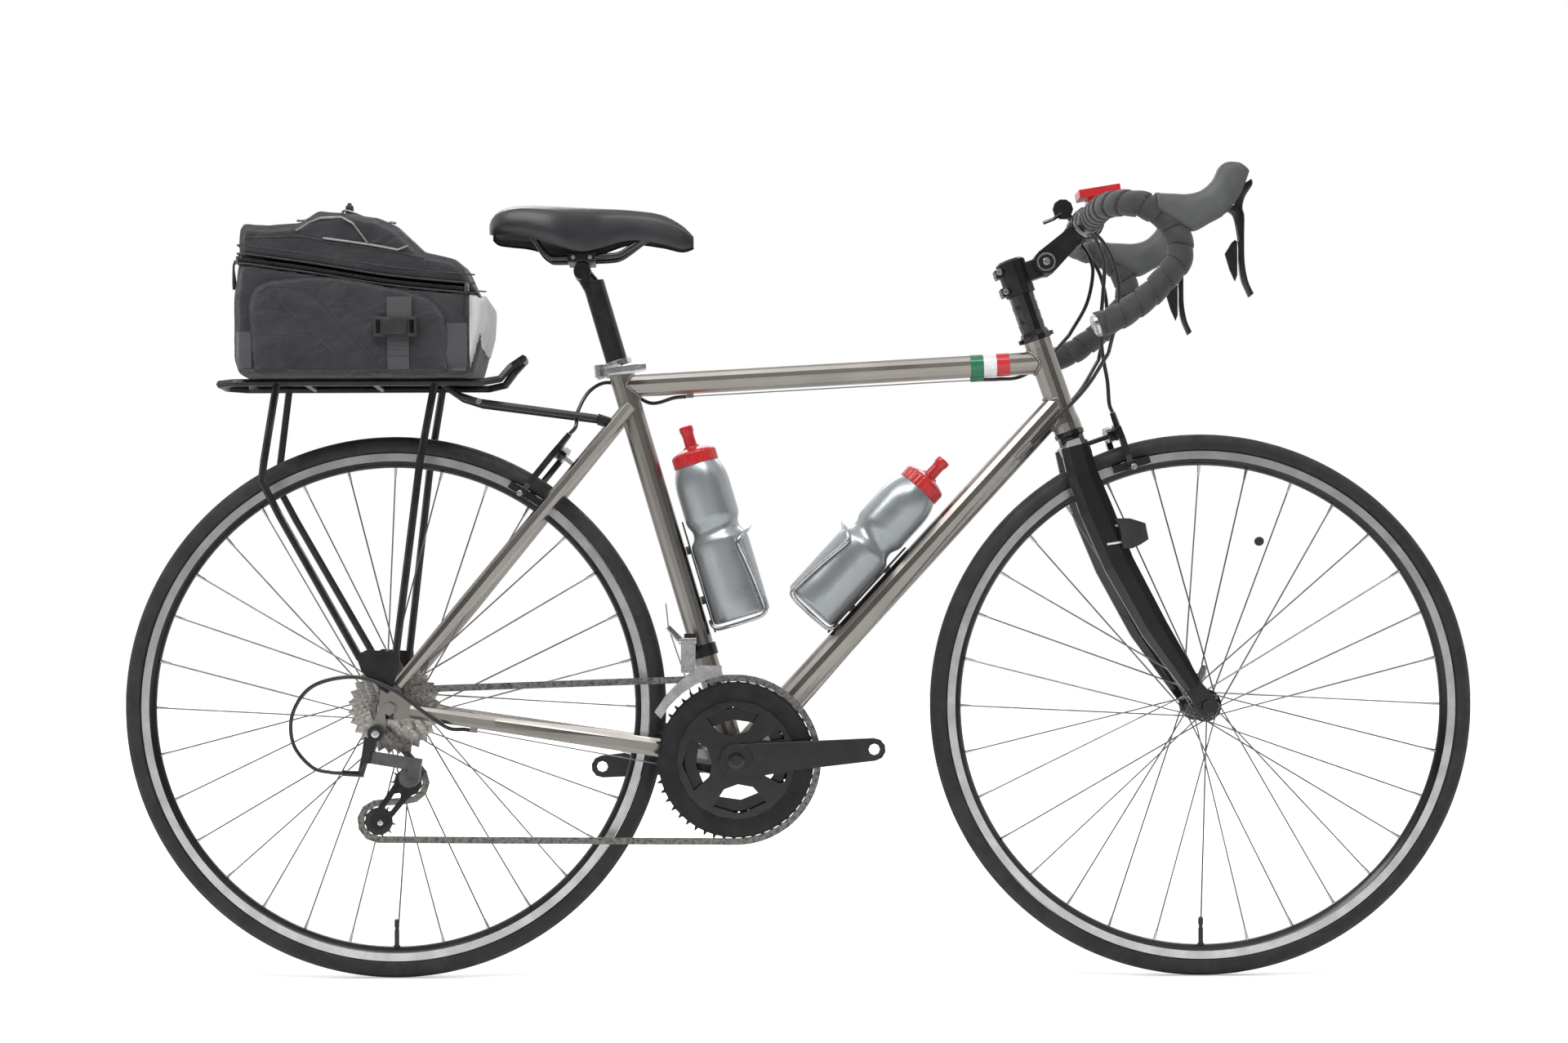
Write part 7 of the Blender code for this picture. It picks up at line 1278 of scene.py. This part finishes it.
def build_pocket(side, name, bag_tree):
    mesh = softened(pocket_form(side), 0.003, 2)

    def push(point, normal):
        if normal.y * side < 0.25:
            return Vector()
        lower = max(0.0, 1 - (point.z - 0.748) / 0.05)
        rear = max(0.0, 1 - (point.x + 0.668) / 0.09)
        deep = 0.0013 + 0.0016 * lower + 0.0022 * rear
        return Vector((0, side * deep * creases(point * 1.15, 40.0 + side * 5), 0))

    pushed(mesh, push)
    sewn("pocket_" + name, mesh, "bag_fabric", "frame")
    tree = tree_of(mesh)
    rim = [p + ACROSS * (side * (BAG_HALF + 0.0058)) for p in pocket_outline()]
    lines = [tube(rim, 0.0014, 10, looped=True)]
    lines += [tube(laid_on(tree, route, side, 0.0001), 0.0008, 8) for route in POCKET_LINES]
    sewn("pocket_piping_" + name, joined(lines), "piping", "frame")
    x = BUCKLE_STRAP_X
    straps = [
        strap_on(tree, [(x, 0.8385), (x, 0.753)], 0.0262, side),
        strap_on(tree, [(-0.487, 0.8405), (-0.487, 0.816)], 0.03, side, lift=0.002, thick=0.002),
    ]
    for z in (0.77, 0.778, 0.786):
        route = [(x - 0.0131, z), (x + 0.0131, z)]
        straps.append(strap_on(tree, route, 0.0022, side, lift=0.0016, thick=0.0008))
    straps.append(strap_on(bag_tree, [(-0.4183, 0.81), (-0.4183, 0.748)], 0.025, side, lift=0.0006))
    straps.append(strap_on(bag_tree, [(-0.679, 0.8), (-0.679, 0.748)], 0.02, side, lift=0.0006))
    sewn("webbing_" + name, joined(straps), "webbing", "frame", sharp=40)
    spot = laid_on(tree, [(-0.4917, 0.8035), (-0.491, 0.8035)], side, 0.0)[0]
    face = Matrix.Translation(spot) @ side_plane(0)
    edge = [(-0.0265, -0.0115), (-0.024, -0.0122), (0.024, -0.0122), (0.0265, -0.0115)]
    edge += [(-x, -z) for x, z in edge]
    slots = [oblong(0.0026, 0.0085, x=x) for x in (-0.0205, 0.0205)]
    block = plate([edge] + slots, 0.0062, face @ Matrix.Translation((0, 0, side * 0.0045)))
    bar = plate([oblong(0.015, 0.0095)], 0.003, face @ Matrix.Translation((0, 0, side * 0.0085)))
    sewn("buckle_" + name, joined([block, bar]), "moulded", "frame", sharp=32, bevel=0.001)


def front_panel(bag):
    """The grey cloth over the bag's front and the front strip of both its sides."""
    bm = bmesh.new()
    bm.from_mesh(bag)
    for origin, normal in PANEL_CUTS:
        geometry = list(bm.verts) + list(bm.edges) + list(bm.faces)
        bmesh.ops.bisect_plane(bm, geom=geometry, plane_co=origin, plane_no=normal, clear_outer=True)
    inner = []
    for face in bm.faces:
        middle = face.calc_center_median()
        if face.normal.x < -0.2 or (abs(middle.y) < 0.0765 and middle.x < -0.3905):
            inner.append(face)
    bmesh.ops.delete(bm, geom=inner, context="FACES")
    for vertex in bm.verts:
        vertex.co += vertex.normal * 0.0005
    return mesh_of(bm)


def top_hit(tree, x, y):
    return tree.ray_cast(Vector((x, y, 1.2)), -UP)[0]


def build_bag():
    forms = []
    halves = (("bag", "bag_body", push_bag, "frame"), ("bag_lid", "lid_body", push_lid, "lid"))
    for node, name, push, body in halves:
        mesh = pushed(softened(node_form(node), 0.0034, 4), push)
        obj = piece(name, mesh, "bag_fabric", body, [node], "bag_fabric", sharp=0)
        forms.append(mesh)
    bag_tree, lid_tree = [tree_of(mesh) for mesh in forms]

    low, high, top = [
        tube(smooth_path(zip_route(rise, out), 4), radius, 10)
        for rise, out, radius in ((-0.005, 0.0008, 0.0013), (0.007, 0.001, 0.0013), (0.0175, 0.0012, 0.001))
    ]
    sewn("zip_edge", low, "piping", "frame")
    sewn("lid_edge", joined([high, top]), "piping", "lid")
    coil = evenly(smooth_path(zip_route(0.0, -0.001), 4), 0.0022)
    teeth = []
    for i, point in enumerate(coil[1:-1], 1):
        reach = UP * 0.0024 + (coil[i + 1] - coil[i - 1]).normalized() * 0.0003
        teeth.append(rod(point - reach, point + reach, 0.0008, sides=6))
    sewn("zip_coil", joined(teeth), "moulded", "frame")

    for side, name in SIDES:
        build_pocket(side, name, bag_tree)
        lines = []
        for route, radius, sides in LID_SEAMS:
            lines.append(tube(laid_on(lid_tree, route, side, 0.0), radius, sides))
        sewn("lid_seams_" + name, joined(lines), "piping", "lid")
        seam = tube(laid_on(bag_tree, FRONT_SEAM, side, 0.0), 0.0012, 10)
        sewn("front_seam_" + name, seam, "piping", "frame")
        cords = []
        for route in BUNGEE_SIDES:
            cords.append(tube(smooth_path(laid_on(lid_tree, route, side, 0.0014), 2), 0.0016, 10))
        sewn("bungee_" + name, joined(cords), "wire", "lid")

    panel = sewn("front_panel", front_panel(forms[0]), "grey_panel", "frame")
    solid = panel.modifiers.new("thickness", "SOLIDIFY")
    solid.thickness = 0.0006
    solid.offset = 1.0

    route = [top_hit(lid_tree, x, y) + UP * 0.003 for x, y in BUNGEE_TOP]
    sewn("bungee_top", tube(smooth_path(route, 8), 0.0016, 10), "wire", "lid")
    profile = [(0, 0), (0.0042, 0.0002), (0.0052, 0.002), (0.0052, 0.0105)]
    profile += [(0.0044, 0.013), (0.0026, 0.0138), (0.0026, 0.016), (0, 0.0164)]
    lock = facing(top_hit(lid_tree, -0.56, 0) + UP * 0.002, UP)
    sewn("cord_lock", turned(profile, lock, 28), "moulded", "lid", sharp=40)
    build_pulls()


def pull_radius(share):
    return 0.0014 + 0.0012 * min(1.0, max(0.0, share * 3 - 1.2))


def build_pulls():
    """Zip sliders with cord pulls, one at the back and one at each side of the front."""
    pulls, sliders = [], []
    for x, y, zip_x, out in (
        (-0.6905, -0.056, -0.687, Vector((-1, 0, 0))),
        (-0.406, -0.0845, -0.406, -ACROSS),
        (-0.406, 0.0845, -0.406, ACROSS),
    ):
        place = Vector((x, y, zip_height(zip_x) + 0.001))
        sliders.append(rod(place - UP * 0.005, place + UP * 0.005, 0.0032, 0.0026, 12))
        drop = [place + out * away - UP * down for away, down in PULL_DROP]
        pulls.append(tube(smooth_path(drop, 5), pull_radius, 10))
    sewn("zip_sliders", joined(sliders), "polished_metal", "frame", sharp=40)
    sewn("zip_pulls", joined(pulls), "moulded", "frame")


build_bag()


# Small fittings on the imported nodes

TOP_TUBE_REAR = Vector((-0.21647, 0, 0.73949))
TOP_TUBE_FRONT = Vector((0.31015, 0, 0.76795))
TOP_TUBE_RADIUS = 0.0143
DOWN_TUBE_FRONT = Vector((0.32806, 0, 0.71595))
BANDS = ((0.2247, "green"), (0.241, "white"), (0.2573, "red"))
BAND_WIDTH = 0.0163
BAND_THICKNESS = 0.0003
FORK_CROWN = 0.68
BLADE_X = 0.399
BLADE_Y = -0.0405
BLADE_SWEEP = 0.03
BLADE_AXIS = Vector((-0.15, 0, 1))
TIE_INSET = 0.008
TIE_WIDTH = 0.0026
TIE_THICKNESS = 0.0009
# Piece, node that it stands on, forward and height, radius and length, body
NEAR_BOLTS = (
    ("hanger_bolt", "rd_b_knuckle", -0.5193, 0.3085, 0.005, 0.0012, "rd_upper"),
    ("front_pad_bolt", "front_brake_arm_right", 0.4231, 0.6324, 0.0036, 0.0016, "front_arm_right"),
    ("rear_pad_bolt", "rear_brake_arm_right", -0.3482, 0.6033, 0.0036, 0.0016, "rear_arm_right"),
    ("rack_bolt", "rack", -0.3961, 0.7188, 0.0036, 0.003, "frame"),
)


def node_tree(name):
    return tree_of(node_form(name))


def bolt_on(node, x, z, side, radius, length=0.0022):
    """A socket bolt standing on a node's side where (x, z) meets it."""
    tree = node_tree(node)
    place = side_hit(tree, x, z, side)
    if place is None:
        place = tree.find_nearest(Vector((x, side * 0.04, z)))[0]
    return socket_bolt(place - ACROSS * (side * 0.0004), ACROSS * side, radius, length)


def outward(centre, axis, sides):
    """Directions round an axis, at even angles."""
    turn = facing(centre, axis).to_3x3()
    return [turn @ polar(1, angle) for angle in turns(sides)]


def girdle(tree, centre, axis, lift, sides, reach):
    """A closed line round a form in the plane square to axis, lift off its skin."""
    points = []
    for out in outward(centre, axis, sides):
        hit = tree.ray_cast(centre + out * reach, -out)[0]
        if hit is not None:
            points.append(hit + out * lift)
    return points


def band(tree, centre, axis, width, thick, sides, reach=0.08):
    """A strap round a form."""
    axis = axis.normalized()
    wide, narrow = axis * (width / 2), axis * (width / 2 - 0.0002)
    rings = []
    for a, b in zip(*[girdle(tree, centre, axis, lift, sides, reach) for lift in (0.0001, thick)]):
        rings.append([a - wide, b - narrow, b + narrow, a + wide])
    return loft(rings, looped=True)


def junction(start, end, radius, node, sides=56):
    """Where the skin of a tube running from start to end meets another node."""
    along = (end - start).normalized()
    tree = node_tree(node)
    points = []
    for out in outward(start, along, sides):
        hit = tree.ray_cast(start + out * radius, along)[0]
        if hit is not None:
            points.append(hit - along * 0.0003 + out * 0.0002)
    return points


def bead(points, radius=0.0017, ripple=0.0004):
    """A weld bead with its row of ripples."""
    fine = []
    for a, b in zip(points, points[1:] + points[:1]):
        fine += [a.lerp(b, k / 4) for k in range(4)]
    ripples = (len(fine) - 1) / 6

    def width(share):
        return radius + ripple * (0.5 - 0.5 * math.cos(2 * math.pi * share * ripples))

    return tube(fine, width, 8, looped=True)


def build_frame_details():
    middle = (TOP_TUBE_REAR + TOP_TUBE_FRONT) / 2
    beads = [
        bead(junction(middle, TOP_TUBE_FRONT, TOP_TUBE_RADIUS, "head_tube")),
        bead(junction(middle, TOP_TUBE_REAR, TOP_TUBE_RADIUS, "seat_tube")),
        bead(junction((BRACKET + DOWN_TUBE_FRONT) / 2, DOWN_TUBE_FRONT, DOWN_TUBE_RADIUS, "head_tube")),
    ]
    piece("weld_beads", joined(beads), "weld", "frame", slot="titanium", sharp=0)
    along = (TOP_TUBE_FRONT - TOP_TUBE_REAR).normalized()
    tree = node_tree("top_tube")
    for x, colour in BANDS:
        centre = TOP_TUBE_REAR + along * ((x - TOP_TUBE_REAR.x) / along.x)
        mesh = band(tree, centre, along, BAND_WIDTH, BAND_THICKNESS, 64)
        piece("band_" + colour, mesh, "band_" + colour, "frame", slot="titanium")
    fork = node_tree("fork")
    sensor_low, sensor_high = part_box("sensor")
    ties = []
    for height in (sensor_low[2] + TIE_INSET, sensor_high[2] - TIE_INSET):
        share = (height - TYRE_RADIUS) / (FORK_CROWN - TYRE_RADIUS)
        centre = Vector((BLADE_X + BLADE_SWEEP * (0.6 - share), BLADE_Y, height))
        ties.append(band(fork, centre, BLADE_AXIS, TIE_WIDTH, TIE_THICKNESS, 40, 0.03))
    piece("zip_ties", joined(ties), "white_nylon", "steering", slot="grey_plastic")


def build_cockpit_details():
    pivot = Vector((0.31051, 0, 0.8916))
    disc = [(0, 0), (0.015, 0), (0.0153, 0.0006), (0.015, 0.0012)]
    disc += [(0.0128, 0.0013), (0.0122, 0.0006), (0, 0.0006)]
    boss = [(0, 0), (0.009, 0), (0.0091, 0.0018), (0.0086, 0.0025), (0, 0.0025)]
    trim = [(0.0096, 0.0003), (0.0116, 0.0003), (0.0116, 0.001), (0.0096, 0.001)]
    discs, bolts, ears = [], [], []
    for side in (-1, 1):
        place = facing(pivot + ACROSS * (side * 0.0178), ACROSS * side)
        discs += [turned(disc, place, 56), turned(boss, place, 56)]
        bolts.append(ring_turned(trim, place, 56))
        bolts.append(socket_bolt(place @ Vector((0, 0, 0.0022)), ACROSS * side, 0.0044, 0.002))
    for x, z in ((0.2521, 0.879), (0.2604, 0.8547)):
        ears += [bolt_on("stem_base", x, z, side, 0.0036, 0.0018) for side in (-1, 1)]
    piece("stem_discs", joined(discs), "black_gloss", "cockpit", slot="black_metal")
    polished("stem_pivot_bolts", joined(bolts), "cockpit")
    polished("stem_bolts", joined(ears), "steering")
    lip = [(0.0161, 0.0265), (0.0186, 0.0262), (0.019, 0.023), (0.019, 0.0214), (0.0161, 0.0214)]
    rings = [ring_turned([(r, sign * h) for r, h in lip], facing(BAR, ACROSS), 56) for sign in (-1, 1)]
    polished("bar_rings", joined(rings), "cockpit")
    lean = math.radians(9)
    screen = facing((0.3775, 0, 0.9795), (-math.sin(lean), 0, math.cos(lean)))
    glass = plate([oblong(0.015, 0.02)], 0.001, screen @ Matrix.Translation((0, 0, 0.0054)))
    piece("screen", glass, "black_gloss", "cockpit", slot="red_plastic", bevel=0.0004)
    pins = [bolt_on("hood_" + name, 0.5052, 0.9329, side, 0.0024, 0.0008) for side, name in SIDES]
    polished("lever_pins", joined(pins), "cockpit")


def build_drive_details():
    for name, side, radius in (("crank_bolt", -1, 0.0105), ("crank_bolt_left", 1, 0.01)):
        bolt = bolt_on("crank_right", BRACKET.x, BRACKET.z, side, radius, 0.002)
        piece(name, bolt, "black_gloss", "crankset", slot="black_metal")
    axles = ((-0.4827, 0.2475), (-0.5165, 0.198))
    pulleys = [bolt_on("rd_cage", x, z, -1, 0.0036, 0.0012) for x, z in axles]
    polished("pulley_bolts", joined(pulleys), "rd_arm")
    for name, node, x, z, radius, length, body in NEAR_BOLTS:
        polished(name, bolt_on(node, x, z, -1, radius, length), body)
    half = [(0, -0.0035), (0.005, -0.0035), (0.0056, -0.0028)]
    magnet = turned(both_ways(half), facing((0.5753, -0.0145, 0.5424), ACROSS), 32)
    piece("spoke_magnet", magnet, "moulded", "front_wheel", slot="grey_plastic")


# The cables, on the routes that their solids take

HOUSING_RADIUS = 0.0024
WIRE_RADIUS = 0.0008
FRONT_BRAKE_HOUSING = (
    (0.3642, -0.05, 0.9208), (0.372, -0.044, 0.908), (0.38, -0.037, 0.886), (0.379, -0.032, 0.85),
    (0.3765, -0.029, 0.81), (0.379, -0.027, 0.775), (0.385, -0.0258, 0.742), (0.3872, -0.0255, 0.7143),
    (0.3911, -0.0255, 0.703),
)
FRONT_BRAKE_WIRE = ((0.3912, -0.0255, 0.7028), (0.4142, -0.0255, 0.6358))
REAR_BRAKE_FIRST = (
    (0.3642, 0.05, 0.9208), (0.372, 0.046, 0.908), (0.377, 0.042, 0.886), (0.368, 0.036, 0.845),
    (0.345, 0.031, 0.805), (0.314, 0.027, 0.772), (0.282, 0.02, 0.752), (0.2528, 0.0, 0.7471),
    (0.2336, 0.0, 0.7465),
)
REAR_BRAKE_BARE = ((0.2334, 0.0, 0.7465), (-0.1388, 0.0, 0.7264))
REAR_BRAKE_LAST = (
    (-0.139, 0.0, 0.7264), (-0.1541, 0.0, 0.7249), (-0.184, 0.019, 0.72), (-0.213, 0.024, 0.737),
    (-0.238, 0.017, 0.746), (-0.26, 0.003, 0.734), (-0.274, -0.011, 0.708), (-0.2761, -0.0255, 0.6877),
    (-0.2837, -0.0255, 0.6784),
)
REAR_BRAKE_WIRE = ((-0.2839, -0.0255, 0.6782), (-0.3161, -0.0255, 0.639))
SHIFT_FIRST = (
    (0.3642, 0.062, 0.9208), (0.376, 0.061, 0.908), (0.39, 0.058, 0.88), (0.396, 0.053, 0.835),
    (0.384, 0.043, 0.775), (0.355, 0.031, 0.73), (0.3087, 0.021, 0.6831), (0.292, 0.0192, 0.6649),
)
SHIFT_BARE = (
    (0.2919, 0.0192, 0.6647), (0.2742, 0.0192, 0.6455), (-0.0404, 0.007, 0.2847),
    (-0.0584, 0.006, 0.2609), (-0.0724, 0.006, 0.25),
)
REAR_SHIFT_TAIL = ((-0.0904, -0.008, 0.2512), (-0.3956, -0.059, 0.3098), (-0.4061, -0.059, 0.3114))
FRONT_SHIFT_TAIL = (
    (-0.0934, 0.003, 0.252), (-0.1104, -0.006, 0.2675), (-0.1164, -0.012, 0.3035),
    (-0.1615, -0.0415, 0.437), (-0.1645, -0.0425, 0.467),
)
REAR_SHIFT_LOOP = (
    (-0.4063, -0.059, 0.3114), (-0.4134, -0.059, 0.3125), (-0.433, -0.068, 0.315),
    (-0.462, -0.083, 0.336), (-0.5, -0.09, 0.364), (-0.545, -0.09, 0.378), (-0.595, -0.088, 0.367),
    (-0.62, -0.085, 0.334), (-0.62, -0.082, 0.296), (-0.598, -0.08, 0.268), (-0.575, -0.0795, 0.2612),
    (-0.5603, -0.0795, 0.2603),
)
STEERED_POINT = 4


def length_of(path):
    return sum((b - a).length for a, b in zip(path, path[1:]))


def cord_piece(name, points, radius, body, replaces=(), bend=None):
    """A stretch of control cable; bend names two bodies when the stretch crosses their joint."""
    housing = radius == HOUSING_RADIUS
    path = [Vector(p) for p in points]
    if housing:
        path = smooth_path(path, 8)
    look = "cable_housing" if housing else "wire"
    rides = None if bend else body
    mesh = tube(path, radius, 12 if housing else 8)
    obj = piece(name, mesh, look, rides, replaces, "cable_housing", sharp=50)
    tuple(path[0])
    round(length_of(path), 4)
    if bend:
        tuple(bend[2])
        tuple(bend[3])
        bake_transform(obj)


def steered_housing(name, points, replaces):
    """A housing from the bar to a stop on the frame, in two stretches that meet on the steered side."""
    upper, lower = points[: STEERED_POINT + 1], points[STEERED_POINT:]
    bend = ("cockpit", "steering", upper[0], upper[-1])
    cord_piece(name + "_upper", upper, HOUSING_RADIUS, "steering", bend=bend)
    bend = ("steering", "frame", lower[0], lower[-1])
    cord_piece(name + "_lower", lower, HOUSING_RADIUS, "steering", replaces=replaces, bend=bend)


def build_cables():
    cord_piece(
        "front_brake_housing",
        FRONT_BRAKE_HOUSING,
        HOUSING_RADIUS,
        "steering",
        replaces=["front_brake_cable"],
        bend=("cockpit", "steering", FRONT_BRAKE_HOUSING[0], FRONT_BRAKE_HOUSING[-2]),
    )
    cord_piece("front_brake_wire", FRONT_BRAKE_WIRE, WIRE_RADIUS, "steering")
    steered_housing("rear_brake_housing", REAR_BRAKE_FIRST, ["rear_brake_cable"])
    cord_piece("rear_brake_bare", REAR_BRAKE_BARE, WIRE_RADIUS, "frame")
    cord_piece("rear_brake_last", REAR_BRAKE_LAST, HOUSING_RADIUS, "frame")
    cord_piece("rear_brake_wire", REAR_BRAKE_WIRE, WIRE_RADIUS, "frame")
    for name, side, tail in (("front", 1, FRONT_SHIFT_TAIL), ("rear", -1, REAR_SHIFT_TAIL)):
        first = [(x, side * y, z) for x, y, z in SHIFT_FIRST]
        bare = [(x, side * y, z) for x, y, z in SHIFT_BARE] + list(tail)
        steered_housing(name + "_shift_housing", first, [name + "_shift_cable"])
        cord_piece(name + "_shift_bare", bare, WIRE_RADIUS, "frame")
    bend = ("frame", "rd_upper", REAR_SHIFT_LOOP[4], REAR_SHIFT_LOOP[-1])
    cord_piece("rear_shift_loop", REAR_SHIFT_LOOP, HOUSING_RADIUS, "frame", bend=bend)


build_cables()
build_frame_details()
build_cockpit_details()
build_drive_details()
